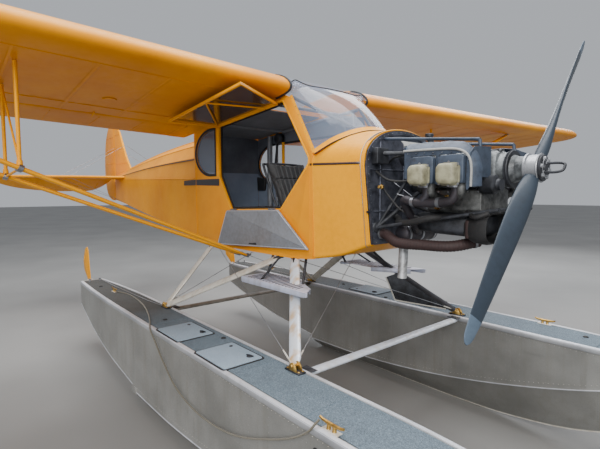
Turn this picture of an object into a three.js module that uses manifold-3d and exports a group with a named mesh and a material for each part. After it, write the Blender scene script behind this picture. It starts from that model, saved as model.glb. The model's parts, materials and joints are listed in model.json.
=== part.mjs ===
// Floatplane: a high-wing, two-seat, strut-braced aeroplane standing on two decked metal floats,
// with its engine cowling off, the right cabin doors open and the elevators drooped.
// Millimetres, +X forward, +Y to port, +Z up. Stations are measured from the wing's leading edge,
// and the floor under the float keels is z = 0.
import * as THREE from 'three';
import { mergeVertices } from 'three/addons/utils/BufferGeometryUtils.js';
import Module from 'manifold-3d';

const wasm = await Module();
wasm.setup();

// Driving dimensions
const ORIGIN_AFT_OF_WING_NOSE = 1600;
const FIT = 0.3;
const RUNNING_GAP = 6;

const CABIN_HALF_WIDTH = 360;
const WALL = 20;
const CABIN_REAR = -1420;
const WINDSHIELD_FOOT = 190;
const FIREWALL = 610;
const LONGERON_Z = 1755;

const WING_ROOT_Y = 370;
const WING_NOSE_Z = 2325;
const WING_CHORD = 1600;
const WING_SPAN_PANEL = 4990;
const WING_INCIDENCE = THREE.MathUtils.degToRad(5);
const WING_DIHEDRAL = THREE.MathUtils.degToRad(1.7);
const HINGE_FRACTION = 0.77;

const THRUST_Z = 1742;
const PROP_STATION = 1374;
const PROP_RADIUS = 940;
const PROP_ANGLE = THREE.MathUtils.degToRad(-40.3);

const FLOAT_Y = 920;
const FLOAT_HALF_WIDTH = 165;
const DECK_Z = 700;
const STEP_STATION = -1050;

const TAIL_POST = -4772;
const TAILPLANE_Z = 1862;
const TAIL_THICKNESS = 30;
const ELEVATOR_DROOP = THREE.MathUtils.degToRad(26);

// Finishes
function finish(color, roughness, metalness, opacity = 1) {
  const material = new THREE.MeshStandardMaterial({ color, roughness, metalness });
  if (opacity < 1) {
    material.transparent = true;
    material.opacity = opacity;
  }
  return material;
}
const yellow = finish(0xe8a80f, 0.42, 0.0);
const silver = finish(0x9b958a, 0.42, 0.75);
const whiteSilver = finish(0xc9c8c2, 0.4, 0.5);
const bladeBlue = finish(0x55677f, 0.45, 0.2);
const darkSteel = finish(0x2a2c30, 0.6, 0.4);
const castAlloy = finish(0x8b8d8c, 0.55, 0.6);
const coverGrey = finish(0xb8b4a6, 0.5, 0.3);
const baffleBlue = finish(0x56606c, 0.5, 0.4);
const exhaustGrey = finish(0x5d5550, 0.65, 0.6);
const clear = finish(0xcfd8dc, 0.08, 0.0, 0.35);
const liner = finish(0x2e3136, 0.8, 0.0);
const panelGrey = finish(0x868b92, 0.6, 0.1);
const seatBlack = finish(0x1d1e21, 0.85, 0.0);
const ropeGrey = finish(0x75706a, 0.9, 0.0);
const hoseRed = finish(0x5a2d28, 0.8, 0.0);

// Joining and cutting
function bareGeometry(geometry) {
  const bare = geometry.index ? geometry.clone() : mergeVertices(geometry.clone());
  bare.deleteAttribute('normal');
  bare.deleteAttribute('uv');
  return mergeVertices(bare, 0.001);
}

function solidOf(geometry) {
  const bare = bareGeometry(geometry);
  const vertProperties = Float32Array.from(bare.attributes.position.array);
  const triVerts = Uint32Array.from(bare.index.array);
  return new wasm.Manifold(new wasm.Mesh({ numProp: 3, vertProperties, triVerts }));
}

function geometryOf(solid) {
  const mesh = solid.getMesh();
  const geometry = new THREE.BufferGeometry();
  geometry.setAttribute('position', new THREE.BufferAttribute(Float32Array.from(mesh.vertProperties), 3));
  geometry.setIndex(new THREE.BufferAttribute(Uint32Array.from(mesh.triVerts), 1));
  geometry.computeVertexNormals();
  return geometry;
}

function join(...geometries) {
  const [first, ...rest] = geometries.map(solidOf);
  return geometryOf(rest.reduce((whole, piece) => whole.add(piece), first));
}

function cut(geometry, ...cutters) {
  return geometryOf(cutters.map(solidOf).reduce((whole, piece) => whole.subtract(piece), solidOf(geometry)));
}

function common(geometry, other) {
  return geometryOf(solidOf(geometry).intersect(solidOf(other)));
}

// Shapes
function box(x, y, z) {
  const geometry = new THREE.BoxGeometry(x[1] - x[0], y[1] - y[0], z[1] - z[0]);
  geometry.translate((x[0] + x[1]) / 2, (y[0] + y[1]) / 2, (z[0] + z[1]) / 2);
  return geometry;
}

function sidePlate(outline, y0, y1, holes = []) {
  const shape = new THREE.Shape(outline.map(([x, z]) => new THREE.Vector2(x, z)));
  for (const hole of holes) {
    shape.holes.push(new THREE.Path(hole.map(([x, z]) => new THREE.Vector2(x, z))));
  }
  const geometry = new THREE.ExtrudeGeometry(shape, { depth: y1 - y0, bevelEnabled: false });
  geometry.rotateX(Math.PI / 2);
  geometry.translate(0, y1, 0);
  return geometry;
}

function frontPlate(outline, x0, x1) {
  const shape = new THREE.Shape(outline.map(([y, z]) => new THREE.Vector2(y, z)));
  const geometry = new THREE.ExtrudeGeometry(shape, { depth: x1 - x0, bevelEnabled: false });
  geometry.applyMatrix4(new THREE.Matrix4().makeBasis(
    new THREE.Vector3(0, 1, 0),
    new THREE.Vector3(0, 0, 1),
    new THREE.Vector3(1, 0, 0),
  ));
  geometry.translate(x0, 0, 0);
  return geometry;
}

function levelPlate(outline, z0, z1) {
  const shape = new THREE.Shape(outline.map(([x, y]) => new THREE.Vector2(x, y)));
  const geometry = new THREE.ExtrudeGeometry(shape, { depth: z1 - z0, bevelEnabled: false });
  geometry.translate(0, 0, z0);
  return geometry;
}

function signedVolume(positions, indices) {
  let volume = 0;
  const corner = (i) => new THREE.Vector3().fromArray(positions, 3 * indices[i]);
  for (let i = 0; i < indices.length; i += 3) {
    volume += corner(i).dot(corner(i + 1).cross(corner(i + 2)));
  }
  return volume / 6;
}

// A closed solid through rings of equal count, each ring a list of [x, y, z]
function loft(rings) {
  const count = rings[0].length;
  const positions = rings.flat(2);
  const indices = [];
  for (let ring = 0; ring + 1 < rings.length; ring += 1) {
    for (let i = 0; i < count; i += 1) {
      const a = ring * count + i;
      const b = ring * count + (i + 1) % count;
      indices.push(a, b, b + count, a, b + count, a + count);
    }
  }
  for (const [ring, turn] of [[0, true], [rings.length - 1, false]]) {
    const points = rings[ring].map((p) => new THREE.Vector3(...p));
    const size = new THREE.Box3().setFromPoints(points).getSize(new THREE.Vector3());
    const flat = ['x', 'y', 'z'].sort((p, q) => size[q] - size[p]).slice(0, 2);
    const contour = points.map((p) => new THREE.Vector2(p[flat[0]], p[flat[1]]));
    const counterClockwise = !THREE.ShapeUtils.isClockWise(contour);
    for (const face of THREE.ShapeUtils.triangulateShape(contour, [])) {
      const order = face.map((i) => ring * count + i);
      if (counterClockwise === turn) order.reverse();
      indices.push(...order);
    }
  }
  const ccwStart = signedVolume(positions, indices) < 0;
  if (ccwStart) {
    for (let i = 0; i < indices.length; i += 3) {
      [indices[i], indices[i + 1]] = [indices[i + 1], indices[i]];
    }
  }
  const geometry = new THREE.BufferGeometry();
  geometry.setAttribute('position', new THREE.Float32BufferAttribute(positions, 3));
  geometry.setIndex(indices);
  geometry.computeVertexNormals();
  return geometry;
}

// A closed sheet over a grid of points(u, v), as thick as asked along inward
function sheet(pointAt, across, along, inward) {
  const rings = [];
  for (let j = 0; j <= along; j += 1) {
    const outer = [];
    const inner = [];
    for (let i = 0; i <= across; i += 1) {
      const p = pointAt(i / across, j / along);
      const shift = inward(i / across, j / along);
      outer.push(p);
      inner.unshift([p[0] + shift[0], p[1] + shift[1], p[2] + shift[2]]);
    }
    rings.push([...outer, ...inner]);
  }
  return loft(rings);
}

function cylinderBetween(from, to, radius, sides = 12, radiusTo = radius) {
  const a = new THREE.Vector3(...from);
  const b = new THREE.Vector3(...to);
  const geometry = new THREE.CylinderGeometry(radiusTo, radius, a.distanceTo(b), sides);
  geometry.applyQuaternion(new THREE.Quaternion().setFromUnitVectors(
    new THREE.Vector3(0, 1, 0),
    b.clone().sub(a).normalize(),
  ));
  geometry.translate((a.x + b.x) / 2, (a.y + b.y) / 2, (a.z + b.z) / 2);
  return geometry;
}

// A streamlined strut: an ellipse carried from one end to the other, its chord kept fore and aft
function strut(from, to, chord, thickness, sides = 12) {
  const ends = [from, to].map((p) => new THREE.Vector3(...p));
  const run = ends[1].clone().sub(ends[0]).normalize();
  const fore = new THREE.Vector3(1, 0, 0).addScaledVector(run, -run.x).normalize();
  const side = run.clone().cross(fore);
  const rings = ends.map((end) => Array.from({ length: sides }, (_, i) => {
    const turn = 2 * Math.PI * i / sides;
    const p = end.clone()
      .addScaledVector(fore, chord / 2 * Math.cos(turn))
      .addScaledVector(side, thickness / 2 * Math.sin(turn));
    return p.toArray();
  }));
  return loft(rings);
}

function tubeAlong(points, radius, sides, steps) {
  const curve = new THREE.CatmullRomCurve3(points.map((p) => new THREE.Vector3(...p)), false, 'centripetal');
  const circle = new THREE.Shape(Array.from({ length: sides }, (_, i) => new THREE.Vector2(
    radius * Math.cos(2 * Math.PI * i / sides),
    radius * Math.sin(2 * Math.PI * i / sides),
  )));
  return new THREE.ExtrudeGeometry(circle, { steps, bevelEnabled: false, extrudePath: curve });
}

const plane = new THREE.Group();
plane.position.x = ORIGIN_AFT_OF_WING_NOSE;

function add(name, geometry, material, parent = plane) {
  const mesh = new THREE.Mesh(geometry, material);
  mesh.name = name;
  parent.add(mesh);
  return mesh;
}

const SIDES = [['left', 1], ['right', -1]];

// The flat lower face of the wing at the root, at a station behind the nose
const wingLowerZ = (x) => WING_NOSE_Z - 38 + x * Math.tan(WING_INCIDENCE);

// Fuselage shell
const TURTLEDECK_SIDES = 8;
// station, half width, lower edge, longeron, ridge
const REAR_SECTIONS = [
  [CABIN_REAR - FIT, 360, 1225, 1760, 2195],
  [-2000, 305, 1272, 1775, 2175],
  [-2800, 230, 1345, 1795, 2125],
  [-3600, 150, 1425, 1815, 2045],
  [-4250, 80, 1490, 1830, 1965],
  [TAIL_POST, 22, 1530, 1845, 1905],
];

function rearRing([x, half, lower, longeron, ridge]) {
  const ring = [[x, -half * 0.86, lower], [x, half * 0.86, lower]];
  for (let i = 0; i <= TURTLEDECK_SIDES; i += 1) {
    const turn = Math.PI * i / TURTLEDECK_SIDES;
    const lean = Math.sin(turn) ** 0.85;
    ring.push([x, half * Math.cos(turn), longeron + (ridge - longeron) * lean]);
  }
  return ring;
}

const turtledeck = (grow) => loft(REAR_SECTIONS.map(([x, half, lower, longeron, ridge]) => (
  rearRing([x, half + grow, lower, longeron, ridge + grow]))));

function buildFuselage() {
  const half = TAIL_THICKNESS / 2 + FIT;
  const slot = box([-5000, TAILPLANE[0][0] + FIT], [-500, 500], [TAILPLANE_Z - half, TAILPLANE_Z + half]);
  add('fuselage_rear', cut(turtledeck(0), slot), yellow);
}

// Cabin: belly line as [station, z]
const BELLY = [[CABIN_REAR, 1225], [-900, 1185], [0, 1187], [WINDSHIELD_FOOT - FIT, 1205]];
const FLOOR_THICKNESS = 25;
const UPPER_HINGE = { rear: [-973, 2185], front: [-150, 2245] };
const LOWER_HINGE = { rear: [-790, 1497], front: [-140, 1519] };
const HINGE_Y = -CABIN_HALF_WIDTH - RUNNING_GAP;
const PIN_RADIUS = 5.7;
const LOWER_HINGE_Y = -CABIN_HALF_WIDTH - 23;
const LOWER_HINGE_PINS = [70, 580];
const LOWER_HINGE_SLOPE = (LOWER_HINGE.front[1] - LOWER_HINGE.rear[1]) / (LOWER_HINGE.front[0] - LOWER_HINGE.rear[0]);
const WAIST = { rear: [-970, 1768], front: [98, 1768] };
const POST_TOP = [-30, 2262];
const POST_FOOT = [WINDSHIELD_FOOT - FIT, 1868];
const ROOF_LINE = [[-160, wingLowerZ(-160) + 40], [-700, wingLowerZ(-700) + 60], [CABIN_REAR, 2176]];

function wallOutline() {
  const foot = BELLY.map(([x, z]) => [x, z + FLOOR_THICKNESS + FIT]);
  return [...foot, POST_FOOT, POST_TOP, ...ROOF_LINE];
}

function roundEnd(centreX, centreZ, reach, half, steps = 10) {
  return Array.from({ length: steps + 1 }, (_, i) => {
    const turn = Math.PI / 2 + Math.PI * i / steps;
    return [centreX + reach * Math.cos(turn), centreZ + half * Math.sin(turn)];
  });
}

const REAR_WINDOW = { front: -1035, centreX: -1120, z: 1975, reach: 265, half: 190 };
const LEFT_WINDOW = { front: 60, centreX: -1150, z: 1915, reach: 250, half: 178 };

function windowOutline(window, inset = 0) {
  const { front, centreX, z, reach, half } = window;
  const end = roundEnd(centreX, z, reach - inset, half - inset);
  return [[front - inset, z + half - inset], ...end, [front - inset, z - half + inset]];
}

function doorOpening() {
  const [rear, front] = [LOWER_HINGE.rear, LOWER_HINGE.front];
  const top = (x) => UPPER_HINGE.rear[1] - 2
    + (x - UPPER_HINGE.rear[0]) * (UPPER_HINGE.front[1] - UPPER_HINGE.rear[1])
    / (UPPER_HINGE.front[0] - UPPER_HINGE.rear[0]);
  return [rear, front, WAIST.front, [WAIST.front[0] + 4, 1800], [-138, top(-138)], [WAIST.rear[0], top(WAIST.rear[0])],
    WAIST.rear];
}

const COWL_SIDES = 10;
// station, half width at the belly, half width at the waist, belly, shoulder, crown
const COWL_SECTIONS = [
  [WINDSHIELD_FOOT, 348, 360, 1205, 1790, 2032],
  [400, 330, 358, 1246, 1790, 2022],
  [FIREWALL, 296, 352, 1325, 1780, 2002],
];

function cowlRing([x, bellyHalf, half, belly, shoulder, crown], inset) {
  const ring = [[x, -(bellyHalf - inset), belly + inset], [x, bellyHalf - inset, belly + inset]];
  for (let i = 0; i <= COWL_SIDES; i += 1) {
    const turn = Math.PI * i / COWL_SIDES;
    const rise = (crown - shoulder - inset) * Math.sin(turn) ** 0.8;
    ring.push([x, (half - inset) * Math.cos(turn), shoulder + rise]);
  }
  return ring;
}

const PANEL_HALF = CABIN_HALF_WIDTH - WALL - FIT;

// The sloping line along which the windshield meets the cowl, seen from the side
const BASE_LINE = [[WINDSHIELD_FOOT, 1868], [428, 2024]];

// seat legs: station, distance from the middle, top
const SEAT_LEGS = [[-280, 170, 1351], [20, 170, 1366.4], [-1230, 220, 1332.2], [-980, 220, 1345.7]];

function buildCabin() {
  const upper = BELLY.map(([x, z]) => [x, z + FLOOR_THICKNESS]).reverse();
  const legs = SEAT_LEGS.flatMap(([x, y, top]) => [1, -1].map((side) => cylinderBetween(
    [x, y * side, BELLY[1][1] + 5],
    [x, y * side, top],
    12,
    10,
  )));
  add('cabin_floor', join(
    sidePlate([...BELLY, ...upper], -CABIN_HALF_WIDTH, CABIN_HALF_WIDTH),
    ...legs,
  ), yellow);

  const rightWall = sidePlate(
    wallOutline(),
    -CABIN_HALF_WIDTH,
    -CABIN_HALF_WIDTH + WALL,
    [doorOpening(), windowOutline(REAR_WINDOW)],
  );
  const knuckles = LOWER_HINGE_PINS.flatMap((along) => [-30, 30].map((off) => {
    const x = LOWER_HINGE.rear[0] + along + off;
    const z = LOWER_HINGE.rear[1] + (along + off) * LOWER_HINGE_SLOPE;
    return box([x - 8, x + 8], [LOWER_HINGE_Y + PIN_RADIUS + FIT, -CABIN_HALF_WIDTH + 2], [z - 9, z + 2]);
  }));
  add('cabin_wall_right', join(rightWall, ...knuckles), yellow);
  add('cabin_wall_left', sidePlate(
    wallOutline(),
    CABIN_HALF_WIDTH - WALL,
    CABIN_HALF_WIDTH,
    [windowOutline(LEFT_WINDOW)],
  ), yellow);
  const paneY = CABIN_HALF_WIDTH - WALL / 2;
  add('window_rear_right', sidePlate(windowOutline(REAR_WINDOW, FIT), -paneY - 2, -paneY + 2), clear);
  add('window_left', sidePlate(windowOutline(LEFT_WINDOW, FIT), paneY - 2, paneY + 2), clear);

  const shell = cut(
    loft(COWL_SECTIONS.map((section) => cowlRing(section, 0))),
    loft([
      [WINDSHIELD_FOOT - 5, ...COWL_SECTIONS[0].slice(1)],
      COWL_SECTIONS[1],
      [FIREWALL + 5, ...COWL_SECTIONS[2].slice(1)],
    ].map((section) => cowlRing(section, 14))),
    sidePlate([[-100, 1868], ...BASE_LINE, [428, 2300], [-100, 2300]], -500, 500),
  );
  add('boot_cowl', shell, yellow);

  const [, bellyHalf, half, belly, shoulder, crown] = COWL_SECTIONS[2];
  const firewallRing = cowlRing([0, bellyHalf, half, belly, shoulder, crown], 6).map(([, y, z]) => [y, z]);
  add('firewall', frontPlate(firewallRing, FIREWALL + FIT, FIREWALL + 10), darkSteel);

  add('instrument_panel', frontPlate(
    [[-300, 1590], [300, 1590], [PANEL_HALF, 1700], [PANEL_HALF, 1800], [240, 1860], [-240, 1860],
      [-PANEL_HALF, 1800], [-PANEL_HALF, 1700]],
    150,
    165,
  ), liner);
}

// Windshield edges: half of each, from the side to the middle, as [station, y, z]
const WINDSHIELD_TOP = [[-26, 352, 2264], [14, 322, 2316], [22, 220, 2340], [24, 0, 2348]];
const WINDSHIELD_BASE = [[196, 352, 1873.3], [312, 280, 1949.3], [398, 150, 2005.7], [424, 0, 2022.8]];
const GLASS = 4;
const ROOF_HALF = 366.5;

function alongEdge(edge, t) {
  const full = [...edge, ...edge.slice(0, -1).reverse().map(([x, y, z]) => [x, -y, z])];
  const curve = new THREE.CatmullRomCurve3(full.map((p) => new THREE.Vector3(...p)), false, 'centripetal');
  return curve.getPoint(t);
}

function buildGlass() {
  const windshield = sheet(
    (u, v) => {
      const top = alongEdge(WINDSHIELD_TOP, u);
      const base = alongEdge(WINDSHIELD_BASE, u);
      const p = top.lerp(base, v);
      const bulge = 18 * Math.sin(Math.PI * v) * Math.sin(Math.PI * u);
      return [p.x + bulge, p.y, p.z + bulge];
    },
    14,
    4,
    (u) => {
      const turn = Math.PI * (u - 0.5);
      return [-GLASS * Math.cos(turn) * 0.7, GLASS * Math.sin(turn), -GLASS * Math.cos(turn) * 0.7];
    },
  );
  add('windshield', windshield, clear);

  const roofStations = [8, -60, -200, -450, -880];
  const skylight = sheet(
    (u, v) => [stationBetween(roofStations, v), ROOF_HALF * (1 - 2 * u), roofZ(stationBetween(roofStations, v))],
    2,
    roofStations.length - 1,
    () => [0, 0, -GLASS],
  );
  add('skylight', skylight, clear);
  const rearStations = [-880 - FIT, -1150, CABIN_REAR];
  const roof = sheet(
    (u, v) => {
      const x = stationBetween(rearStations, v);
      return [x, ROOF_HALF * (1 - 2 * u), roofZ(x)];
    },
    2,
    rearStations.length - 1,
    () => [0, 0, -12],
  );
  add('cabin_roof', roof, yellow);

  const apex = [420, 0, 1972];
  const tubes = [1, -1].map((side) => cylinderBetween([-34, 330.3 * side, 2262], apex, 11, 10));
  add('windshield_brace', join(...tubes), darkSteel);
}

function stationBetween(stations, v) {
  const place = v * (stations.length - 1);
  const i = Math.min(Math.floor(place), stations.length - 2);
  return stations[i] + (stations[i + 1] - stations[i]) * (place - i);
}

// Wing section: fraction of chord, upper and lower height as fractions of chord
const SECTION = [
  [0.0, 0.024, 0.024],
  [0.0125, 0.049, 0.0095],
  [0.04, 0.0715, 0.003],
  [0.1, 0.0975, 0],
  [0.2, 0.114, 0],
  [0.3, 0.116, 0],
  [0.45, 0.109, 0],
  [0.6, 0.0895, 0],
  [0.77, 0.059, 0],
  [1.0, 0.007, 0],
];
// share of the tip's reach, chord share
const TIP_REACH = 420;
const TIP_STEPS = [0.35, 0.62, 0.82, 0.94, 0.99];

function sectionUpper(fraction) {
  const i = Math.max(0, SECTION.findIndex(([f]) => f >= fraction) - 1);
  const [f0, z0] = SECTION[i];
  const [f1, z1] = SECTION[i + 1];
  return z0 + (z1 - z0) * (fraction - f0) / (f1 - f0);
}

// Top of the cabin roof, which follows the wing's upper face
function roofZ(x) {
  const fraction = Math.min(1, Math.max(0.0, -x / WING_CHORD));
  return wingLowerZ(Math.min(0, x)) + sectionUpper(Math.max(0.001, fraction)) * WING_CHORD;
}

function wingRing(y, chord, setBack, depth) {
  const upper = SECTION.map(([f, top]) => [-setBack - f * chord, y, (top - 0.024) * WING_CHORD * depth]);
  const lower = SECTION.slice(1).reverse()
    .map(([f, , low]) => [-setBack - f * chord, y, (low - 0.024) * WING_CHORD * depth]);
  return [...upper, ...lower];
}

const SPAR_STATIONS = [-235, -1000];
const ROOT_LUG = 9.4;
const AILERON = { inner: 2560, outer: 4560 };
const FLAP = { inner: 160, outer: 2500 };

function buildWing(name, side) {
  const group = new THREE.Group();
  group.position.set(0, WING_ROOT_Y * side, WING_NOSE_Z);
  group.rotation.set(WING_DIHEDRAL * side, -WING_INCIDENCE, 0, 'XYZ');
  plane.add(group);

  const straight = WING_SPAN_PANEL - TIP_REACH;
  const rings = [wingRing(0, WING_CHORD, 0, 1), wingRing(side * straight, WING_CHORD, 0, 1)];
  for (const share of TIP_STEPS) {
    const keep = Math.sqrt(1 - share ** 2.2);
    const chord = WING_CHORD * (0.12 + 0.88 * keep);
    rings.push(wingRing(
      side * (straight + TIP_REACH * share),
      chord,
      (WING_CHORD - chord) * 0.42,
      0.25 + 0.75 * keep,
    ));
  }
  const whole = loft(rings);

  const hingeX = -HINGE_FRACTION * WING_CHORD;
  const depth = sectionUpper(HINGE_FRACTION) * WING_CHORD;
  const hingeZ = depth / 2 - 0.024 * WING_CHORD;
  const nose = depth / 2 - 3;
  const span = ({ inner, outer }, grow) => [side * (inner - grow), side * (outer + grow)].sort((a, b) => a - b);
  const bay = (surface) => box([-2000, hingeX + nose + RUNNING_GAP], span(surface, RUNNING_GAP), [-200, 300]);
  const lugs = SPAR_STATIONS.map((x) => box(
    [x - 25, x + 25],
    [side * -ROOT_LUG, side * 5].sort((a, b) => a - b),
    [x * Math.sin(0.012) - 36, -14],
  ));
  add(`wing_${name}`, join(cut(whole, bay(AILERON), bay(FLAP)), ...lugs), yellow, group);

  for (const [kind, surface] of [['aileron', AILERON], ['flap', FLAP]]) {
    const [y0, y1] = span(surface, 0);
    const blade = common(whole, box([-2000, hingeX], [y0, y1], [-200, 300]));
    const roll = cylinderBetween([hingeX, y0, hingeZ], [hingeX, y1, hingeZ], nose, 16);
    const axle = [[y0 - RUNNING_GAP + FIT, y0 + 20], [y1 - 20, y1 + RUNNING_GAP - FIT]]
      .map(([a, b]) => cylinderBetween([hingeX, a, hingeZ], [hingeX, b, hingeZ], 9, 10));
    add(`${kind}_${name}`, join(blade, roll, ...axle), yellow, group);
  }
}

// Lift struts and jury struts
const LIFT_FOOT = [-550, 374, 1150];
const LIFT_TOP_Y = 3260;
const LIFT_REAR_FOOT = [-622, 404, 1160];
const STRUT_CHORD = 68;
const STRUT_THICKNESS = 30;
const JURY_SHARE = 0.51;

function wingLowerAt(x, y) {
  return wingLowerZ(x) + (y - WING_ROOT_Y) * Math.tan(WING_DIHEDRAL);
}

// The space above the wing's flat lower face
function aboveWingFace(side) {
  const ys = [0, side * WING_SPAN_PANEL].sort((a, b) => a - b);
  const block = box([-1700, 100], ys, [-0.024 * WING_CHORD - FIT, 600]);
  const turn = new THREE.Euler(WING_DIHEDRAL * side, -WING_INCIDENCE, 0, 'XYZ');
  block.applyMatrix4(new THREE.Matrix4().makeRotationFromEuler(turn));
  block.translate(0, WING_ROOT_Y * side, WING_NOSE_Z);
  return block;
}

function buildLiftStruts(name, side) {
  const at = ([x, y, z]) => [x, y * side, z];
  const across = (a, b) => [side * a, side * b].sort((p, q) => p - q);
  const wing = aboveWingFace(side);
  const feet = { front: LIFT_FOOT, rear: LIFT_REAR_FOOT };
  const fittings = {
    front: [
      box([-580, -520], across(330, 376), [1128, BELLY[1][1]]),
      box([-650, -540], across(380, 424), [1126, 1140]),
    ],
    rear: [box([-640, -604], across(396, 412), [1140 + FIT, 1150])],
  };
  const jury = SPAR_STATIONS.map((x, i) => {
    const kind = ['front', 'rear'][i];
    const foot = feet[kind];
    const top = [x, LIFT_TOP_Y, wingLowerAt(x, LIFT_TOP_Y) + 10];
    add(
      `lift_strut_${kind}_${name}`,
      cut(join(strut(at(foot), at(top), STRUT_CHORD, STRUT_THICKNESS), ...fittings[kind]), wing),
      yellow,
    );
    const low = foot.map((value, k) => value + (top[k] - value) * JURY_SHARE);
    return { low, high: [low[0], low[1], wingLowerAt(low[0], low[1]) + 20] };
  });
  const lift = STRUT_THICKNESS / 2 + 5;
  const posts = jury.map(({ low, high }) => cylinderBetween(at([low[0], low[1], low[2] + lift]), at(high), 9, 8));
  const barEnds = jury.map(({ low }) => at([low[0], low[1], low[2] + 60]));
  add(`jury_struts_${name}`, cut(join(...posts, cylinderBetween(...barEnds, 7, 8)), wing), yellow);
}

// Tail
// tailplane outline for one side as [station, y]
const TAILPLANE = [[-4110, 0], [-4150, 200], [-4280, 700], [-4450, 1200], [-4600, 1450], [-4700, 1555],
  [TAIL_POST, 1600]];
// elevator outline for one side, as [distance behind the hinge, y]
const ELEVATOR = [[0, 60], [0, 1598], [80, 1580], [210, 1470], [330, 1250], [415, 900], [430, 500], [405, 290],
  [300, 178], [150, 104]];
// fin outline as [station, z], rudder outline as [distance behind the hinge, z]
const FIN = [[-4170, 1893], [-4040, 1930], [-4250, 2130], [-4440, 2390], [-4560, 2560], [-4680, 2650],
  [TAIL_POST, 2690], [TAIL_POST, 1893]];
const RUDDER = [[0, 1560], [0, 2700], [90, 2728], [210, 2700], [340, 2600], [440, 2430], [494, 2200], [507, 1950],
  [460, 1720], [360, 1590], [200, 1530], [80, 1520]];
const TORQUE_TUBE = 14;
const TAIL_HINGE = TAIL_POST - TORQUE_TUBE - RUNNING_GAP;
const ELEVATOR_HINGES = [180, 820, 1440];
const RUDDER_HINGES = [1640, 2080, 2560];
const SURFACE_HALF = TAIL_THICKNESS / 2 - 2;

function buildTail() {
  const half = TAILPLANE.slice(1).map(([x, y]) => [x, -y]).reverse();
  const toHinge = [TAIL_HINGE + TORQUE_TUBE + FIT, TAIL_POST + 2];
  const brackets = ELEVATOR_HINGES.flatMap((y) => [y, -y]).map((y) => (
    box(toHinge, [y - 15, y + 15], [TAILPLANE_Z - 7, TAILPLANE_Z + 7])));
  const spar = levelPlate([...half, ...TAILPLANE], TAILPLANE_Z - TAIL_THICKNESS / 2, TAILPLANE_Z + TAIL_THICKNESS / 2);
  add('tailplane', join(spar, ...brackets), yellow);

  const lugs = RUDDER_HINGES.slice(1).map((z) => box(toHinge, [-7, 7], [z - 15, z + 15]));
  const finPlate = join(sidePlate(FIN, -TAIL_THICKNESS / 2, TAIL_THICKNESS / 2), ...lugs);
  add('fin', cut(
    finPlate,
    turtledeck(FIT),
    box([-5000, -3000], [-400, 400], [0, TAILPLANE_Z + TAIL_THICKNESS / 2 + FIT]),
  ), yellow);

  const elevators = new THREE.Group();
  elevators.position.set(TAIL_HINGE, 0, TAILPLANE_Z);
  elevators.rotation.y = -ELEVATOR_DROOP;
  plane.add(elevators);
  const halves = [1, -1].map((side) => join(
    levelPlate(ELEVATOR.map(([back, y]) => [-back, y * side]), -SURFACE_HALF, SURFACE_HALF),
    cylinderBetween([0, 60 * side, 0], [0, 1590 * side, 0], TORQUE_TUBE, 12),
  ));
  add('elevators', join(...halves, cylinderBetween([0, -70, 0], [0, 70, 0], TORQUE_TUBE, 12)), yellow, elevators);

  const rudder = new THREE.Group();
  rudder.position.set(TAIL_HINGE, 0, 0);
  plane.add(rudder);
  const blade = sidePlate(RUDDER.map(([back, z]) => [-back, z]), -SURFACE_HALF, SURFACE_HALF);
  const post = cylinderBetween([0, 0, 1560], [0, 0, 2700], TORQUE_TUBE, 12);
  const notch = box([-85, 40], [-60, 60], [TAILPLANE_Z - 45, TAILPLANE_Z + 45]);
  add('rudder', cut(join(blade, post), notch), yellow, rudder);
}

// Floats: station, half width, deck, chine, keel
const FLOAT_SECTIONS = [
  [-2800, 105, 690, 452, 400],
  [-2300, 138, 696, 345, 262],
  [-1700, 160, 700, 235, 142],
  [STEP_STATION - 3, 165, DECK_Z, 160, 66],
  [STEP_STATION, 165, DECK_Z, 122, 0],
  [-300, 165, DECK_Z, 138, 0],
  [400, 165, DECK_Z, 208, 0],
  [900, 165, DECK_Z, 300, 22],
  [1400, 158, DECK_Z - 2, 428, 112],
  [1750, 132, DECK_Z - 10, 540, 262],
  [1980, 88, DECK_Z - 28, 610, 430],
  [2085, 40, DECK_Z - 60, 620, 545],
];
const KEEL_FLAT = 14;
const RUB_STRIP = 9;

function hullRing([x, half, deck, chine, keel]) {
  const keelHalf = Math.min(KEEL_FLAT, half / 2);
  return [
    [x, -half, deck],
    [x, -half - RUB_STRIP, deck - 4],
    [x, -half - RUB_STRIP, deck - 26],
    [x, -half, deck - 34],
    [x, -half, chine],
    [x, -keelHalf, keel],
    [x, keelHalf, keel],
    [x, half, chine],
    [x, half, deck - 34],
    [x, half + RUB_STRIP, deck - 26],
    [x, half + RUB_STRIP, deck - 4],
    [x, half, deck],
  ];
}

const HATCHES = [['rear', -430], ['front', 130]];
const HATCH = { length: 330, width: 250, thickness: 10, lift: 0.8 };
const FRONT_FOOT = { x: 545, y: 800 };
const REAR_FOOT = { x: -1110, y: 790 };
const BOW_CLEAT = { x: 1070, y: 1052 };
const STERN_CLEAT = { x: -1985, y: 927 };
const WATER_RUDDER = { x: -2850, z: 668 };
const BRACKET_GAP = 12;

function cleat(x, y, z, side) {
  return join(
    box([x - 22, x + 22], [side * y - 12, side * y + 12], [z - 6, z + 26]),
    cylinderBetween([x - 62, side * y, z + 30], [x + 62, side * y, z + 30], 9, 10),
  );
}

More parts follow.
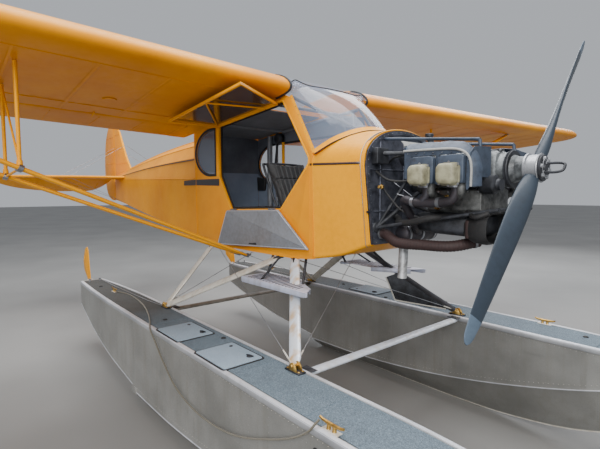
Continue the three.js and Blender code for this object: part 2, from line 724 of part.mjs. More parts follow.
function buildFloat(name, side) {
  const centre = FLOAT_Y * side;
  const hull = loft(FLOAT_SECTIONS.map(hullRing));
  hull.translate(0, centre, 0);
  const bumper = cylinderBetween([2062, centre, 560], [2062, centre, 650], 38, 14);
  const pads = [FRONT_FOOT, REAR_FOOT].map(({ x, y }) => box(
    [x - 60, x + 60],
    [side * y - 26, side * y + 26],
    [DECK_Z - 8, DECK_Z + 14],
  ));
  const tail = [1, -1].map((edge) => box(
    [WATER_RUDDER.x - 22, -2790],
    [centre + edge * (BRACKET_GAP + 8) - 8, centre + edge * (BRACKET_GAP + 8) + 8],
    [WATER_RUDDER.z - 40, WATER_RUDDER.z + 20],
  ));
  const float = join(
    hull,
    bumper,
    ...pads,
    ...tail,
    cleat(BOW_CLEAT.x, BOW_CLEAT.y, DECK_Z, side),
    cleat(STERN_CLEAT.x, STERN_CLEAT.y, DECK_Z - 2, side),
  );
  add(`float_${name}`, float, silver);

  for (const [place, x] of HATCHES) {
    const lid = box(
      [x - HATCH.length / 2, x + HATCH.length / 2],
      [centre + side * 30 - HATCH.width / 2, centre + side * 30 + HATCH.width / 2],
      [DECK_Z + HATCH.lift, DECK_Z + HATCH.lift + HATCH.thickness],
    );
    add(`hatch_${place}_${name}`, lid, silver);
  }

  // water rudder, drawn up behind the stern: outline as [x, z] from its pivot
  const blade = [[-15, -25], [25, -25], [20, 60], [-30, 330], [-70, 372], [-150, 340], [-230, 200], [-205, 100],
    [-90, 20], [-45, -15]];
  const rudder = join(
    sidePlate(blade.map(([x, z]) => [WATER_RUDDER.x + x, WATER_RUDDER.z + z]), centre - 5, centre + 5),
    cylinderBetween(
      [WATER_RUDDER.x, centre - BRACKET_GAP + FIT, WATER_RUDDER.z],
      [WATER_RUDDER.x, centre + BRACKET_GAP - FIT, WATER_RUDDER.z],
      12,
      12,
    ),
  );
  add(`water_rudder_${name}`, rudder, yellow);
}

// Float struts and spreader bars
const FRONT_LUG = [0, 350, 1181];
const REAR_LUG = [-1120, 345, 1168];
const BRACE_LUG = [-160, 350, 1174];
const STRUT_OVERRUN = 60;

// A strut between two fittings, run on past both of them
function floatLeg(lug, foot, side, chord, thickness) {
  const top = new THREE.Vector3(lug[0], lug[1] * side, lug[2]);
  const bottom = new THREE.Vector3(foot.x, foot.y * side, DECK_Z + 14);
  const run = top.clone().sub(bottom).normalize();
  return strut(
    bottom.addScaledVector(run, -STRUT_OVERRUN).toArray(),
    top.addScaledVector(run, STRUT_OVERRUN).toArray(),
    chord,
    thickness,
  );
}

function buildFloatStruts(name, side) {
  const floor = DECK_Z + 14 + FIT;
  const belly = BELLY.map(([x, z]) => [x, z - FIT]);
  const between = (geometry) => common(
    geometry,
    sidePlate([...belly, [1000, belly[belly.length - 1][1]], [1000, floor], [CABIN_REAR, floor]], -2000, 2000),
  );
  add(`float_strut_front_${name}`, between(floatLeg(FRONT_LUG, FRONT_FOOT, side, 76, 32)), whiteSilver);
  const vee = join(floatLeg(REAR_LUG, REAR_FOOT, side, 62, 28), floatLeg(BRACE_LUG, REAR_FOOT, side, 62, 28));
  add(`float_strut_rear_${name}`, between(vee), whiteSilver);
}

function buildSpreaders() {
  for (const [name, foot] of [['front', FRONT_FOOT], ['rear', REAR_FOOT]]) {
    const reach = FLOAT_Y - FLOAT_HALF_WIDTH - RUB_STRIP - FIT;
    const x = foot.x + 20;
    const bar = strut([x, -reach, DECK_Z - 18], [x, reach, DECK_Z - 18], 66, 30);
    add(`spreader_${name}`, bar, whiteSilver);
  }
}

// Engine, measured from the wing's leading edge
const CYLINDERS = { right: [977, 1135], left: [957, 1115] };
const ACCESSORY_FACE = 850.3;
const NOSE_END = 1338;
const ENGINE_Z = 1737;
const HEAD_OUTER = 350;
const COVER_OUTER = 404;
const HEAD_HALF = 70;

function buildEngine() {
  const nose = [[1225, 84], [1268, 80], [1300, 62], [NOSE_END, 60]];
  const noseRings = nose.map(([x, radius]) => Array.from({ length: 16 }, (_, i) => [
    x,
    radius * Math.cos(2 * Math.PI * i / 16),
    THRUST_Z + radius * Math.sin(2 * Math.PI * i / 16),
  ]));
  add('engine_crankcase', join(
    box([905, 1228], [-96, 96], [1648, 1838]),
    box([ACCESSORY_FACE, 910], [-95, 95], [1640, 1856]),
    box([885, 1190], [-150, 150], [1520, 1650]),
    box([775, 860], [-95, -35], [1705, 1790]),
    box([775, 860], [35, 95], [1705, 1790]),
    box([980, 1100], [-80, 80], [1400, 1525]),
    loft(noseRings),
  ), castAlloy);

  for (const [name, side] of SIDES) {
    const pieces = [];
    for (const x of CYLINDERS[name]) {
      const toY = (a, b) => [side * a, side * b].sort((p, q) => p - q);
      pieces.push(cylinderBetween([x, side * (96 + FIT), ENGINE_Z], [x, side * 255, ENGINE_Z], 62, 12));
      for (let fin = 0; fin < 5; fin += 1) {
        const y = 118 + fin * 26;
        pieces.push(cylinderBetween([x, side * y, ENGINE_Z], [x, side * (y + 8), ENGINE_Z], 74, 12));
      }
      pieces.push(box([x - HEAD_HALF, x + HEAD_HALF], toY(250, HEAD_OUTER), [ENGINE_Z - 72, ENGINE_Z + 72]));
      const cover = [[-57, -48], [-40, -58], [40, -58], [57, -48], [57, 40], [34, 58], [-34, 58], [-57, 40]]
        .map(([u, v]) => [x + u, ENGINE_Z - 22 + v]);
      pieces.push(sidePlate(cover, ...toY(HEAD_OUTER - 2, COVER_OUTER)));
    }
    pieces.push(cylinderBetween(
      [CYLINDERS[name][0], side * 300, ENGINE_Z - 40],
      [CYLINDERS[name][1], side * 300, ENGINE_Z - 40],
      14,
      8,
    ));
    add(`engine_cylinders_${name}`, join(...pieces), coverGrey);
  }
}

const BAFFLE_Y = 326;

function buildBaffles() {
  const [rear, front] = [866, 1222];
  const wallOf = (side) => {
    const name = side > 0 ? 'left' : 'right';
    const wall = sidePlate(
      [[rear, 1700], [front - 10, 1640], [front + 6, 1700], [front + 6, 1812], [front - 24, 1846], [rear, 1850]],
      side > 0 ? BAFFLE_Y - 6 : -BAFFLE_Y - 2,
      side > 0 ? BAFFLE_Y + 2 : -BAFFLE_Y + 6,
    );
    const holes = CYLINDERS[name].map((x) => box(
      [x - HEAD_HALF - FIT, x + HEAD_HALF + FIT],
      [side * BAFFLE_Y - 20, side * BAFFLE_Y + 20],
      [1500, ENGINE_Z + 72 + FIT],
    ));
    return cut(wall, ...holes);
  };
  const back = box([rear - 8, rear + 2], [-BAFFLE_Y, BAFFLE_Y], [1860, 1880]);
  const sides = [1, -1].map((side) => box(
    [rear - 8, front],
    [side * BAFFLE_Y - 4, side * BAFFLE_Y + 4],
    [1842, 1880],
  ));
  const lips = [1, -1].map((side) => join(
    box([front - 8, front + 2], [side * BAFFLE_Y - side * 200, side * BAFFLE_Y].sort((a, b) => a - b), [1842, 1880]),
    box([rear, front], [side * BAFFLE_Y, side * (BAFFLE_Y + 34)].sort((a, b) => a - b), [1846, 1852]),
  ));
  add('engine_baffles', join(back, ...sides, ...lips, wallOf(1), wallOf(-1)), baffleBlue);
}

function buildExhaust() {
  const radius = 23;
  const tube = (points) => tubeAlong(points, radius, 8, (points.length - 1) * 3);
  const banks = SIDES.flatMap(([name, side]) => {
    const [aft, fore] = CYLINDERS[name];
    return [
      tube([[fore, side * 292, ENGINE_Z - 72.5 - FIT], [fore, side * 292, 1630], [fore - 22, side * 294, 1592],
        [fore - 90, side * 298, 1578], [aft - 60, side * 298, 1576], [aft - 130, side * 292, 1590],
        [aft - 150, side * 260, 1560], [aft - 150, side * 190, 1480], [aft - 170, side * 120, 1420],
        [760, side * 40, 1395]]),
      cylinderBetween([aft, side * 292, ENGINE_Z - 72 - FIT], [aft, side * 292, 1580], radius, 8),
    ];
  });
  const stack = join(
    cylinderBetween([750, -190, 1395], [750, 110, 1395], 48, 16),
    cylinderBetween([742, -150, 1392], [738, -160, 1140], 27, 14),
  );
  add('exhaust', join(...banks, stack), exhaustGrey);
}

function buildMount() {
  const face = FIREWALL + 10 + FIT;
  const corners = [[1, 1850], [-1, 1850], [1, 1430], [-1, 1430]];
  const pieces = [];
  for (const [side, z] of corners) {
    const foot = [face, 262 * side, z];
    const lug = [838, 112 * side, z > 1700 ? 1845 : 1650];
    pieces.push(cylinderBetween(foot, [face + 14, foot[1], z], 30, 12));
    pieces.push(cylinderBetween([face + 13, foot[1], z], lug, 12, 8));
  }
  for (const side of [1, -1]) {
    pieces.push(cylinderBetween([face + 13, 262 * side, 1430], [838, 112 * side, 1845], 10, 8));
    pieces.push(cylinderBetween([838, 112 * side, 1845], [838, 112 * side, 1650], 12, 8));
    pieces.push(cylinderBetween([face + 13, 262 * side, 1430], [1290, 178 * side, 1545], 10, 8));
  }
  pieces.push(cylinderBetween([838, -112, 1845], [838, 112, 1845], 12, 8));
  pieces.push(cylinderBetween([1290, -178, 1545], [1290, 178, 1545], 10, 8));
  add('engine_mount', join(...pieces), darkSteel);
}

function buildHoses() {
  const hose = tubeAlong(
    [[FIREWALL, -215, 1392], [660, -215, 1390], [760, -236, 1352], [900, -220, 1350], [1050, -170, 1352],
      [1140, -60, 1378]],
    30,
    12,
    16,
  );
  const ahead = box([FIREWALL + 10 + FIT, 2000], [-500, 500], [1000, 2000]);
  add('air_hose', common(hose, ahead), hoseRed);
}

// Propeller: share of radius, chord, thickness, pitch in degrees
const BLADE = [
  [0.04, 60, 52, 45],
  [0.12, 96, 56, 44],
  [0.22, 122, 44, 38],
  [0.38, 142, 30, 29],
  [0.58, 144, 21, 22],
  [0.78, 126, 14, 17],
  [0.92, 98, 9, 14],
  [0.985, 60, 6, 13],
  [1.0, 24, 4, 13],
];

function bladeRing([share, chord, thickness, pitch]) {
  const twist = THREE.MathUtils.degToRad(pitch);
  return Array.from({ length: 12 }, (_, i) => {
    const turn = 2 * Math.PI * i / 12;
    const u = -chord / 2 * Math.cos(turn);
    const v = thickness / 2 * Math.sin(turn);
    return [
      -u * Math.sin(twist) + v * Math.cos(twist),
      u * Math.cos(twist) + v * Math.sin(twist),
      PROP_RADIUS * share,
    ];
  });
}

function buildPropeller() {
  const group = new THREE.Group();
  group.position.set(PROP_STATION, 0, THRUST_Z);
  group.rotation.x = PROP_ANGLE;
  plane.add(group);
  const blade = loft(BLADE.map(bladeRing));
  const other = blade.clone().rotateX(Math.PI);
  const hub = cylinderBetween([NOSE_END - PROP_STATION + FIT, 0, 0], [32, 0, 0], 72, 20);
  const plate = cylinderBetween([30, 0, 0], [44, 0, 0], 62, 16);
  const prongs = [28, -28].map((z) => cylinderBetween([40, 0, z], [128, 0, z], 5, 8));
  const tie = cylinderBetween([128, 0, -31], [128, 0, 31], 6, 8);
  add('propeller', join(blade, other, hub, plate, ...prongs, tie), bladeBlue, group);
}

// Doors, open as they hang: the upper one level under the wing, the lower one down outside
const DOOR_THICKNESS = 18;

function hingeLine({ rear, front }) {
  const slope = Math.atan2(front[1] - rear[1], front[0] - rear[0]);
  return { slope, length: Math.hypot(front[0] - rear[0], front[1] - rear[1]) };
}

function buildDoors() {
  const upper = new THREE.Group();
  const line = hingeLine(UPPER_HINGE);
  upper.position.set(UPPER_HINGE.rear[0], HINGE_Y, UPPER_HINGE.rear[1]);
  upper.rotation.y = -line.slope;
  plane.add(upper);
  // outline as [along the hinge, out from it]
  const outline = [[14, 8], [line.length - 8, 8], [line.length + 212, 462], [line.length + 214, 470], [34, 442]];
  const inner = [[44, 36], [line.length - 28, 36], [line.length + 168, 432], [62, 410]];
  const bar = 12;
  const rim = cut(
    levelPlate(outline.map(([x, out]) => [x, -out]), -RUNNING_GAP - DOOR_THICKNESS, -RUNNING_GAP),
    levelPlate(inner.map(([x, out]) => [x, -out]), -100, 100),
  );
  const middle = [470, 446];
  const strip = (a, b) => {
    const run = Math.atan2(b[1] - a[1], b[0] - a[0]);
    const nx = -Math.sin(run) * bar / 2;
    const ny = Math.cos(run) * bar / 2;
    return levelPlate(
      [[a[0] + nx, -a[1] - ny], [b[0] + nx, -b[1] - ny], [b[0] - nx, -b[1] + ny], [a[0] - nx, -a[1] + ny]],
      -RUNNING_GAP - DOOR_THICKNESS + 1,
      -RUNNING_GAP - 6,
    );
  };
  const frame = join(rim, strip(middle, [50, 30]), strip(middle, [line.length - 160, 30]));
  const lugs = [90, line.length - 90].map((x) => cylinderBetween([x - 30, 0, 0], [x + 30, 0, 0], PIN_RADIUS, 10));
  const webs = [90, line.length - 90].map((x) => box([x - 12, x + 12], [-14, -3.5], [-12, 2]));
  add('upper_door', join(frame, ...lugs, ...webs), yellow, upper);
  const paneOutline = inner.map(([x, out]) => [x, -out]);
  add('upper_door_pane', levelPlate(
    paneOutline.map(([x, y]) => [x + (x < 100 ? -8 : 8), y + (y > -100 ? 8 : -8)]),
    -RUNNING_GAP + FIT,
    -RUNNING_GAP + 3,
  ), clear, upper);

  const lower = new THREE.Group();
  const sill = hingeLine(LOWER_HINGE);
  lower.position.set(LOWER_HINGE.rear[0], LOWER_HINGE_Y, LOWER_HINGE.rear[1]);
  lower.rotation.y = -sill.slope;
  plane.add(lower);
  const drop = 290;
  const panel = [[-14, -5], [sill.length + 14, -5], [sill.length + 284, -drop + 26], [-214, -drop]];
  const leaf = sidePlate(panel, -17, -3);
  const pins = LOWER_HINGE_PINS.map((x) => cylinderBetween([x - 40, 0, 0], [x + 40, 0, 0], PIN_RADIUS, 10));
  const straps = LOWER_HINGE_PINS.map((x) => box([x - 14, x + 14], [-6, 0], [-14, 2]));
  add('lower_door', join(leaf, ...pins, ...straps), panelGrey, lower);
}

// Boarding steps: a folded plate threaded on the front float strut, outline as [station, y]
const STEP = [[-285, 380], [60, 362], [330, 500], [400, 598], [-285, 588]];
const STEP_Z = 1052;
const STEP_SHEET = 5;

function buildSteps(name, side) {
  const tread = levelPlate(STEP.map(([x, y]) => [x, y * side]), STEP_Z, STEP_Z + STEP_SHEET);
  const skirt = levelPlate(
    [[-285, 582], [400, 592], [400, 598], [-285, 588]].map(([x, y]) => [x, y * side]),
    STEP_Z - 55,
    STEP_Z + 2,
  );
  const strutHole = floatLeg(FRONT_LUG, FRONT_FOOT, side, 76 + 2 * FIT, 32 + 2 * FIT);
  const braceHole = floatLeg(BRACE_LUG, REAR_FOOT, side, 62 + 2 * FIT, 28 + 2 * FIT);
  add(`step_${name}`, cut(join(tread, skirt), strutHole, braceHole), whiteSilver);
}

// Seats: plain closed forms of the cushions
function buildSeats() {
  const back = (x, z, lean, height) => [[x, z], [x + 62, z], [x + 62 - lean, z + height], [x - lean, z + height]];
  add('seat_front', join(
    sidePlate(back(-372, 1380, 190, 480), -205, 205),
    sidePlate([[-330, 1350], [60, 1370], [60, 1440], [-330, 1420]], -205, 205),
  ), seatBlack);
  add('seat_rear', join(
    sidePlate(back(-1330, 1370, 60, 440), -260, 260),
    sidePlate([[-1300, 1330], [-930, 1350], [-930, 1420], [-1300, 1400]], -260, 260),
  ), seatBlack);
}

// The mooring line: from the stern cleat over the deck, down outside the float and up to the bow cleat
const ROPE_RADIUS = 5;
const ROPE_ROUTE = [[-1937, -927, 712], [-1840, -885, 706], [-1729, -869, 706], [-1500, -880, 706],
  [-1262, -915, 706], [-1000, -980, 706], [-793, -1047, 706], [-700, -1085, 708], [-640, -1104, 694],
  [-572, -1104, 643], [-444, -1104, 543], [-254, -1104, 430], [0, -1104, 381], [243, -1104, 388],
  [471, -1104, 434], [714, -1104, 528], [891, -1104, 614], [990, -1104, 684], [1012, -1090, 716],
  [1014, -1066, 730]];

function buildRope() {
  add('mooring_line', tubeAlong(ROPE_ROUTE, ROPE_RADIUS, 6, 60), ropeGrey);
}

buildFuselage();
buildCabin();
buildGlass();
buildSeats();
for (const [name, side] of SIDES) {
  buildWing(name, side);
  buildLiftStruts(name, side);
  buildFloat(name, side);
  buildFloatStruts(name, side);
  buildSteps(name, side);
}
buildSpreaders();
buildTail();
buildEngine();
buildBaffles();
buildExhaust();
buildMount();
buildHoses();
buildPropeller();
buildDoors();
buildRope();

export default plane;
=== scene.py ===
"""Looks of the floatplane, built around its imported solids.

Metres, +X forward, +Y to port, +Z up, with the floor under the float keels at z = 0.
Stations are measured from the wing's leading edge, as in the solids' source.
"""

import json
import logging
import math
from dataclasses import dataclass, field
from enum import Enum
from typing import Callable, Iterable, Sequence

import bmesh
import bpy
import numpy as np
from mathutils import Matrix, Vector

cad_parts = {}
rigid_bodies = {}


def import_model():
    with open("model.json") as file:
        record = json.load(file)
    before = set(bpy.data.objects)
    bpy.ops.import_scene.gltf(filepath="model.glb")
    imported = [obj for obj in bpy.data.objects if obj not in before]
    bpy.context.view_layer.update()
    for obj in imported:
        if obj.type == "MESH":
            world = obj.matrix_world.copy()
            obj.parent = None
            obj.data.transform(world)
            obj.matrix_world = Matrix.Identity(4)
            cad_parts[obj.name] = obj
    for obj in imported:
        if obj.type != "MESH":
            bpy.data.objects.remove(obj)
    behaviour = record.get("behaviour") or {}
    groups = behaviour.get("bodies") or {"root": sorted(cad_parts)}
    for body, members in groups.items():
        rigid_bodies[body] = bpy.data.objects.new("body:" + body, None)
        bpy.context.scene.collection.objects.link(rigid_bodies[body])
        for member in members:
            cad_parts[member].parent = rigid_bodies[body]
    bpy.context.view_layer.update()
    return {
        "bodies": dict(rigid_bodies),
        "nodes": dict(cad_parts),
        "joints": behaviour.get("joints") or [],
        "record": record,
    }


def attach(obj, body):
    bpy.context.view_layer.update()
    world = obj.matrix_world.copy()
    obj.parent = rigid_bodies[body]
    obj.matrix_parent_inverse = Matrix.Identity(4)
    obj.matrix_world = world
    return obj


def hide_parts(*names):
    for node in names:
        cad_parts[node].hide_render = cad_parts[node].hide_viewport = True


LOG = logging.getLogger("floatplane")
STATION_ZERO = 1.6  # the frame's x of the wing's leading edge
WING_SET = math.radians(5)  # the chord's rise towards the nose
WING_RISE = math.radians(1.7)  # the span's rise towards the tip
WING_ROOT = (0.370, 2.325)  # the root's distance from the middle and the leading edge's height there
Point = tuple[float, float, float]
Ring = list[Point]
FORE, PORT, UP = (1, 0, 0), (0, 1, 0), (0, 0, 1)
TIP = 1e-4  # the radius that closes a turned form's end
BLOCK_FACES = [(0, 1, 3, 2), (4, 6, 7, 5), (0, 4, 5, 1), (2, 3, 7, 6), (0, 2, 6, 4), (1, 5, 7, 3)]


class Side(Enum):
    """The two sides of the aeroplane, with the sign of their Y."""

    LEFT = 1
    RIGHT = -1

    @property
    def word(self) -> str:
        """The side's name in node and piece names."""
        return self.name.lower()


class Edge(Enum):
    """How a mesh is shaded: every face flat, or smooth up to an angle in degrees."""

    FLAT = 0
    CRISP = 30
    SOFT = 50
    ROUND = 80


def at(x: float, y: float, z: float) -> Point:
    """The frame point of a station, a distance to port and a height."""
    return (x + STATION_ZERO, y, z)


def on_side(y: float, *corners: Sequence[float]) -> Ring:
    """Frame points at one distance to port, from pairs of a station and a height."""
    return [at(x, y, z) for x, z in corners]


def on_station(x: float, *corners: Sequence[float]) -> Ring:
    """Frame points at one station, from pairs of a distance to port and a height."""
    return [at(x, y, z) for y, z in corners]


def on_level(z: float, *corners: Sequence[float]) -> Ring:
    """Frame points at one height, from pairs of a station and a distance to port."""
    return [at(x, y, z) for x, y in corners]


# ---- meshes -------------------------------------------------------------


@dataclass
class Shape:
    """Vertices and faces that grow as parts are added, before they become one mesh."""

    points: list[Point] = field(default_factory=list)
    faces: list[tuple[int, ...]] = field(default_factory=list)

    def add(self, points: Iterable[Sequence[float]], faces: Iterable[Sequence[int]]) -> "Shape":
        """Adds points and faces.

        Args:
            points: the new vertices.
            faces: faces that count from the first new vertex.

        Returns:
            This shape.
        """
        base = len(self.points)
        self.points.extend(tuple(float(v) for v in p) for p in points)
        self.faces.extend(tuple(i + base for i in face) for face in faces)
        return self

    def loft(self, rings: Sequence[Ring], closed: bool = True, caps: bool = True) -> "Shape":
        """Joins rings of equal count into a skin.

        Args:
            rings: the rings, each a list of points.
            closed: whether each ring's last point meets its first.
            caps: whether the first and last ring are closed over.

        Returns:
            This shape.
        """
        count = len(rings[0])
        faces: list[tuple[int, ...]] = []
        last = count if closed else count - 1
        for r in range(len(rings) - 1):
            for i in range(last):
                a, b = r * count + i, r * count + (i + 1) % count
                faces.append((a, b, b + count, a + count))
        if caps and closed:
            faces.append(tuple(range(count))[::-1])
            faces.append(tuple((len(rings) - 1) * count + i for i in range(count)))
        return self.add([p for ring in rings for p in ring], faces)

    def tube(
        self, path: Sequence[Sequence[float]], radius: float | Callable[[float], float], sides: int = 12
    ) -> "Shape":
        """A round tube along a path.

        Args:
            path: the centreline's points.
            radius: the radius, or a function of the share of the path's length.
            sides: points round the tube.

        Returns:
            This shape.
        """
        line = np.array(path, float)
        steps = np.linalg.norm(np.diff(line, axis=0), axis=1)
        share = np.concatenate([[0.0], np.cumsum(steps)]) / max(steps.sum(), 1e-9)
        tangent = np.gradient(line, axis=0)
        tangent /= np.linalg.norm(tangent, axis=1)[:, None]
        helper = np.array([0.0, 0.0, 1.0]) if abs(tangent[0][2]) < 0.9 else np.array([1.0, 0.0, 0.0])
        normal = np.cross(tangent[0], helper)
        normal /= np.linalg.norm(normal)
        rings: list[Ring] = []
        for p, t, s in zip(line, tangent, share):
            normal = normal - t * normal.dot(t)
            normal /= np.linalg.norm(normal)
            other = np.cross(t, normal)
            r = radius(float(s)) if callable(radius) else radius
            turns = np.arange(sides) * 2 * math.pi / sides
            rings.append([tuple(p + r * (math.cos(a) * normal + math.sin(a) * other)) for a in turns])
        return self.loft(rings)

    def rod(self, a: Sequence[float], b: Sequence[float], radius: float, sides: int = 12) -> "Shape":
        """A straight round bar between two points."""
        return self.tube([a, b], radius, sides)

    def box(self, low: Sequence[float], high: Sequence[float]) -> "Shape":
        """A plain block between two corners.

        Args:
            low: the corner with the smallest values.
            high: the corner across from it.

        Returns:
            The shape itself.
        """
        xs, ys, zs = zip(low, high)
        points = [(x, y, z) for x in xs for y in ys for z in zs]
        return self.add(points, BLOCK_FACES)

    def plate(self, outline: Sequence[Sequence[float]], along: Sequence[float]) -> "Shape":
        """A flat plate: a plane outline carried along a vector.

        Args:
            outline: the outline's points.
            along: the vector that it is carried along.

        Returns:
            This shape.
        """
        count = len(outline)
        top = [tuple(np.add(p, along)) for p in outline]
        faces: list[tuple[int, ...]] = [tuple(range(count))[::-1], tuple(range(count, 2 * count))]
        faces += [(i, (i + 1) % count, (i + 1) % count + count, i + count) for i in range(count)]
        return self.add([*outline, *top], faces)

    def turned(
        self, centre: Sequence[float], axis: Sequence[float], profile: Sequence[tuple[float, float]],
        sides: int = 24
    ) -> "Shape":
        """A turned form.

        Args:
            centre: the foot of the axis.
            axis: the axis direction.
            profile: pairs of a distance along the axis and a radius.
            sides: points round the form.

        Returns:
            This shape.
        """
        z = np.array(axis, float)
        z /= np.linalg.norm(z)
        helper = np.array([1.0, 0, 0]) if abs(z[0]) < 0.9 else np.array([0, 1.0, 0])
        x = np.cross(helper, z)
        x /= np.linalg.norm(x)
        y = np.cross(z, x)
        turns = np.arange(sides) * 2 * math.pi / sides
        rings = [
            [
                tuple(np.array(centre) + z * d + max(r, 1e-5) * (math.cos(a) * x + math.sin(a) * y))
                for a in turns]
            for d, r in profile]
        return self.loft(rings)

    def object(self, name: str, edge: Edge = Edge.CRISP, merge: float = 0.0) -> bpy.types.Object:
        """Makes the mesh object, with its faces turned outwards.

        Args:
            name: the piece's name.
            edge: how it is shaded.
            merge: the distance under which points are joined, or 0.

        Returns:
            The new object, at the origin and unturned.
        """
        mesh = bpy.data.meshes.new(name)
        mesh.from_pydata(self.points, [], self.faces)
        work = bmesh.new()
        work.from_mesh(mesh)
        if merge:
            bmesh.ops.remove_doubles(work, verts=work.verts, dist=merge)
        bmesh.ops.recalc_face_normals(work, faces=work.faces)
        work.to_mesh(mesh)
        work.free()
        shade(mesh, edge)
        obj = bpy.data.objects.new(name, mesh)
        bpy.context.scene.collection.objects.link(obj)
        return obj

    def piece(
        self, name: str, finish: "Finish", edge: Edge, body: str = "airframe", replaces: Sequence[str] = (),
        merge: float = 0.0, bevel: float = 0.0, segments: int = 2
    ) -> bpy.types.Object:
        """Makes the mesh object and dresses it.

        Args:
            name: the piece's name.
            finish: its finish.
            edge: how it is shaded.
            body: the body that it moves with.
            replaces: the nodes that it stands for.
            merge: the distance under which points are joined, or 0.
            bevel: the width that its sharp edges are rounded by, or 0.
            segments: the rounding's segments.

        Returns:
            The new piece.
        """
        obj = self.object(name, edge, merge)
        if bevel:
            bevelled(obj, bevel, segments)
        return dress(obj, finish, body, replaces)


def shade(mesh: bpy.types.Mesh, edge: Edge) -> None:
    """Shades a mesh flat or smooth, with sharp edges above the angle.

    Args:
        mesh: the mesh.
        edge: how it is shaded.
    """
    smooth = edge is not Edge.FLAT
    mesh.polygons.foreach_set("use_smooth", [smooth] * len(mesh.polygons))
    if smooth:
        mesh.set_sharp_from_angle(angle=math.radians(edge.value))
    mesh.update()


def apply_modifiers(obj: bpy.types.Object) -> bpy.types.Object:
    """Turns an object's evaluated result into its plain mesh and removes its modifiers.

    Args:
        obj: the object.

    Returns:
        The object, with its new mesh.
    """
    graph = bpy.context.evaluated_depsgraph_get()
    mesh = bpy.data.meshes.new_from_object(obj.evaluated_get(graph))
    obj.modifiers.clear()
    old = obj.data
    obj.data = mesh
    bpy.data.meshes.remove(old)
    mesh.name = obj.name
    return obj


def bevelled(obj: bpy.types.Object, width: float, segments: int = 2, angle: float = 30.0) -> bpy.types.Object:
    """Rounds an object's edges that are sharper than the angle, in degrees.

    Args:
        obj: the object.
        width: the rounding's width.
        segments: faces across the rounding.
        angle: the least angle that is rounded.

    Returns:
        The object.
    """
    bevel = obj.modifiers.new("round", "BEVEL")
    bevel.width = width
    bevel.segments = segments
    bevel.limit_method = "ANGLE"
    bevel.angle_limit = math.radians(angle)
    bevel.harden_normals = False
    apply_modifiers(obj)
    shade(obj.data, Edge.SOFT)
    return obj


def thickened(obj: bpy.types.Object, thickness: float, offset: float = -1.0) -> bpy.types.Object:
    """Gives an open sheet a thickness.

    Args:
        obj: the sheet.
        thickness: its thickness.
        offset: which side the wall grows to, -1 inwards and 0 both ways.

    Returns:
        The object.
    """
    wall = obj.modifiers.new("wall", "SOLIDIFY")
    wall.thickness = thickness
    wall.offset = offset
    return apply_modifiers(obj)


def capped(*profile: tuple[float, float]) -> list[tuple[float, float]]:
    """A turned form's profile with both ends closed flat."""
    return [(profile[0][0], TIP), *profile, (profile[-1][0], TIP)]


def smooth_path(points: Sequence[Sequence[float]], count: int) -> list[Point]:
    """Points spaced along a smooth curve through the given ones.

    Args:
        points: the points passed through.
        count: how many points come back.

    Returns:
        The curve's points.
    """
    p = np.array(points, float)
    gaps = np.linalg.norm(np.diff(p, axis=0), axis=1) ** 0.5
    knots = np.concatenate([[0.0], np.cumsum(gaps)])
    slopes = np.zeros_like(p)
    for i in range(len(p)):
        lo, hi = max(i - 1, 0), min(i + 1, len(p) - 1)
        slopes[i] = (p[hi] - p[lo]) / (knots[hi] - knots[lo])
    out: list[Point] = []
    for t in np.linspace(0, knots[-1], count):
        i = min(int(np.searchsorted(knots, t, side="right")) - 1, len(p) - 2)
        h = knots[i + 1] - knots[i]
        s = (t - knots[i]) / h
        a = (1 + 2 * s) * (1 - s) ** 2 * p[i] + s * (1 - s) ** 2 * h * slopes[i]
        b = s * s * (3 - 2 * s) * p[i + 1] + s * s * (s - 1) * h * slopes[i + 1]
        out.append(tuple(a + b))
    return out


# ---- finishes -----------------------------------------------------------

Colour = tuple[float, float, float]


def srgb(r: int, g: int, b: int) -> Colour:
    """A linear colour from 8-bit screen values.

    Args:
        r: the red value.
        g: the green value.
        b: the blue value.

    Returns:
        The linear colour.
    """
    def one(v: int) -> float:
        """One channel's linear value."""
        c = v / 255
        return c / 12.92 if c <= 0.04045 else ((c + 0.055) / 1.055) ** 2.4

    return (one(r), one(g), one(b))


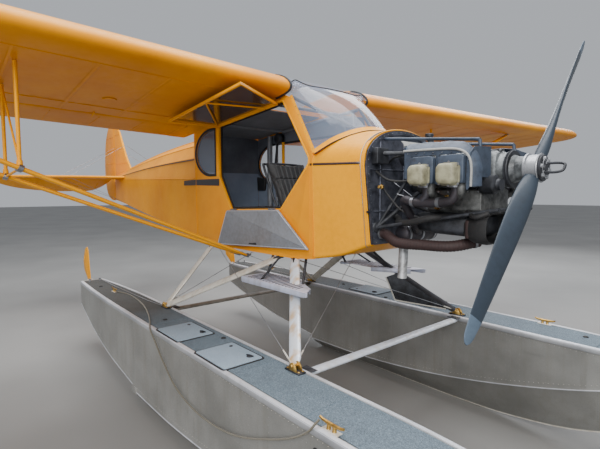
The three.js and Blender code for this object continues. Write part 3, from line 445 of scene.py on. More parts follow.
class Nodes:
    """A material's node tree, with short calls for the nodes the finishes use."""

    def __init__(self, name: str) -> None:
        """Makes the material with an empty tree, its shader and its output.

        Args:
            name: the material's name.
        """
        self.material = bpy.data.materials.new(name)
        self.material.use_nodes = True
        self.tree = self.material.node_tree
        self.tree.nodes.clear()
        self.output = self.tree.nodes.new("ShaderNodeOutputMaterial")
        self.shader = self.tree.nodes.new("ShaderNodeBsdfPrincipled")
        self.tree.links.new(self.shader.outputs[0], self.output.inputs[0])

    def node(self, kind: str, **values: object) -> bpy.types.Node:
        """Adds a node and sets its own properties.

        Args:
            kind: the node's type name.
            values: the properties' values by their names.

        Returns:
            The new node.
        """
        made = self.tree.nodes.new(kind)
        for key, value in values.items():
            setattr(made, key, value)
        return made

    def link(self, source: bpy.types.NodeSocket, target: bpy.types.NodeSocket) -> None:
        """Links two sockets."""
        self.tree.links.new(source, target)

    def place(
        self, stretch: Point = (1, 1, 1), turn: Point = (0, 0, 0), uv: bool = False
    ) -> bpy.types.NodeSocket:
        """Object coordinates, or the piece's UV map, stretched and turned.

        Args:
            stretch: the scale along each axis.
            turn: the turn about each axis.
            uv: whether the UV map is used.

        Returns:
            The coordinates' socket.
        """
        source = self.node("ShaderNodeTexCoord").outputs["UV" if uv else "Object"]
        mapping = self.node("ShaderNodeMapping")
        mapping.inputs["Scale"].default_value = stretch
        mapping.inputs["Rotation"].default_value = turn
        self.link(source, mapping.inputs["Vector"])
        return mapping.outputs[0]

    def noise(
        self, where: bpy.types.NodeSocket, scale: float, detail: float = 3.0, rough: float = 0.55
    ) -> bpy.types.NodeSocket:
        """A noise texture's value.

        Args:
            where: the coordinates.
            scale: the texture's scale.
            detail: its detail.
            rough: its roughness.

        Returns:
            The value's socket.
        """
        made = self.node("ShaderNodeTexNoise")
        made.inputs["Scale"].default_value = scale
        made.inputs["Detail"].default_value = detail
        made.inputs["Roughness"].default_value = rough
        self.link(where, made.inputs["Vector"])
        return made.outputs["Fac"]

    def waves(
        self, where: bpy.types.NodeSocket, scale: float, along: str, bend: float = 0.0
    ) -> bpy.types.NodeSocket:
        """A band wave's value along an axis.

        Args:
            where: the coordinates.
            scale: the texture's scale.
            along: the axis, X, Y or Z.
            bend: how far the bands are bent.

        Returns:
            The value's socket.
        """
        made = self.node("ShaderNodeTexWave", bands_direction=along)
        made.inputs["Scale"].default_value = scale
        made.inputs["Distortion"].default_value = bend
        self.link(where, made.inputs["Vector"])
        return made.outputs["Fac"]

    def ramp(
        self, value: bpy.types.NodeSocket, stops: Sequence[tuple[float, Colour]]
    ) -> bpy.types.NodeSocket:
        """A colour ramp over a value.

        Args:
            value: the value.
            stops: pairs of a place from 0 to 1 and a colour.

        Returns:
            The colour's socket.
        """
        made = self.node("ShaderNodeValToRGB")
        points = made.color_ramp.elements
        while len(points) < len(stops):
            points.new(0.5)
        for point, (place, colour) in zip(points, sorted(stops)):
            point.position = place
            point.color = (*colour, 1)
        self.link(value, made.inputs[0])
        return made.outputs[0]

    def span(
        self, value: bpy.types.NodeSocket, low: float, high: float, start: float = 0.0, stop: float = 1.0
    ) -> bpy.types.NodeSocket:
        """Carries a value's range from start..stop to low..high.

        Args:
            value: the value.
            low: what start becomes.
            high: what stop becomes.
            start: the range's start.
            stop: the range's end.

        Returns:
            The new value's socket.
        """
        made = self.node("ShaderNodeMapRange")
        for name, number in (("From Min", start), ("From Max", stop), ("To Min", low), ("To Max", high)):
            made.inputs[name].default_value = number
        self.link(value, made.inputs["Value"])
        return made.outputs[0]

    def blend(
        self, share: bpy.types.NodeSocket, a: bpy.types.NodeSocket | Colour, b: bpy.types.NodeSocket | Colour
    ) -> bpy.types.NodeSocket:
        """Mixes two colours by a share.

        Args:
            share: how much of the second colour there is.
            a: the first colour.
            b: the second colour.

        Returns:
            The colour's socket.
        """
        made = self.node("ShaderNodeMix", data_type="RGBA")
        self.link(share, made.inputs["Factor"])
        for socket, value in ((made.inputs["A"], a), (made.inputs["B"], b)):
            for each in made.inputs:
                if each.type == "RGBA" and each.name == socket.name:
                    if isinstance(value, tuple):
                        each.default_value = (*value, 1)
                    else:
                        self.link(value, each)
        return next(o for o in made.outputs if o.type == "RGBA")

    def maths(
        self, kind: str, a: bpy.types.NodeSocket, b: bpy.types.NodeSocket | float
    ) -> bpy.types.NodeSocket:
        """A two-value sum, product or the like.

        Args:
            kind: the operation's name.
            a: the first value.
            b: the second value.

        Returns:
            The result's socket.
        """
        made = self.node("ShaderNodeMath", operation=kind)
        self.link(a, made.inputs[0])
        if isinstance(b, (int, float)):
            made.inputs[1].default_value = b
        else:
            self.link(b, made.inputs[1])
        return made.outputs[0]

    def bump(self, *layers: tuple[bpy.types.NodeSocket, float, float]) -> None:
        """Adds relief from layers of a height, a strength and a depth in metres.

        Args:
            layers: each layer's height socket, strength and depth.
        """
        normal = None
        for height, strength, depth in layers:
            made = self.node("ShaderNodeBump")
            made.inputs["Strength"].default_value = strength
            made.inputs["Distance"].default_value = depth
            self.link(height, made.inputs["Height"])
            if normal is not None:
                self.link(normal, made.inputs["Normal"])
            normal = made.outputs[0]
        self.link(normal, self.shader.inputs["Normal"])

    def done(
        self, colour: bpy.types.NodeSocket | Colour, rough: bpy.types.NodeSocket | float, metal: float = 0.0,
        coat: float = 0.0, sheen: float = 0.0, alpha: float = 1.0
    ) -> bpy.types.Material:
        """Sets the shader's main sockets and gives the material back.

        Args:
            colour: the base colour.
            rough: the roughness.
            metal: how metallic it is.
            coat: the clear coat's weight.
            sheen: the sheen's weight.
            alpha: the opacity.

        Returns:
            The finished material.
        """
        inputs = self.shader.inputs
        if isinstance(colour, tuple):
            inputs["Base Color"].default_value = (*colour, 1)
        else:
            self.link(colour, inputs["Base Color"])
        if isinstance(rough, float):
            inputs["Roughness"].default_value = rough
        else:
            self.link(rough, inputs["Roughness"])
        inputs["Metallic"].default_value = metal
        inputs["Coat Weight"].default_value = coat
        inputs["Coat Roughness"].default_value = 0.12
        inputs["Sheen Weight"].default_value = sheen
        inputs["Alpha"].default_value = alpha
        return self.material


@dataclass(frozen=True)
class Finish:
    """A named finish with the record's slot that it stands for."""

    name: str
    slot: str

    def build(self) -> bpy.types.Material:
        """Makes the finish's material."""
        raise NotImplementedError

    def material(self) -> bpy.types.Material:
        """The finish's material, made on first use."""
        return bpy.data.materials.get(self.name) or self.build()


@dataclass(frozen=True)
class DopedFabric(Finish):
    """Fabric shrunk over ribs and painted: broad cloudiness, a fine weave and a soft gloss."""

    colour: Colour
    deep: Colour
    rough: float = 0.3

    def build(self) -> bpy.types.Material:
        """Makes the fabric's material.

        Returns:
            The new material.
        """
        n = Nodes(self.name)
        where = n.place()
        broad = n.noise(where, 1.3, 4, 0.6)
        fine = n.noise(where, 22, 3, 0.6)
        tint = n.ramp(broad, [(0.3, self.deep), (0.68, self.colour)])
        worn = n.blend(n.span(fine, 0.0, 0.12, 0.45, 0.75), tint, self.deep)
        weave = n.maths("ADD", n.waves(where, 260, "X"), n.waves(where, 260, "Z"))
        n.bump((n.noise(where, 5.5, 2, 0.5), 0.35, 0.006), (weave, 0.05, 0.0004))
        n.shader.inputs["Specular Tint"].default_value = (1.0, 0.78, 0.3, 1)
        n.shader.inputs["Specular IOR Level"].default_value = 0.3
        return n.done(worn, n.span(fine, self.rough, self.rough + 0.14), coat=0.02)


@dataclass(frozen=True)
class PaintedMetal(Finish):
    """Sprayed sheet metal with a faint orange peel and light grime."""

    colour: Colour
    grime: Colour
    rough: float = 0.3
    dirt: float = 0.25
    coat: float = 0.3
    metal: float = 0.0
    gloss: Colour = (1.0, 1.0, 1.0)

    def build(self) -> bpy.types.Material:
        """Makes the paint's material.

        Returns:
            The new material.
        """
        n = Nodes(self.name)
        where = n.place()
        broad = n.noise(where, 2.6, 5, 0.62)
        fine = n.noise(where, 30, 4, 0.65)
        both = n.maths("MULTIPLY", broad, fine)
        tint = n.blend(n.span(both, 0.0, self.dirt * 2.2, 0.2, 0.42), self.colour, self.grime)
        n.bump((n.noise(where, 150, 2, 0.5), 0.06, 0.0006), (broad, 0.12, 0.003))
        n.shader.inputs["Specular Tint"].default_value = (*self.gloss, 1)
        n.shader.inputs["Specular IOR Level"].default_value = 0.5 if self.gloss[2] > 0.9 else 0.3
        return n.done(tint, n.span(fine, self.rough, self.rough + 0.2), self.metal, self.coat)


@dataclass(frozen=True)
class WornAluminium(Finish):
    """Bare or silvered sheet: dull patches, streaks running down, specks and fine scratches."""

    light: Colour
    dark: Colour
    stain: Colour
    rough: float = 0.36
    metal: float = 0.7
    streaks: float = 0.5

    def build(self) -> bpy.types.Material:
        """Makes the sheet's material.

        Returns:
            The new material.
        """
        n = Nodes(self.name)
        where = n.place()
        down = n.place((9, 9, 0.9))
        broad = n.noise(where, 1.9, 5, 0.6)
        streak = n.noise(down, 2.2, 4, 0.6)
        speck = n.noise(where, 160, 2, 0.7)
        tint = n.ramp(broad, [(0.32, self.dark), (0.62, self.light)])
        tint = n.blend(n.span(streak, 0.0, self.streaks, 0.5, 0.74), tint, self.stain)
        tint = n.blend(n.span(speck, 0.0, 0.35, 0.56, 0.72), tint, self.dark)
        scratch = n.noise(n.place((2, 2, 120)), 3.0, 2, 0.5)
        n.bump((scratch, 0.05, 0.0005), (n.noise(where, 3.2, 2, 0.5), 0.3, 0.004))
        return n.done(
            tint, n.span(n.maths("ADD", broad, speck), self.rough, self.rough + 0.3, 0.7, 1.3), self.metal)


@dataclass(frozen=True)
class DeckGrit(Finish):
    """Painted deck with non-skid grit and pale and dark specks."""

    base: Colour
    pale: Colour
    dark: Colour
    aft: Colour

    def build(self) -> bpy.types.Material:
        """Makes the deck's material, darker towards the stern.

        Returns:
            The new material.
        """
        n = Nodes(self.name)
        where = n.place()
        grit = n.noise(where, 330, 3, 0.75)
        patch = n.noise(where, 5, 5, 0.65)
        tint = n.ramp(n.noise(where, 200, 4, 0.8), [(0.34, self.dark), (0.5, self.base), (0.66, self.pale)])
        tint = n.blend(n.span(patch, 0.0, 0.35, 0.5, 0.75), tint, self.dark)
        split = n.node("ShaderNodeSeparateXYZ")
        n.link(where, split.inputs[0])
        tint = n.blend(n.span(split.outputs[0], 0.88, 0.0, 0.42, 0.86), tint, self.aft)
        n.bump((grit, 0.5, 0.0016))
        return n.done(tint, n.span(patch, 0.62, 0.85))


@dataclass(frozen=True)
class StainedSilver(Finish):
    """Silver painted strut with yellow and brown runs down it."""

    colour: Colour
    stain: Colour
    amount: float = 0.5

    def build(self) -> bpy.types.Material:
        """Makes the strut's material.

        Returns:
            The new material.
        """
        n = Nodes(self.name)
        run = n.noise(n.place((16, 16, 1.3)), 1.4, 2, 0.4)
        fine = n.noise(n.place(), 40, 3, 0.6)
        tint = n.blend(n.span(run, 0.0, self.amount, 0.44, 0.72), self.colour, self.stain)
        tint = n.blend(n.span(fine, 0.0, 0.16, 0.5, 0.8), tint, tuple(0.55 * c for c in self.colour))
        n.bump((fine, 0.08, 0.0008))
        return n.done(tint, n.span(fine, 0.3, 0.5), metal=0.25, coat=0.05)


@dataclass(frozen=True)
class GrimyCasting(Finish):
    """Cast or enamelled engine metal under oil and dust."""

    light: Colour
    dark: Colour
    rough: float = 0.5
    metal: float = 0.5
    grain: float = 60.0

    def build(self) -> bpy.types.Material:
        """Makes the casting's material.

        Returns:
            The new material.
        """
        n = Nodes(self.name)
        where = n.place()
        broad = n.noise(where, 14, 5, 0.65)
        fine = n.noise(where, self.grain * 3, 3, 0.7)
        tint = n.ramp(broad, [(0.36, self.dark), (0.6, self.light)])
        tint = n.blend(n.span(fine, 0.0, 0.3, 0.5, 0.8), tint, self.dark)
        n.bump((fine, 0.25, 0.0012), (broad, 0.2, 0.002))
        return n.done(tint, n.span(broad, self.rough - 0.12, self.rough + 0.2), self.metal)


@dataclass(frozen=True)
class HeatStained(Finish):
    """Steel tube browned and greyed by heat, with rings of straw and blue."""

    def build(self) -> bpy.types.Material:
        """Makes the exhaust's material.

        Returns:
            The new material.
        """
        n = Nodes(self.name)
        where = n.place()
        broad = n.noise(where, 9, 4, 0.6)
        fine = n.noise(where, 120, 4, 0.7)
        tint = n.ramp(
            broad,
            [
                (0.3, srgb(38, 36, 40)), (0.48, srgb(62, 58, 62)), (0.6, srgb(54, 53, 60)),
                (0.75, srgb(82, 76, 74))])
        tint = n.blend(n.span(fine, 0.0, 0.4, 0.5, 0.8), tint, srgb(48, 39, 35))
        n.bump((fine, 0.15, 0.0008))
        return n.done(tint, n.span(fine, 0.4, 0.68), metal=0.55)


@dataclass(frozen=True)
class ClearSheet(Finish):
    """Clear plastic sheet with a slight tint and fine wipe marks; on the clear panes the bluish-grey tint is
    partly painted reflection.
    """

    tint: Colour
    alpha: float = 0.22

    def build(self) -> bpy.types.Material:
        """Makes the sheet's material.

        Returns:
            The new material.
        """
        n = Nodes(self.name)
        wipe = n.noise(n.place((3, 3, 40)), 4, 3, 0.6)
        made = n.done(self.tint, n.span(wipe, 0.03, 0.16), coat=1.0, alpha=self.alpha)
        n.shader.inputs["Specular IOR Level"].default_value = 0.7
        return made


@dataclass(frozen=True)
class Cloth(Finish):
    """Woven or vinyl cloth: thread relief, soft sheen and uneven fading."""

    colour: Colour
    faded: Colour
    thread: float = 420.0
    rough: float = 0.75
    sheen: float = 0.3

    def build(self) -> bpy.types.Material:
        """Makes the cloth's material.

        Returns:
            The new material.
        """
        n = Nodes(self.name)
        where = n.place()
        fade = n.noise(where, 6, 4, 0.6)
        weave = n.maths(
            "MULTIPLY", n.waves(where, self.thread, "Y", 0.6), n.waves(where, self.thread, "Z", 0.6))
        tint = n.ramp(fade, [(0.35, self.colour), (0.7, self.faded)])
        n.bump((weave, 0.25, 0.0007), (n.noise(where, 30, 3, 0.6), 0.25, 0.002))
        return n.done(tint, n.span(fade, self.rough - 0.1, self.rough + 0.1), sheen=self.sheen)


@dataclass(frozen=True)
class Braid(Finish):
    """Braided rope read along the piece's own map."""

    light: Colour
    dark: Colour

    def build(self) -> bpy.types.Material:
        """Makes the rope's material.

        Returns:
            The new material.
        """
        n = Nodes(self.name)
        one = n.waves(n.place((1, 1, 1), (0, 0, 0.7), uv=True), 3.0, "X")
        two = n.waves(n.place((1, 1, 1), (0, 0, -0.7), uv=True), 3.0, "X")
        lay = n.maths("MAXIMUM", one, two)
        fuzz = n.noise(n.place(), 300, 2, 0.7)
        tint = n.ramp(n.maths("MULTIPLY", lay, fuzz), [(0.15, self.dark), (0.55, self.light)])
        n.bump((lay, 0.6, 0.001))
        return n.done(tint, 0.85, sheen=0.2)


@dataclass(frozen=True)
class PlainRubber(Finish):
    """Rubber or soft plastic with dust and fine grain."""

    colour: Colour
    dust: Colour
    rough: float = 0.65

    def build(self) -> bpy.types.Material:
        """Makes the rubber's material.

        Returns:
            The new material.
        """
        n = Nodes(self.name)
        where = n.place()
        fine = n.noise(where, 90, 4, 0.7)
        tint = n.blend(n.span(fine, 0.0, 0.55, 0.42, 0.75), self.colour, self.dust)
        n.bump((fine, 0.15, 0.0008))
        return n.done(tint, n.span(fine, self.rough - 0.08, self.rough + 0.15))


@dataclass(frozen=True)
class StudioFloor(Finish):
    """Pale plain floor."""

    def build(self) -> bpy.types.Material:
        """Makes the floor's material.

        Returns:
            The material.
        """
        n = Nodes(self.name)
        cloud = n.noise(n.place(), 0.6, 3, 0.5)
        return n.done(n.ramp(cloud, [(0.3, (0.2, 0.197, 0.191)), (0.7, (0.25, 0.246, 0.238))]), 0.6)


YELLOW_FABRIC = DopedFabric("doped_yellow", "yellow_fabric", srgb(234, 155, 0), srgb(210, 127, 0), 0.36)
YELLOW_METAL = PaintedMetal(
    "painted_yellow", "yellow_metal", srgb(237, 160, 0), srgb(188, 112, 2), 0.32, 0.1, 0.06, 0.0,
    (1.0, 0.78, 0.3))
FLOAT_METAL = WornAluminium(
    "float_sheet", "float_metal", srgb(154, 154, 151), srgb(130, 130, 127), srgb(120, 114, 100), metal=0.52,
    streaks=0.26)
RUB_METAL = WornAluminium(
    "rub_metal", "float_metal", srgb(212, 215, 222), srgb(180, 183, 190), srgb(140, 140, 142), 0.34, 0.45,
    0.25)
EDGE_METAL = WornAluminium(
    "edge_metal", "float_metal", srgb(178, 180, 184), srgb(140, 142, 146), srgb(120, 120, 118), 0.4, 0.5, 0.25
)
STEP_SHEET = StainedSilver("step_sheet", "strut_metal", srgb(188, 193, 212), srgb(146, 140, 136), 0.4)
BRIGHT_BAR = StainedSilver("bright_bar", "strut_metal", srgb(206, 212, 222), srgb(172, 156, 122), 0.35)
SHADED_BAR = StainedSilver("shaded_bar", "strut_metal", srgb(124, 119, 112), srgb(92, 82, 68), 0.5)
DECK = DeckGrit(
    "deck_grit", "float_metal", srgb(82, 97, 108), srgb(120, 136, 149), srgb(50, 59, 67), srgb(52, 50, 45))
LID = DeckGrit(
    "lid_grit", "float_metal", srgb(128, 145, 160), srgb(152, 169, 184), srgb(94, 108, 121),
    srgb(114, 128, 140))
STRUT_SILVER = StainedSilver("strut_silver", "strut_metal", srgb(200, 196, 186), srgb(150, 132, 104), 0.45)
STAINED_STRUT = StainedSilver("stained_strut", "strut_metal", srgb(214, 220, 228), srgb(196, 150, 70), 0.8)
# Silver strut paint darkened all over, with darker runs: painted shade for the left front float strut.
SHADED_STRUT = StainedSilver("dark_strut", "strut_metal", srgb(74, 74, 78), srgb(48, 44, 42), 0.5)
BLADE = PaintedMetal("blade_paint", "blade_metal", srgb(41, 52, 64), srgb(29, 37, 46), 0.4, 0.3, 0.1, 0.1)
BLADE_TIP = PaintedMetal("blade_tip", "blade_metal", srgb(84, 100, 117), srgb(61, 74, 88), 0.4, 0.3, 0.1, 0.1)
BARE_STEEL = WornAluminium(
    "bare_steel", "dark_steel", srgb(176, 178, 182), srgb(108, 110, 116), srgb(90, 84, 78), 0.28, 0.85, 0.2)
# Dark steel for tubes and fittings; on the plate under the left front strut it is painted shade.
DARK_STEEL_AND_SHADE = GrimyCasting("dark_tube_steel", "dark_steel", srgb(58, 60, 66), srgb(26, 27, 30), 0.5, 0.3)
FIREWALL_FINISH = GrimyCasting(
    "firewall_sheet", "dark_steel", srgb(96, 99, 111), srgb(54, 56, 64), 0.42, 0.6, 20)
CAST = GrimyCasting("cast_case", "cast_alloy", srgb(112, 113, 112), srgb(48, 48, 47), 0.5, 0.5)
CYLINDER_DARK = GrimyCasting("cylinder_dark", "cover_grey", srgb(60, 59, 58), srgb(26, 25, 25), 0.55, 0.4)
COVER = GrimyCasting("rocker_paint", "cover_grey", srgb(155, 152, 127), srgb(110, 105, 84), 0.5, 0.05, 40)
BAFFLE = PaintedMetal("baffle_paint", "baffle_blue", srgb(64, 75, 91), srgb(34, 39, 48), 0.42, 0.4, 0.05, 0.2)
SEAL = PlainRubber("seal_rubber", "hose_red", srgb(158, 158, 155), srgb(116, 113, 106))
EXHAUST_FINISH = HeatStained("heat_stained_steel", "exhaust_steel")
# The bluish-grey tint of the clear panes is partly painted reflection of the surroundings.
CLEAR = ClearSheet("clear_sheet", "window_clear", srgb(146, 160, 184), 0.2)
TINTED = ClearSheet("door_pane_clear", "window_clear", srgb(96, 74, 58), 0.62)
LINER = Cloth("dark_liner", "liner_dark", srgb(78, 82, 92), srgb(97, 102, 112), 300, 0.8, 0.15)
LINER_GREY = Cloth("grey_liner", "liner_dark", srgb(116, 129, 150), srgb(132, 144, 164), 300, 0.7, 0.2)
DOOR_GREY = PaintedMetal(
    "door_grey", "door_inner_grey", srgb(126, 130, 137), srgb(100, 99, 98), 0.4, 0.25, 0.1, 0.2)
SEAT_BLACK = Cloth("seat_cloth", "seat_cover", srgb(15, 15, 17), srgb(30, 31, 34), 500, 0.6, 0.08)
ROPE = Braid("rope_braid", "rope", srgb(112, 106, 90), srgb(58, 54, 46))
HOSE_RED = PlainRubber("red_duct", "hose_red", srgb(47, 28, 27), srgb(27, 25, 25))
BLACK_RUBBER = PlainRubber("black_rubber", "hose_red", srgb(26, 26, 28), srgb(52, 50, 48))
BRASS = GrimyCasting("brass_fitting", "strut_metal", srgb(206, 168, 92), srgb(120, 86, 36), 0.34, 0.9, 30)
CAST_PALE = GrimyCasting("cast_pale", "cast_alloy", srgb(126, 130, 132), srgb(60, 62, 64), 0.45, 0.45, 30)
TAILPIPE = GrimyCasting(
    "tailpipe_steel", "exhaust_steel", srgb(176, 178, 180), srgb(98, 94, 90), 0.42, 0.55, 20)
LEAD = PlainRubber("spark_lead", "hose_red", srgb(48, 48, 52), srgb(88, 84, 80), 0.5)
# Dark brown paint: the cowl's stripe, and also the painted shade line under the rear fuselage's side
# stringers.
STRIPE_AND_STRINGER_SHADE = PaintedMetal("stripe_brown", "yellow_fabric", srgb(62, 44, 40), srgb(40, 30, 28), 0.34, 0.2, 0.3)
BAND_DARK = PaintedMetal("band_dark", "yellow_fabric", srgb(30, 25, 26), srgb(58, 36, 28), 0.34, 0.3, 0.2)
PLANE_FLOOR = StudioFloor("studio_floor", "float_metal")


def dress(
    obj: bpy.types.Object, finish: Finish, body: str = "airframe", replaces: Sequence[str] = ()
) -> bpy.types.Object:
    """Gives a piece its finish, its body and the nodes that it stands for.

    Args:
        obj: the piece.
        finish: its finish.
        body: the body that it moves with.
        replaces: the nodes that it stands for.

    Returns:
        The piece.
    """
    obj.data.materials.clear()
    obj.data.materials.append(finish.material())
    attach(obj, body)
    if replaces:
        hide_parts(*replaces)
    LOG.info("%s: %d faces", obj.name, len(obj.data.polygons))
    return obj


def dress_node(frame: dict, finish: Finish, *names: str) -> None:
    """Gives CAD nodes that stay in view a finish.

    Args:
        finish: the finish.
        names: the nodes' names.
    """
    for name in names:
        obj = frame["nodes"][name]
        obj.data.materials.clear()
        obj.data.materials.append(finish.material())


# ---- studio -------------------------------------------------------------


@dataclass
class Studio:
    """Floor, soft lights, pale surroundings and the camera."""

    eye: Point = (3.821, -2.188, 1.627)
    sensor_mm: float = 36.0
    azimuth: float = 49.662
    pitch: float = -4.172
    roll: float = -0.155
    focal_px: float = 430.2
    width_px: float = 600.0
    sky: Colour = (0.86, 0.9, 0.96)
    sky_strength: float = 0.55
    # name, place, target, side, watts, colour
    lamps: tuple[tuple[str, Point, Point, float, float, Colour], ...] = (
        ("key", (8.5, -7.0, 6.5), (1.2, 0.0, 1.4), 5.0, 1080, (1.0, 0.98, 0.94)),
        ("fill", (6.0, -11.0, 2.6), (0.6, 0.0, 1.2), 6.0, 460, (0.94, 0.97, 1.0)),
        ("far", (-2.0, 9.0, 6.0), (0.5, 0.5, 1.5), 6.0, 700, (0.92, 0.96, 1.0)),
        ("roof", (0.5, 0.0, 9.0), (0.5, 0.0, 0.0), 8.0, 1350, (1.0, 1.0, 1.0)))

    def camera(self) -> None:
        """Sets the camera at the photograph's place and angle."""
        a, e, r = (math.radians(v) for v in (self.azimuth, self.pitch, self.roll))
        look = Vector((-math.sin(a) * math.cos(e), math.cos(a) * math.cos(e), math.sin(e)))
        level = Vector((math.cos(a), math.sin(a), 0))
        up = level.cross(look)
        right = math.cos(r) * level + math.sin(r) * up
        top = -math.sin(r) * level + math.cos(r) * up
        data = bpy.data.cameras.new("camera")
        data.sensor_width = self.sensor_mm
        data.lens = self.focal_px * self.sensor_mm / self.width_px
        data.clip_end = 200
        obj = bpy.data.objects.new("camera", data)
        turn = Matrix((right, top, -look)).transposed().to_4x4()
        obj.matrix_world = Matrix.Translation(Vector(self.eye)) @ turn
        bpy.context.scene.collection.objects.link(obj)
        bpy.context.scene.camera = obj

    def light(
        self, name: str, place: Point, target: Point, size: float, power: float, colour: Colour
    ) -> None:
        """Adds one soft square light aimed at a point.

        Args:
            name: the lamp's name.
            place: where it hangs.
            target: the point that it faces.
            size: the length of its side.
            power: its power in watts.
            colour: its colour.
        """
        data = bpy.data.lights.new(name, "AREA")
        data.shape = "SQUARE"
        data.size = size
        data.energy = power
        data.color = colour
        obj = bpy.data.objects.new(name, data)
        aim = Vector(target) - Vector(place)
        obj.rotation_euler = aim.to_track_quat("-Z", "Y").to_euler()
        obj.location = place
        bpy.context.scene.collection.objects.link(obj)

    def build(self) -> None:
        """Makes the floor, the lights, the surroundings and the camera."""
        floor = Shape().add([(-60, -60, 0), (60, -60, 0), (60, 60, 0), (-60, 60, 0)], [(0, 1, 2, 3)])
        obj = floor.object("studio_floor", Edge.FLAT)
        obj.data.materials.append(PLANE_FLOOR.material())
        obj.data.transform(Matrix.Translation((0, 0, -0.002)))
        world = bpy.data.worlds.new("studio")
        bpy.context.scene.world = world
        world.use_nodes = True
        sky = world.node_tree.nodes["Background"].inputs
        sky[0].default_value = (*self.sky, 1)
        sky[1].default_value = self.sky_strength
        for lamp in self.lamps:
            self.light(*lamp)
        self.camera()


# ---- mooring line -------------------------------------------------------


@dataclass
class MooringLine:
    """The line from the stern cleat over the right deck and down round the side to the bow cleat."""

    radius: float = 0.005
    sides: int = 10
    route: tuple[Point, ...] = (
        (-1.937, -0.927, 0.712), (-1.84, -0.885, 0.706), (-1.729, -0.869, 0.706), (-1.5, -0.88, 0.706),
        (-1.262, -0.915, 0.706), (-1.0, -0.98, 0.706), (-0.793, -1.047, 0.706), (-0.7, -1.085, 0.708),
        (-0.64, -1.104, 0.694), (-0.572, -1.104, 0.643), (-0.444, -1.104, 0.543), (-0.254, -1.104, 0.43),
        (0.0, -1.104, 0.381), (0.243, -1.104, 0.388), (0.471, -1.104, 0.434), (0.714, -1.104, 0.528),
        (0.891, -1.104, 0.614), (0.99, -1.104, 0.684), (1.012, -1.09, 0.716), (1.014, -1.066, 0.73))

    def build(self) -> None:
        path = smooth_path([at(*p) for p in self.route], 140)
        shape = Shape().tube(path, self.radius, self.sides)
        obj = shape.object("mooring_line_braid", Edge.ROUND)
        steps = np.linalg.norm(np.diff(np.array(path), axis=0), axis=1)
        run = np.concatenate([[0.0], np.cumsum(steps)])
        layer = obj.data.uv_layers.new(name="UVMap")
        for poly in obj.data.polygons:
            turns = [(obj.data.loops[i].vertex_index % self.sides) / self.sides for i in poly.loop_indices]
            wraps = max(turns) - min(turns) > 0.5
            for i, turn in zip(poly.loop_indices, turns):
                ring = obj.data.loops[i].vertex_index // self.sides
                layer.data[i].uv = (
                    run[min(ring, len(run) - 1)] * 40, turn + 1 if wraps and turn < 0.5 else turn)
        dress(obj, ROPE, replaces=["mooring_line"])


# ---- shared building steps ----------------------------------------------


def repeat_tree(turned: bool) -> bpy.types.NodeTree:
    """The node tree that sets copies of a form along lines.

    Args:
        turned: whether each copy's own Z follows the line.

    Returns:
        The tree, made on first use, with inputs for spacing, size, form and finish.
    """
    name = "copies_turned" if turned else "copies_level"
    if name in bpy.data.node_groups:
        return bpy.data.node_groups[name]
    tree = bpy.data.node_groups.new(name, "GeometryNodeTree")
    face = tree.interface
    face.new_socket(name="Lines", in_out="INPUT", socket_type="NodeSocketGeometry")
    for label, kind in (("Spacing", "Float"), ("Size", "Float"), ("Form", "Object"), ("Finish", "Material")):
        face.new_socket(name=label, in_out="INPUT", socket_type=f"NodeSocket{kind}")
    face.new_socket(name="Copies", in_out="OUTPUT", socket_type="NodeSocketGeometry")
    new, link = tree.nodes.new, tree.links.new
    given, out = new("NodeGroupInput"), new("NodeGroupOutput")
    curve, points = new("GeometryNodeMeshToCurve"), new("GeometryNodeCurveToPoints")
    form, copies = new("GeometryNodeObjectInfo"), new("GeometryNodeInstanceOnPoints")
    real, coat = new("GeometryNodeRealizeInstances"), new("GeometryNodeSetMaterial")
    points.mode = "LENGTH"
    link(given.outputs["Lines"], curve.inputs["Mesh"])
    link(curve.outputs[0], points.inputs["Curve"])
    link(given.outputs["Spacing"], points.inputs["Length"])
    link(points.outputs["Points"], copies.inputs["Points"])
    link(given.outputs["Form"], form.inputs["Object"])
    link(form.outputs["Geometry"], copies.inputs["Instance"])
    if turned:
        link(points.outputs["Rotation"], copies.inputs["Rotation"])
    link(given.outputs["Size"], copies.inputs["Scale"])
    link(copies.outputs[0], real.inputs[0])
    link(real.outputs[0], coat.inputs["Geometry"])
    link(given.outputs["Finish"], coat.inputs["Material"])
    link(coat.outputs[0], out.inputs[0])
    return tree


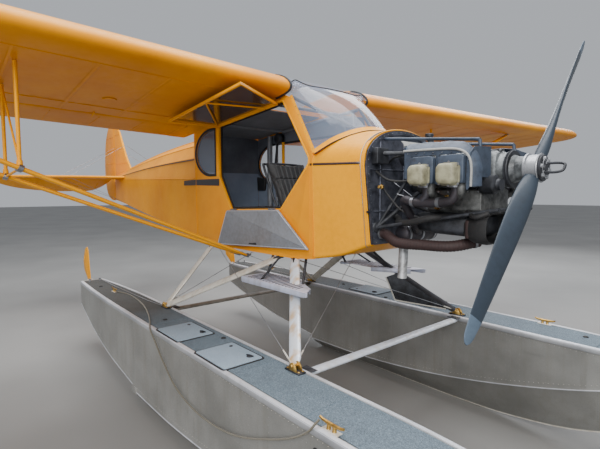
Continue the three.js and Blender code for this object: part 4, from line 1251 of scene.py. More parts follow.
def copies_along(
    name: str, lines: Sequence[Sequence[Point]], spacing: float, form: Shape, finish: Finish,
    body: str = "airframe", turned: bool = False, size: float = 1.0, edge: Edge = Edge.SOFT,
    replaces: Sequence[str] = ()
) -> bpy.types.Object:
    """Sets copies of a small form along lines and dresses them as one piece.

    Args:
        name: the piece's name.
        lines: the lines, each a list of points.
        spacing: the distance between copies.
        form: the small form, round the origin.
        finish: its finish.
        body: the body that it moves with.
        turned: whether the form's Z follows the line.
        size: a scale for each copy.
        edge: how the copies are shaded.
        replaces: the nodes that the piece stands for.

    Returns:
        The piece.
    """
    points: list[Point] = []
    edges: list[tuple[int, int]] = []
    for line in lines:
        edges += [(len(points) + i, len(points) + i + 1) for i in range(len(line) - 1)]
        points += [tuple(map(float, p)) for p in line]
    mesh = bpy.data.meshes.new(name)
    mesh.from_pydata(points, edges, [])
    obj = bpy.data.objects.new(name, mesh)
    bpy.context.scene.collection.objects.link(obj)
    pattern = form.object(name + "_form", edge)
    tree = repeat_tree(turned)
    modifier = obj.modifiers.new("copies", "NODES")
    modifier.node_group = tree
    values = {"Spacing": spacing, "Size": size, "Form": pattern, "Finish": finish.material()}
    for item in tree.interface.items_tree:
        if item.in_out == "INPUT" and item.name in values:
            modifier[item.identifier] = values[item.name]
    bpy.context.view_layer.update()
    apply_modifiers(obj)
    shape = pattern.data
    bpy.data.objects.remove(pattern)
    bpy.data.meshes.remove(shape)
    return dress(obj, finish, body, replaces)


def dome(radius: float, flat: float = 0.55, sides: int = 6) -> Shape:
    """A low rivet head, half of it below its seat, round the origin."""
    turns = [(-1.0, 0.05), (-0.5, 0.85), (0.0, 1.0), (0.6, 0.75), (1.0, 0.05)]
    return Shape().turned((0, 0, 0), UP, [(radius * flat * h, radius * r) for h, r in turns], sides)


def cut_away(obj: bpy.types.Object, cutter: Shape) -> bpy.types.Object:
    """Cuts a shape out of an object.

    Args:
        obj: the object.
        cutter: the shape that is taken away.

    Returns:
        The object.
    """
    tool = cutter.object(obj.name + "_cutter", Edge.FLAT)
    modifier = obj.modifiers.new("cut", "BOOLEAN")
    modifier.operation = "DIFFERENCE"
    modifier.object = tool
    modifier.solver = "EXACT"
    apply_modifiers(obj)
    mesh = tool.data
    bpy.data.objects.remove(tool)
    bpy.data.meshes.remove(mesh)
    return obj


def spread(values: Sequence[Sequence[float]], xs: Sequence[float]) -> list[list[float]]:
    """Smooth values between table rows whose first column is the station, which falls or rises.

    Args:
        values: the table's rows.
        xs: the stations that rows are wanted for.

    Returns:
        One row for each station.
    """
    rows = sorted([list(map(float, row)) for row in values])
    table = np.array(rows)
    out = []
    slopes = np.gradient(table[:, 1:], table[:, 0], axis=0)
    for x in xs:
        i = int(np.clip(np.searchsorted(table[:, 0], x) - 1, 0, len(table) - 2))
        h = table[i + 1, 0] - table[i, 0]
        s = np.clip((x - table[i, 0]) / h, 0, 1)
        a, b = table[i, 1:], table[i + 1, 1:]
        value = (
            (1 + 2 * s) * (1 - s) ** 2 * a + s * (1 - s) ** 2 * h * slopes[i] + s * s * (3 - 2 * s) * b
            + s * s * (s - 1) * h * slopes[i + 1])
        out.append([x, *value])
    return out


def boxy_ring(centre: Sequence[float], wide: float, tall: float, power: float, count: int) -> Ring:
    """A section across the aeroplane, between an ellipse and a box.

    Args:
        centre: its station, place to port and height.
        wide: half its width.
        tall: half its height.
        power: 1 for an ellipse, less for squarer corners.
        count: points round it.

    Returns:
        The section's points.
    """
    x, y, z = centre
    ring = []
    for t in np.linspace(0, 2 * math.pi, count + 1)[:-1]:
        c, s = math.cos(t), math.sin(t)
        ring.append(at(
            x, y + wide * math.copysign(abs(c) ** power, c), z + tall * math.copysign(abs(s) ** power, s)))
    return ring


def streamlined(
    shape: Shape, a: Sequence[float], b: Sequence[float], chord: float, thick: float, sides: int = 20
) -> Shape:
    """A strut of streamline section between two points, drawn down to flat ends.

    Args:
        shape: the shape that the strut is added to.
        a: one end's centre.
        b: the other end's centre.
        chord: the section's length.
        thick: the section's thickness.
        sides: points round the section.

    Returns:
        The shape.
    """
    start, end = np.array(a, float), np.array(b, float)
    axis = (end - start) / np.linalg.norm(end - start)
    ahead = np.array([1.0, 0, 0]) - axis * axis[0]
    ahead /= np.linalg.norm(ahead)
    across = np.cross(axis, ahead)
    rings = []
    for share, fore, wide in (
        (0, 0.55, 0.5), (0.02, 0.8, 0.75), (0.045, 1, 1), (0.955, 1, 1), (0.98, 0.8, 0.75), (1, 0.55, 0.5)
    ):
        centre = start + (end - start) * share
        ring = []
        for i in range(sides):
            t = 2 * math.pi * i / sides
            lean = 0.5 * thick * wide * math.sin(t) * (0.82 + 0.18 * math.cos(t))
            ring.append(tuple(centre + ahead * 0.5 * chord * fore * math.cos(t) + across * lean))
        rings.append(ring)
    return shape.loft(rings)


def inset(outline: Sequence[Sequence[float]], by: float) -> list[tuple[float, float]]:
    """A plane outline drawn in by a distance.

    Args:
        outline: the outline's points.
        by: the distance; less than 0 grows the outline.

    Returns:
        The new outline.
    """
    p = np.array(outline, float)
    area = 0.5 * np.sum(p[:, 0] * np.roll(p[:, 1], -1) - np.roll(p[:, 0], -1) * p[:, 1])
    before, after = p - np.roll(p, 1, axis=0), np.roll(p, -1, axis=0) - p
    turn = np.sign(area)

    def normal(d: np.ndarray) -> np.ndarray:
        """The normal to the left of a direction."""
        n = np.stack([-d[:, 1], d[:, 0]], axis=1) * turn
        return n / np.maximum(np.linalg.norm(n, axis=1), 1e-9)[:, None]

    n = normal(before) + normal(after)
    n /= np.maximum((n ** 2).sum(axis=1), 0.6)[:, None] / 2
    return [tuple(q) for q in p + n * by]


def oblong(x: float, y: float, dx: float, dy: float) -> list[tuple[float, float]]:
    """A rectangle's corners from its middle and its half sides."""
    return [(x - dx, y - dy), (x + dx, y - dy), (x + dx, y + dy), (x - dx, y + dy)]


def rounded(outline: Sequence[tuple[float, float]], radius: float) -> list[tuple[float, float]]:
    """A plane outline with its corners rounded.

    Args:
        outline: the outline's corners.
        radius: how far from each corner the rounding starts.

    Returns:
        The rounded outline.
    """
    out = []
    count = len(outline)
    for i, corner in enumerate(outline):
        before, after = np.array(outline[i - 1]), np.array(outline[(i + 1) % count])
        c = np.array(corner)
        a = c + (before - c) / np.linalg.norm(before - c) * radius
        b = c + (after - c) / np.linalg.norm(after - c) * radius
        for t in (0, 0.25, 0.5, 0.75, 1):
            out.append(tuple((1 - t) ** 2 * a + 2 * t * (1 - t) * c + t * t * b))
    return out


def pillow(
    shape: Shape, outline: Sequence[Sequence[float]], half: float,
    place: Callable[[float, float, float], Point], edge: float = 0.012
) -> Shape:
    """A flat panel with a rounded rim.

    Args:
        shape: the shape that it is added to.
        outline: the plane outline.
        half: half the thickness.
        place: turns an outline point and a height off the plane into a frame point.
        edge: how far the rim's rounding reaches in.

    Returns:
        The shape.
    """
    rings = []
    for height, reach in ((-1, 1), (-0.85, 0.45), (-0.45, 0.1), (0, 0), (0.45, 0.1), (0.85, 0.45), (1, 1)):
        rings.append([place(u, v, half * height) for u, v in inset(outline, edge * reach)])
    return shape.loft(rings)


# ---- fuselage and cabin -------------------------------------------------


@dataclass
class RearFuselage:
    """Fabric tail of the fuselage, drawn over longerons and stringers."""

    # station, half width, lower edge, longeron, ridge
    sections: tuple[tuple[float, ...], ...] = (
        (-1.4203, 0.360, 1.225, 1.760, 2.195), (-2.0, 0.305, 1.272, 1.775, 2.175),
        (-2.8, 0.230, 1.345, 1.795, 2.125), (-3.6, 0.150, 1.425, 1.815, 2.045),
        (-4.25, 0.080, 1.490, 1.830, 1.965), (-4.772, 0.022, 1.530, 1.845, 1.905))
    stringers: tuple[float, ...] = (0, 22, 45, 68, 90, 112, 135, 158, 180)
    bays: int = 26

    def ring(self, row: Sequence[float], sag: float) -> Ring:
        """One section's points, with the cloth drawn in between its stringers.

        Args:
            row: the section's row of the table.
            sag: how far the cloth is drawn in.

        Returns:
            The section's points.
        """
        x, half, lower, longeron, ridge = row
        points: Ring = [at(x, -half * 0.86, lower)]
        for i in range(1, 6):
            points.append(at(
                x, half * 0.86 * (2 * i / 6 - 1), lower + sag * 0.004 * math.sin(math.pi * i / 6)))
        points.append(at(x, half * 0.86, lower))
        for i in range(1, 6):
            s = i / 6
            pull = 0.005 * math.sin(math.pi * s) * sag
            points.append(at(x, half * (0.86 + 0.14 * s) - pull, lower + (longeron - lower) * s))
        for a, b in zip(self.stringers, self.stringers[1:]):
            for k in range(4):
                s = k / 4
                ends = [math.radians(v) for v in (a, b)]
                y = sum(w * half * math.cos(t) for w, t in zip((1 - s, s), ends))
                z = sum(w * (ridge - longeron) * math.sin(t) ** 0.85 for w, t in zip((1 - s, s), ends))
                pull = 1 - 0.012 * sag * math.sin(math.pi * s)
                points.append(at(x, y * pull, longeron + z * pull))
        points.append(at(x, -half, longeron))
        for i in range(5, 0, -1):
            s = i / 6
            pull = 0.005 * math.sin(math.pi * s) * sag
            points.append(at(x, -half * (0.86 + 0.14 * s) + pull, lower + (longeron - lower) * s))
        return points

    def along(self, angle: float, lift: float, start: float, stop: float, count: int = 24) -> list[Point]:
        """Points just proud of the skin along one stringer's line, right or left by the angle.

        Args:
            angle: the stringer's angle round the section.
            lift: the height over the skin.
            start: the first station.
            stop: the last station.
            count: how many points come back.

        Returns:
            The points.
        """
        out = []
        for x, half, _, longeron, ridge in spread(self.sections, np.linspace(start, stop, count)):
            t = math.radians(angle)
            y, z = (half + lift) * math.cos(t), longeron + (ridge - longeron + lift) * math.sin(t) ** 0.85
            out.append(at(x, y, z))
        return out

    def build(self) -> None:
        """Makes the skin, its tapes and a dark line under each side stringer, which is painted shade below
        the stringer's ridge.
        """
        rings = []
        stations = np.linspace(-1.4203, -4.772, self.bays * 3 + 1)
        for i, row in enumerate(spread(self.sections, stations)):
            rings.append(self.ring(row, 0.55 + 0.45 * abs(math.sin(math.pi * i / 3 / 2))))
        skin = Shape().loft(rings).object("fuselage_fabric", Edge.CRISP)
        skin.data.set_sharp_from_angle(angle=math.radians(24))
        dress(skin, YELLOW_FABRIC, replaces=["fuselage_rear"])
        tapes = Shape()
        for angle in self.stringers:
            tapes.tube(self.along(angle, 0.0005, -1.43, -4.76), lambda s: 0.0052 - 0.0025 * s, 6)
        x, half, lower, *_ = spread(self.sections, [-1.44])[0]
        tapes.tube([at(x, s * half * 0.86, lower) for s in (-1, 1)], 0.004, 6)
        tapes.piece("fuselage_tapes", YELLOW_FABRIC, Edge.ROUND)
        # A dark brown line just under the lowest stringer on each side: painted shade below the stringer's
        # ridge.
        stripe = Shape()
        for angle in (20.5, 159.5):
            stripe.tube(self.along(angle, 0.0012, -1.45, -4.74), lambda s: 0.0058 - 0.002 * s, 6)
        stripe.piece("fuselage_stripe", STRIPE_AND_STRINGER_SHADE, Edge.ROUND)


@dataclass
class BootCowl:
    """Sheet metal between the cabin and the firewall, with its stripe, seams and front band."""

    # station, belly half width, waist half width, belly, shoulder, crown
    sections: tuple[tuple[float, ...], ...] = (
        (0.190, 0.348, 0.360, 1.205, 1.790, 2.032), (0.400, 0.330, 0.358, 1.246, 1.790, 2.022),
        (0.610, 0.296, 0.352, 1.325, 1.780, 2.002))
    wall: float = 0.012
    sides: int = 40

    def ring(self, row: Sequence[float], inward: float) -> Ring:
        """One section's points, drawn in by a distance, with rounded lower corners.

        Args:
            row: the section's row of the table.
            inward: how far it is drawn in.

        Returns:
            The section's points.
        """
        x, belly_half, half, belly, shoulder, crown = row
        out: Ring = []
        for turn in np.linspace(-math.pi / 2, 0, 6):
            r = 0.022
            out.append(at(
                x, belly_half - inward - r + r * math.cos(turn), belly + inward + r + r * math.sin(turn)))
        for i in range(self.sides + 1):
            turn = math.pi * i / self.sides
            out.append(at(
                x, (half - inward) * math.cos(turn),
                shoulder + (crown - shoulder - inward) * math.sin(turn) ** 0.8))
        out += [(p[0], -p[1], p[2]) for p in out[:6]][::-1]
        return out

    def build(self) -> None:
        """Makes the shell, its front edge, its seams and its screws."""
        rows = spread(self.sections, np.linspace(0.19, 0.61, 15))
        outer = [self.ring(r, 0) for r in rows]
        inner = [self.ring(r, self.wall) for r in rows]
        shell = Shape().loft([*outer, *inner[::-1], outer[0]], caps=False)
        obj = shell.object("boot_cowl_sheet", Edge.CRISP, merge=1e-5)
        cut = Shape().plate(
            on_side(-0.5, (-0.1, 1.868), (0.19, 1.868), (0.428, 2.024), (0.428, 2.3), (-0.1, 2.3)),
            (0, 1.0, 0))
        cut_away(obj, cut)
        shade(obj.data, Edge.CRISP)
        dress(obj, YELLOW_METAL, replaces=["boot_cowl"])
        rim = Shape().tube(self.ring(self.sections[2], -0.001), 0.0045, 8)
        rim.piece("boot_cowl_rim", YELLOW_METAL, Edge.ROUND)
        band = Shape()
        ring = self.ring(spread(self.sections, [0.585])[0], -0.0022)
        half = len(ring) // 2
        seam = Shape().tube(ring, 0.0022, 6)
        seam.piece("boot_cowl_seam", BARE_STEEL, Edge.ROUND)
        for side in (1, -1):
            band.loft([self.along_side(z, side, 0.0012) for z in (1.815, 1.801)], closed=False, caps=False)
        obj = band.object("cowl_stripe", Edge.ROUND)
        dress(thickened(obj, 0.0016, 0), STRIPE_AND_STRINGER_SHADE)
        screws = ring[6:half] + ring[half:-6]
        copies_along("boot_cowl_screws", [screws], 0.075, dome(0.0045, 0.5, 8), BARE_STEEL)
        join = [self.ring(spread(self.sections, [0.598])[0], -0.0005)[6:-6]]
        copies_along("boot_cowl_rivets", join, 0.03, dome(0.0026, 0.5), YELLOW_METAL)
        hem = [self.ring(spread(self.sections, [0.212])[0], -0.0004)]
        low = [p for p in hem[0] if p[2] < 1.86]
        half = len(low) // 2
        copies_along("boot_cowl_hem_rivets", [low[:half], low[half:]], 0.055, dome(0.003, 0.5), YELLOW_METAL)

    def along_side(self, z: float, side: int, lift: float) -> list[Point]:
        """Points on the cowl's flank at a height.

        Args:
            z: the height.
            side: 1 for port and -1 for starboard.
            lift: the height over the skin.

        Returns:
            The points.
        """
        out = []
        for x, _, half, _, shoulder, crown in spread(self.sections, np.linspace(0.195, 0.58, 16)):
            fall = 0.012 * (x - 0.19) / 0.4
            share = max(0.0, (z - fall - shoulder) / (crown - shoulder)) ** 1.25
            y = half * math.sqrt(max(0.0, 1 - min(share, 1) ** 2)) + lift
            out.append(at(x, side * y, z - fall))
        return out


@dataclass
class Cabin:
    """Walls, liners, posts, panel and window edges."""

    half: float = 0.360
    # front edge, centre of the round end, middle height, reach of the end, half height
    rear_window: tuple[float, ...] = (-1.035, -1.120, 1.975, 0.265, 0.190)
    left_window: tuple[float, ...] = (0.060, -1.150, 1.915, 0.250, 0.178)
    door: tuple[tuple[float, float], ...] = (
        (-0.790, 1.497), (-0.140, 1.519), (0.146, 1.815), (0.152, 1.848), (-0.112, 2.2455), (-0.970, 2.1832),
        (-0.970, 1.768))

    def window(
        self, front: float, centre: float, z: float, reach: float, half: float, grow: float
    ) -> list[tuple[float, float]]:
        """A window's outline, round at the back, grown by a distance.

        Args:
            front: the front edge's station.
            centre: the station of the round end's centre.
            z: the middle's height.
            reach: how far the round end reaches back.
            half: half the window's height.
            grow: the distance.

        Returns:
            The outline's points: station and height.
        """
        turns = [math.pi / 2 + math.pi * i / 18 for i in range(19)]
        end = [(centre + (reach + grow) * math.cos(t), z + (half + grow) * math.sin(t)) for t in turns]
        return [(front + grow, z + half + grow), *end, (front + grow, z - half - grow)]

    def strip(
        self, shape: Shape, outline: Sequence[tuple[float, float]], y: float, width: float, proud: float
    ) -> Shape:
        """A flat strip round an outline on a side wall, standing proud of it.

        Args:
            shape: the shape that it is added to.
            outline: the outline's points: station and height.
            y: the wall's place.
            width: the strip's width.
            proud: how far it stands out.

        Returns:
            The shape itself.
        """
        inner, outer = inset(outline, width / 2), inset(outline, -width / 2)
        rings = [
            on_side(y, *inner), on_side(y + proud, *inset(outline, width * 0.32)),
            on_side(y + proud, *inset(outline, -width * 0.32)), on_side(y, *outer),
            on_side(y - proud * 0.4, *outer), on_side(y - proud * 0.4, *inner), on_side(y, *inner)]
        return shape.loft(rings, caps=False)

    def wall(self) -> None:
        """The right wall's skin with its door opening, its rear window and the lower door's hinge blocks."""
        outline = [
            (-1.420, 1.2503), (-0.900, 1.2103), (0.0, 1.2123), (0.1897, 1.2303), (0.1897, 1.868),
            (-0.030, 2.262), (-0.160, 2.313), (-0.700, 2.2857), (-1.420, 2.176)]
        skin = Shape().plate(
            on_side(-self.half, *outline), (0, 0.020, 0)).object("cabin_wall_skin", Edge.CRISP)
        for hole in (self.door, self.window(*self.rear_window, 0)):
            cut_away(skin, Shape().plate(on_side(-0.40, *hole), (0, 0.08, 0)))
        bevelled(skin, 0.0015, 2)
        dress(skin, YELLOW_FABRIC, replaces=["cabin_wall_right"])
        blocks = Shape()
        for along in (0.040, 0.100, 0.550, 0.610):
            x, z = -0.790 + along, 1.497 + along * 0.03385
            blocks.box(at(x - 0.008, -0.3770, z - 0.009), at(x + 0.008, -0.358, z + 0.002))
        blocks.piece("lower_door_hinge_blocks", YELLOW_METAL, Edge.CRISP)

    def edges(self) -> None:
        """Window rubbers, the door jamb and the post behind the door."""
        rubber = Shape()
        rear = self.window(*self.rear_window, 0.004)
        left = self.window(*self.left_window, 0.004)
        self.strip(rubber, rear, -self.half - 0.0002, 0.020, -0.004)
        self.strip(rubber, rear, -self.half + 0.0202, 0.022, 0.004)
        self.strip(rubber, left, self.half + 0.0002, 0.020, 0.004)
        self.strip(rubber, left, self.half - 0.0202, 0.022, -0.004)
        rubber.piece("window_rubbers", BLACK_RUBBER, Edge.SOFT, merge=1e-6)
        jamb = Shape()
        self.strip(jamb, inset(self.door, 0.004), -self.half + 0.0242, 0.026, 0.006)
        jamb.piece("door_jamb_seal", BLACK_RUBBER, Edge.SOFT, merge=1e-6)
        post = Shape()
        post.tube([at(-0.992, -self.half + 0.002, 1.765), at(-0.992, -self.half + 0.002, 2.165)], 0.011, 12)
        self.strip(post, inset(self.door, -0.006), -self.half - 0.0002, 0.015, -0.0026)
        post.piece("door_jamb_frame", YELLOW_METAL, Edge.SOFT, merge=1e-6)
        tapes = Shape()
        for x in (-1.39, 0.165):
            for y in (-self.half - 0.0005, self.half + 0.0005):
                tapes.tube([at(x, y, 1.235), at(x, y, 1.86)], 0.003, 6)
        tapes.piece("cabin_wall_tapes", YELLOW_FABRIC, Edge.ROUND)
        band = Shape()
        for side in (1, -1):
            y = side * (self.half + 0.0012)
            row = on_side(y, (-1.418, 1.752), (-1.418, 1.702), (-0.974, 1.690), (-0.974, 1.748))
            band.plate([(p[0], p[1] - side * 0.0016, p[2]) for p in row], (0, side * 0.0024, 0))
            row = [
                at(-1.690, side * 0.3345, 1.748), at(-1.700, side * 0.3325, 1.704),
                at(-1.419, side * 0.3595, 1.702), at(-1.419, side * 0.3595, 1.752)]
            band.plate([(p[0], p[1] - side * 0.002, p[2]) for p in row], (0, side * 0.004, 0))
            front = on_side(y, (0.158, 1.8003), (0.185, 1.8015), (0.185, 1.815), (0.158, 1.8145))
            band.plate([(p[0], p[1] - side * 0.0016, p[2]) for p in front], (0, side * 0.0024, 0))
        band.piece("cabin_stripe", BAND_DARK, Edge.CRISP)

    def liners(self) -> None:
        """Dark cloth above, grey board below, the rear wall and the floor board."""
        dark, board = Shape(), Shape()
        inside = self.half - 0.0225
        left = self.window(*self.left_window, 0.010)
        for side in (1, -1):
            y = side * inside
            front, top = (0.17, 1.733) if side > 0 else (-0.985, 1.72)
            board.plate(
                on_side(y, (-1.40, 1.255), (front, 1.255), (front, top), (-1.40, top)), (0, -side * 0.003, 0))
        board.plate(
            on_station(
                -1.4055, (-inside + 0.004, 1.255), (inside - 0.004, 1.255), (inside - 0.004, 1.822),
                (-inside + 0.004, 1.822)),
            (0.003, 0, 0))
        board.plate(
            on_side(inside - 0.0035, (-1.402, 1.734), (-1.335, 1.734), (-1.380, 1.80), (-1.402, 1.822)),
            (0, 0.002, 0))
        upper = Shape().plate(
            on_side(inside, (-1.41, 1.72), (0.12, 1.72), (0.0, 2.20), (-0.25, 2.25), (-1.41, 2.16)),
            (0, -0.003, 0))
        cloth = upper.object("cabin_side_liner", Edge.FLAT)
        cut_away(cloth, Shape().plate(on_side(inside + 0.02, *left), (0, -0.05, 0)))
        shade(cloth.data, Edge.CRISP)
        dress(cloth, LINER)
        dark.plate(
            on_station(
                -1.412, (-inside, 1.24), (inside, 1.24), (inside, 2.16), (0.2, 2.18), (-0.2, 2.18),
                (-inside, 2.16)),
            (0.006, 0, 0))
        ceiling = [
            [at(x, y, z) for y in np.linspace(-inside, inside, 9)]
            for x, z in ((-1.405, 2.165), (-1.2, 2.185), (-0.9, 2.215), (-0.72, 2.24), (-0.5, 2.262))]
        top = [[(x, y, z + 0.006) for x, y, z in row] for row in ceiling]
        dark.loft([[*a, *b[::-1]] for a, b in zip(ceiling, top)])
        dark.box(at(-1.38, -inside, 1.226), at(0.18, inside, 1.236))
        dark.plate(
            on_side(-0.339, (-1.409, 1.72), (-0.99, 1.72), (-0.99, 1.79), (-1.409, 1.79)), (0, 0.003, 0))
        dark.piece("cabin_dark_liner", LINER, Edge.CRISP)
        board.piece("cabin_lower_boards", LINER_GREY, Edge.CRISP)
        pocket = Shape().plate(
            on_side(inside - 0.003, (-1.385, 1.655), (-1.265, 1.655), (-1.255, 1.765), (-1.392, 1.790)),
            (0, -0.025, 0))
        pocket.piece("map_pocket", SEAT_BLACK, Edge.CRISP, bevel=0.008, segments=3)

    def tubes(self) -> None:
        """Welded posts, the overhead tubes and small fittings."""
        grey, orange, dark = Shape(), Shape(), Shape()
        inside = 0.322
        for a, b, radius in (
            ((0.02, 1, 1.25), (-0.1, 1, 2.26), 0.0125), ((-0.05, 1, 1.74), (-0.22, 1, 2.26), 0.0085),
            ((-0.05, -1, 2.262), (-0.98, -1, 2.195), 0.0125), ((-0.05, 1, 2.262), (-0.98, 1, 2.195), 0.0125),
            ((-0.26, -1, 2.255), (-0.26, 1, 2.255), 0.0125), ((-0.98, -1, 2.20), (-0.98, 1, 2.20), 0.0125)
        ):
            grey.rod(at(a[0], a[1] * inside, a[2]), at(b[0], b[1] * inside, b[2]), radius)
        grey.tube([at(-1.165, inside - 0.014, 1.24), at(-1.165, inside - 0.014, 2.17)], 0.026, 20)
        grey.rod(at(-1.065, inside - 0.004, 1.24), at(-1.065, inside - 0.004, 2.185), 0.012)
        grey.piece("cabin_frame_tubes", DOOR_GREY, Edge.ROUND)
        orange.rod(at(-0.972, inside, 1.24), at(-0.972, inside, 2.10), 0.014)
        orange.piece("cabin_brace_tube", YELLOW_METAL, Edge.ROUND)
        dark.turned(
            at(-1.0, inside - 0.03, 2.135), PORT,
            capped((-0.026, 0.040), (-0.02, 0.048), (0.02, 0.048), (0.026, 0.040)), 24)
        dark.tube(
            [at(-1.02, inside - 0.03, 2.10), at(-1.03, inside - 0.05, 1.9), at(-1.04, inside - 0.05, 1.7)],
            0.011, 10)
        dark.rod(at(0.02, -0.06, 1.24), at(0.045, -0.05, 1.53), 0.011)
        dark.turned(
            at(0.045, -0.05, 1.53), (0.1, 0.04, 1),
            [(-0.02, TIP), (-0.02, 0.016), (0.05, 0.019), (0.10, 0.016), (0.11, TIP)], 16)
        dark.rod(at(-0.72, -0.06, 1.24), at(-0.70, -0.05, 1.45), 0.011)
        for y in (-0.16, 0.04):
            dark.tube(on_level(1.33, (0.36, y - 0.04), (0.34, y), (0.34, y + 0.08), (0.36, y + 0.12)), 0.009)
            dark.rod(at(0.345, y + 0.04, 1.33), at(0.40, y + 0.04, 1.25), 0.008)
        dark.piece("cabin_controls", DARK_STEEL_AND_SHADE, Edge.ROUND)

    def panel(self) -> None:
        """Dials with blank faces on the instrument panel, and the shelf above it."""
        rims, faces, marks = Shape(), Shape(), Shape()
        for y, z, r in (
            (-0.2, 1.77, 0.04), (-0.1, 1.775, 0.04), (0.0, 1.775, 0.04), (0.1, 1.775, 0.04),
            (0.2, 1.77, 0.04), (-0.15, 1.685, 0.029), (-0.05, 1.685, 0.029), (0.05, 1.685, 0.029),
            (0.15, 1.685, 0.029)
        ):
            face = at(0.150, y, z)
            rims.turned(
                face, (-1, 0, 0), [(-0.001, r * 0.8), (0.006, r * 0.86), (0.008, r), (-0.001, r * 1.1)], 28)
            faces.turned(face, (-1, 0, 0), [(-0.001, TIP), (0.0015, r * 0.84), (0.002, TIP)], 28)
            tilt = 0.7 + 9 * y
            end = (face[0] - 0.004, y + r * 0.6 * math.sin(tilt), z + r * 0.6 * math.cos(tilt))
            marks.rod((face[0] - 0.004, y, z), end, 0.0013, 6)
            for k in range(10):
                a = k * math.pi / 5
                u, v = math.sin(a), math.cos(a)
                marks.rod(
                    (face[0] - 0.003, y + r * 0.66 * u, z + r * 0.66 * v),
                    (face[0] - 0.003, y + r * 0.78 * u, z + r * 0.78 * v), 0.0009, 5)
        rims.piece("dial_rims", DARK_STEEL_AND_SHADE, Edge.SOFT)
        faces.piece("dial_faces", BLACK_RUBBER, Edge.CRISP)
        marks.piece("dial_hands", SEAL, Edge.ROUND)
        shelf = Shape()
        rings = []
        for x, rise in ((0.145, 0.0), (0.19, 0.012), (0.3, 0.014)):
            top = [
                at(x, y, 1.862 + rise - 0.10 * abs(y / 0.335) ** 3) for y in np.linspace(-0.335, 0.335, 15)]
            rings.append([*top, *[(p[0], p[1], p[2] - 0.006) for p in top[::-1]]])
        shelf.loft(rings)
        shelf.piece("panel_shelf", LINER, Edge.CRISP)

    def build(self, frame: dict) -> None:
        """Makes everything in and on the cabin's sides.

        Args:
            frame: the loaded frame.
        """
        dress_node(frame, YELLOW_FABRIC, "cabin_floor", "cabin_wall_left", "cabin_roof")
        dress_node(frame, CLEAR, "window_rear_right", "window_left", "skylight")
        dress_node(frame, DARK_STEEL_AND_SHADE, "instrument_panel")
        self.wall()
        self.edges()
        self.liners()
        self.tubes()
        self.panel()


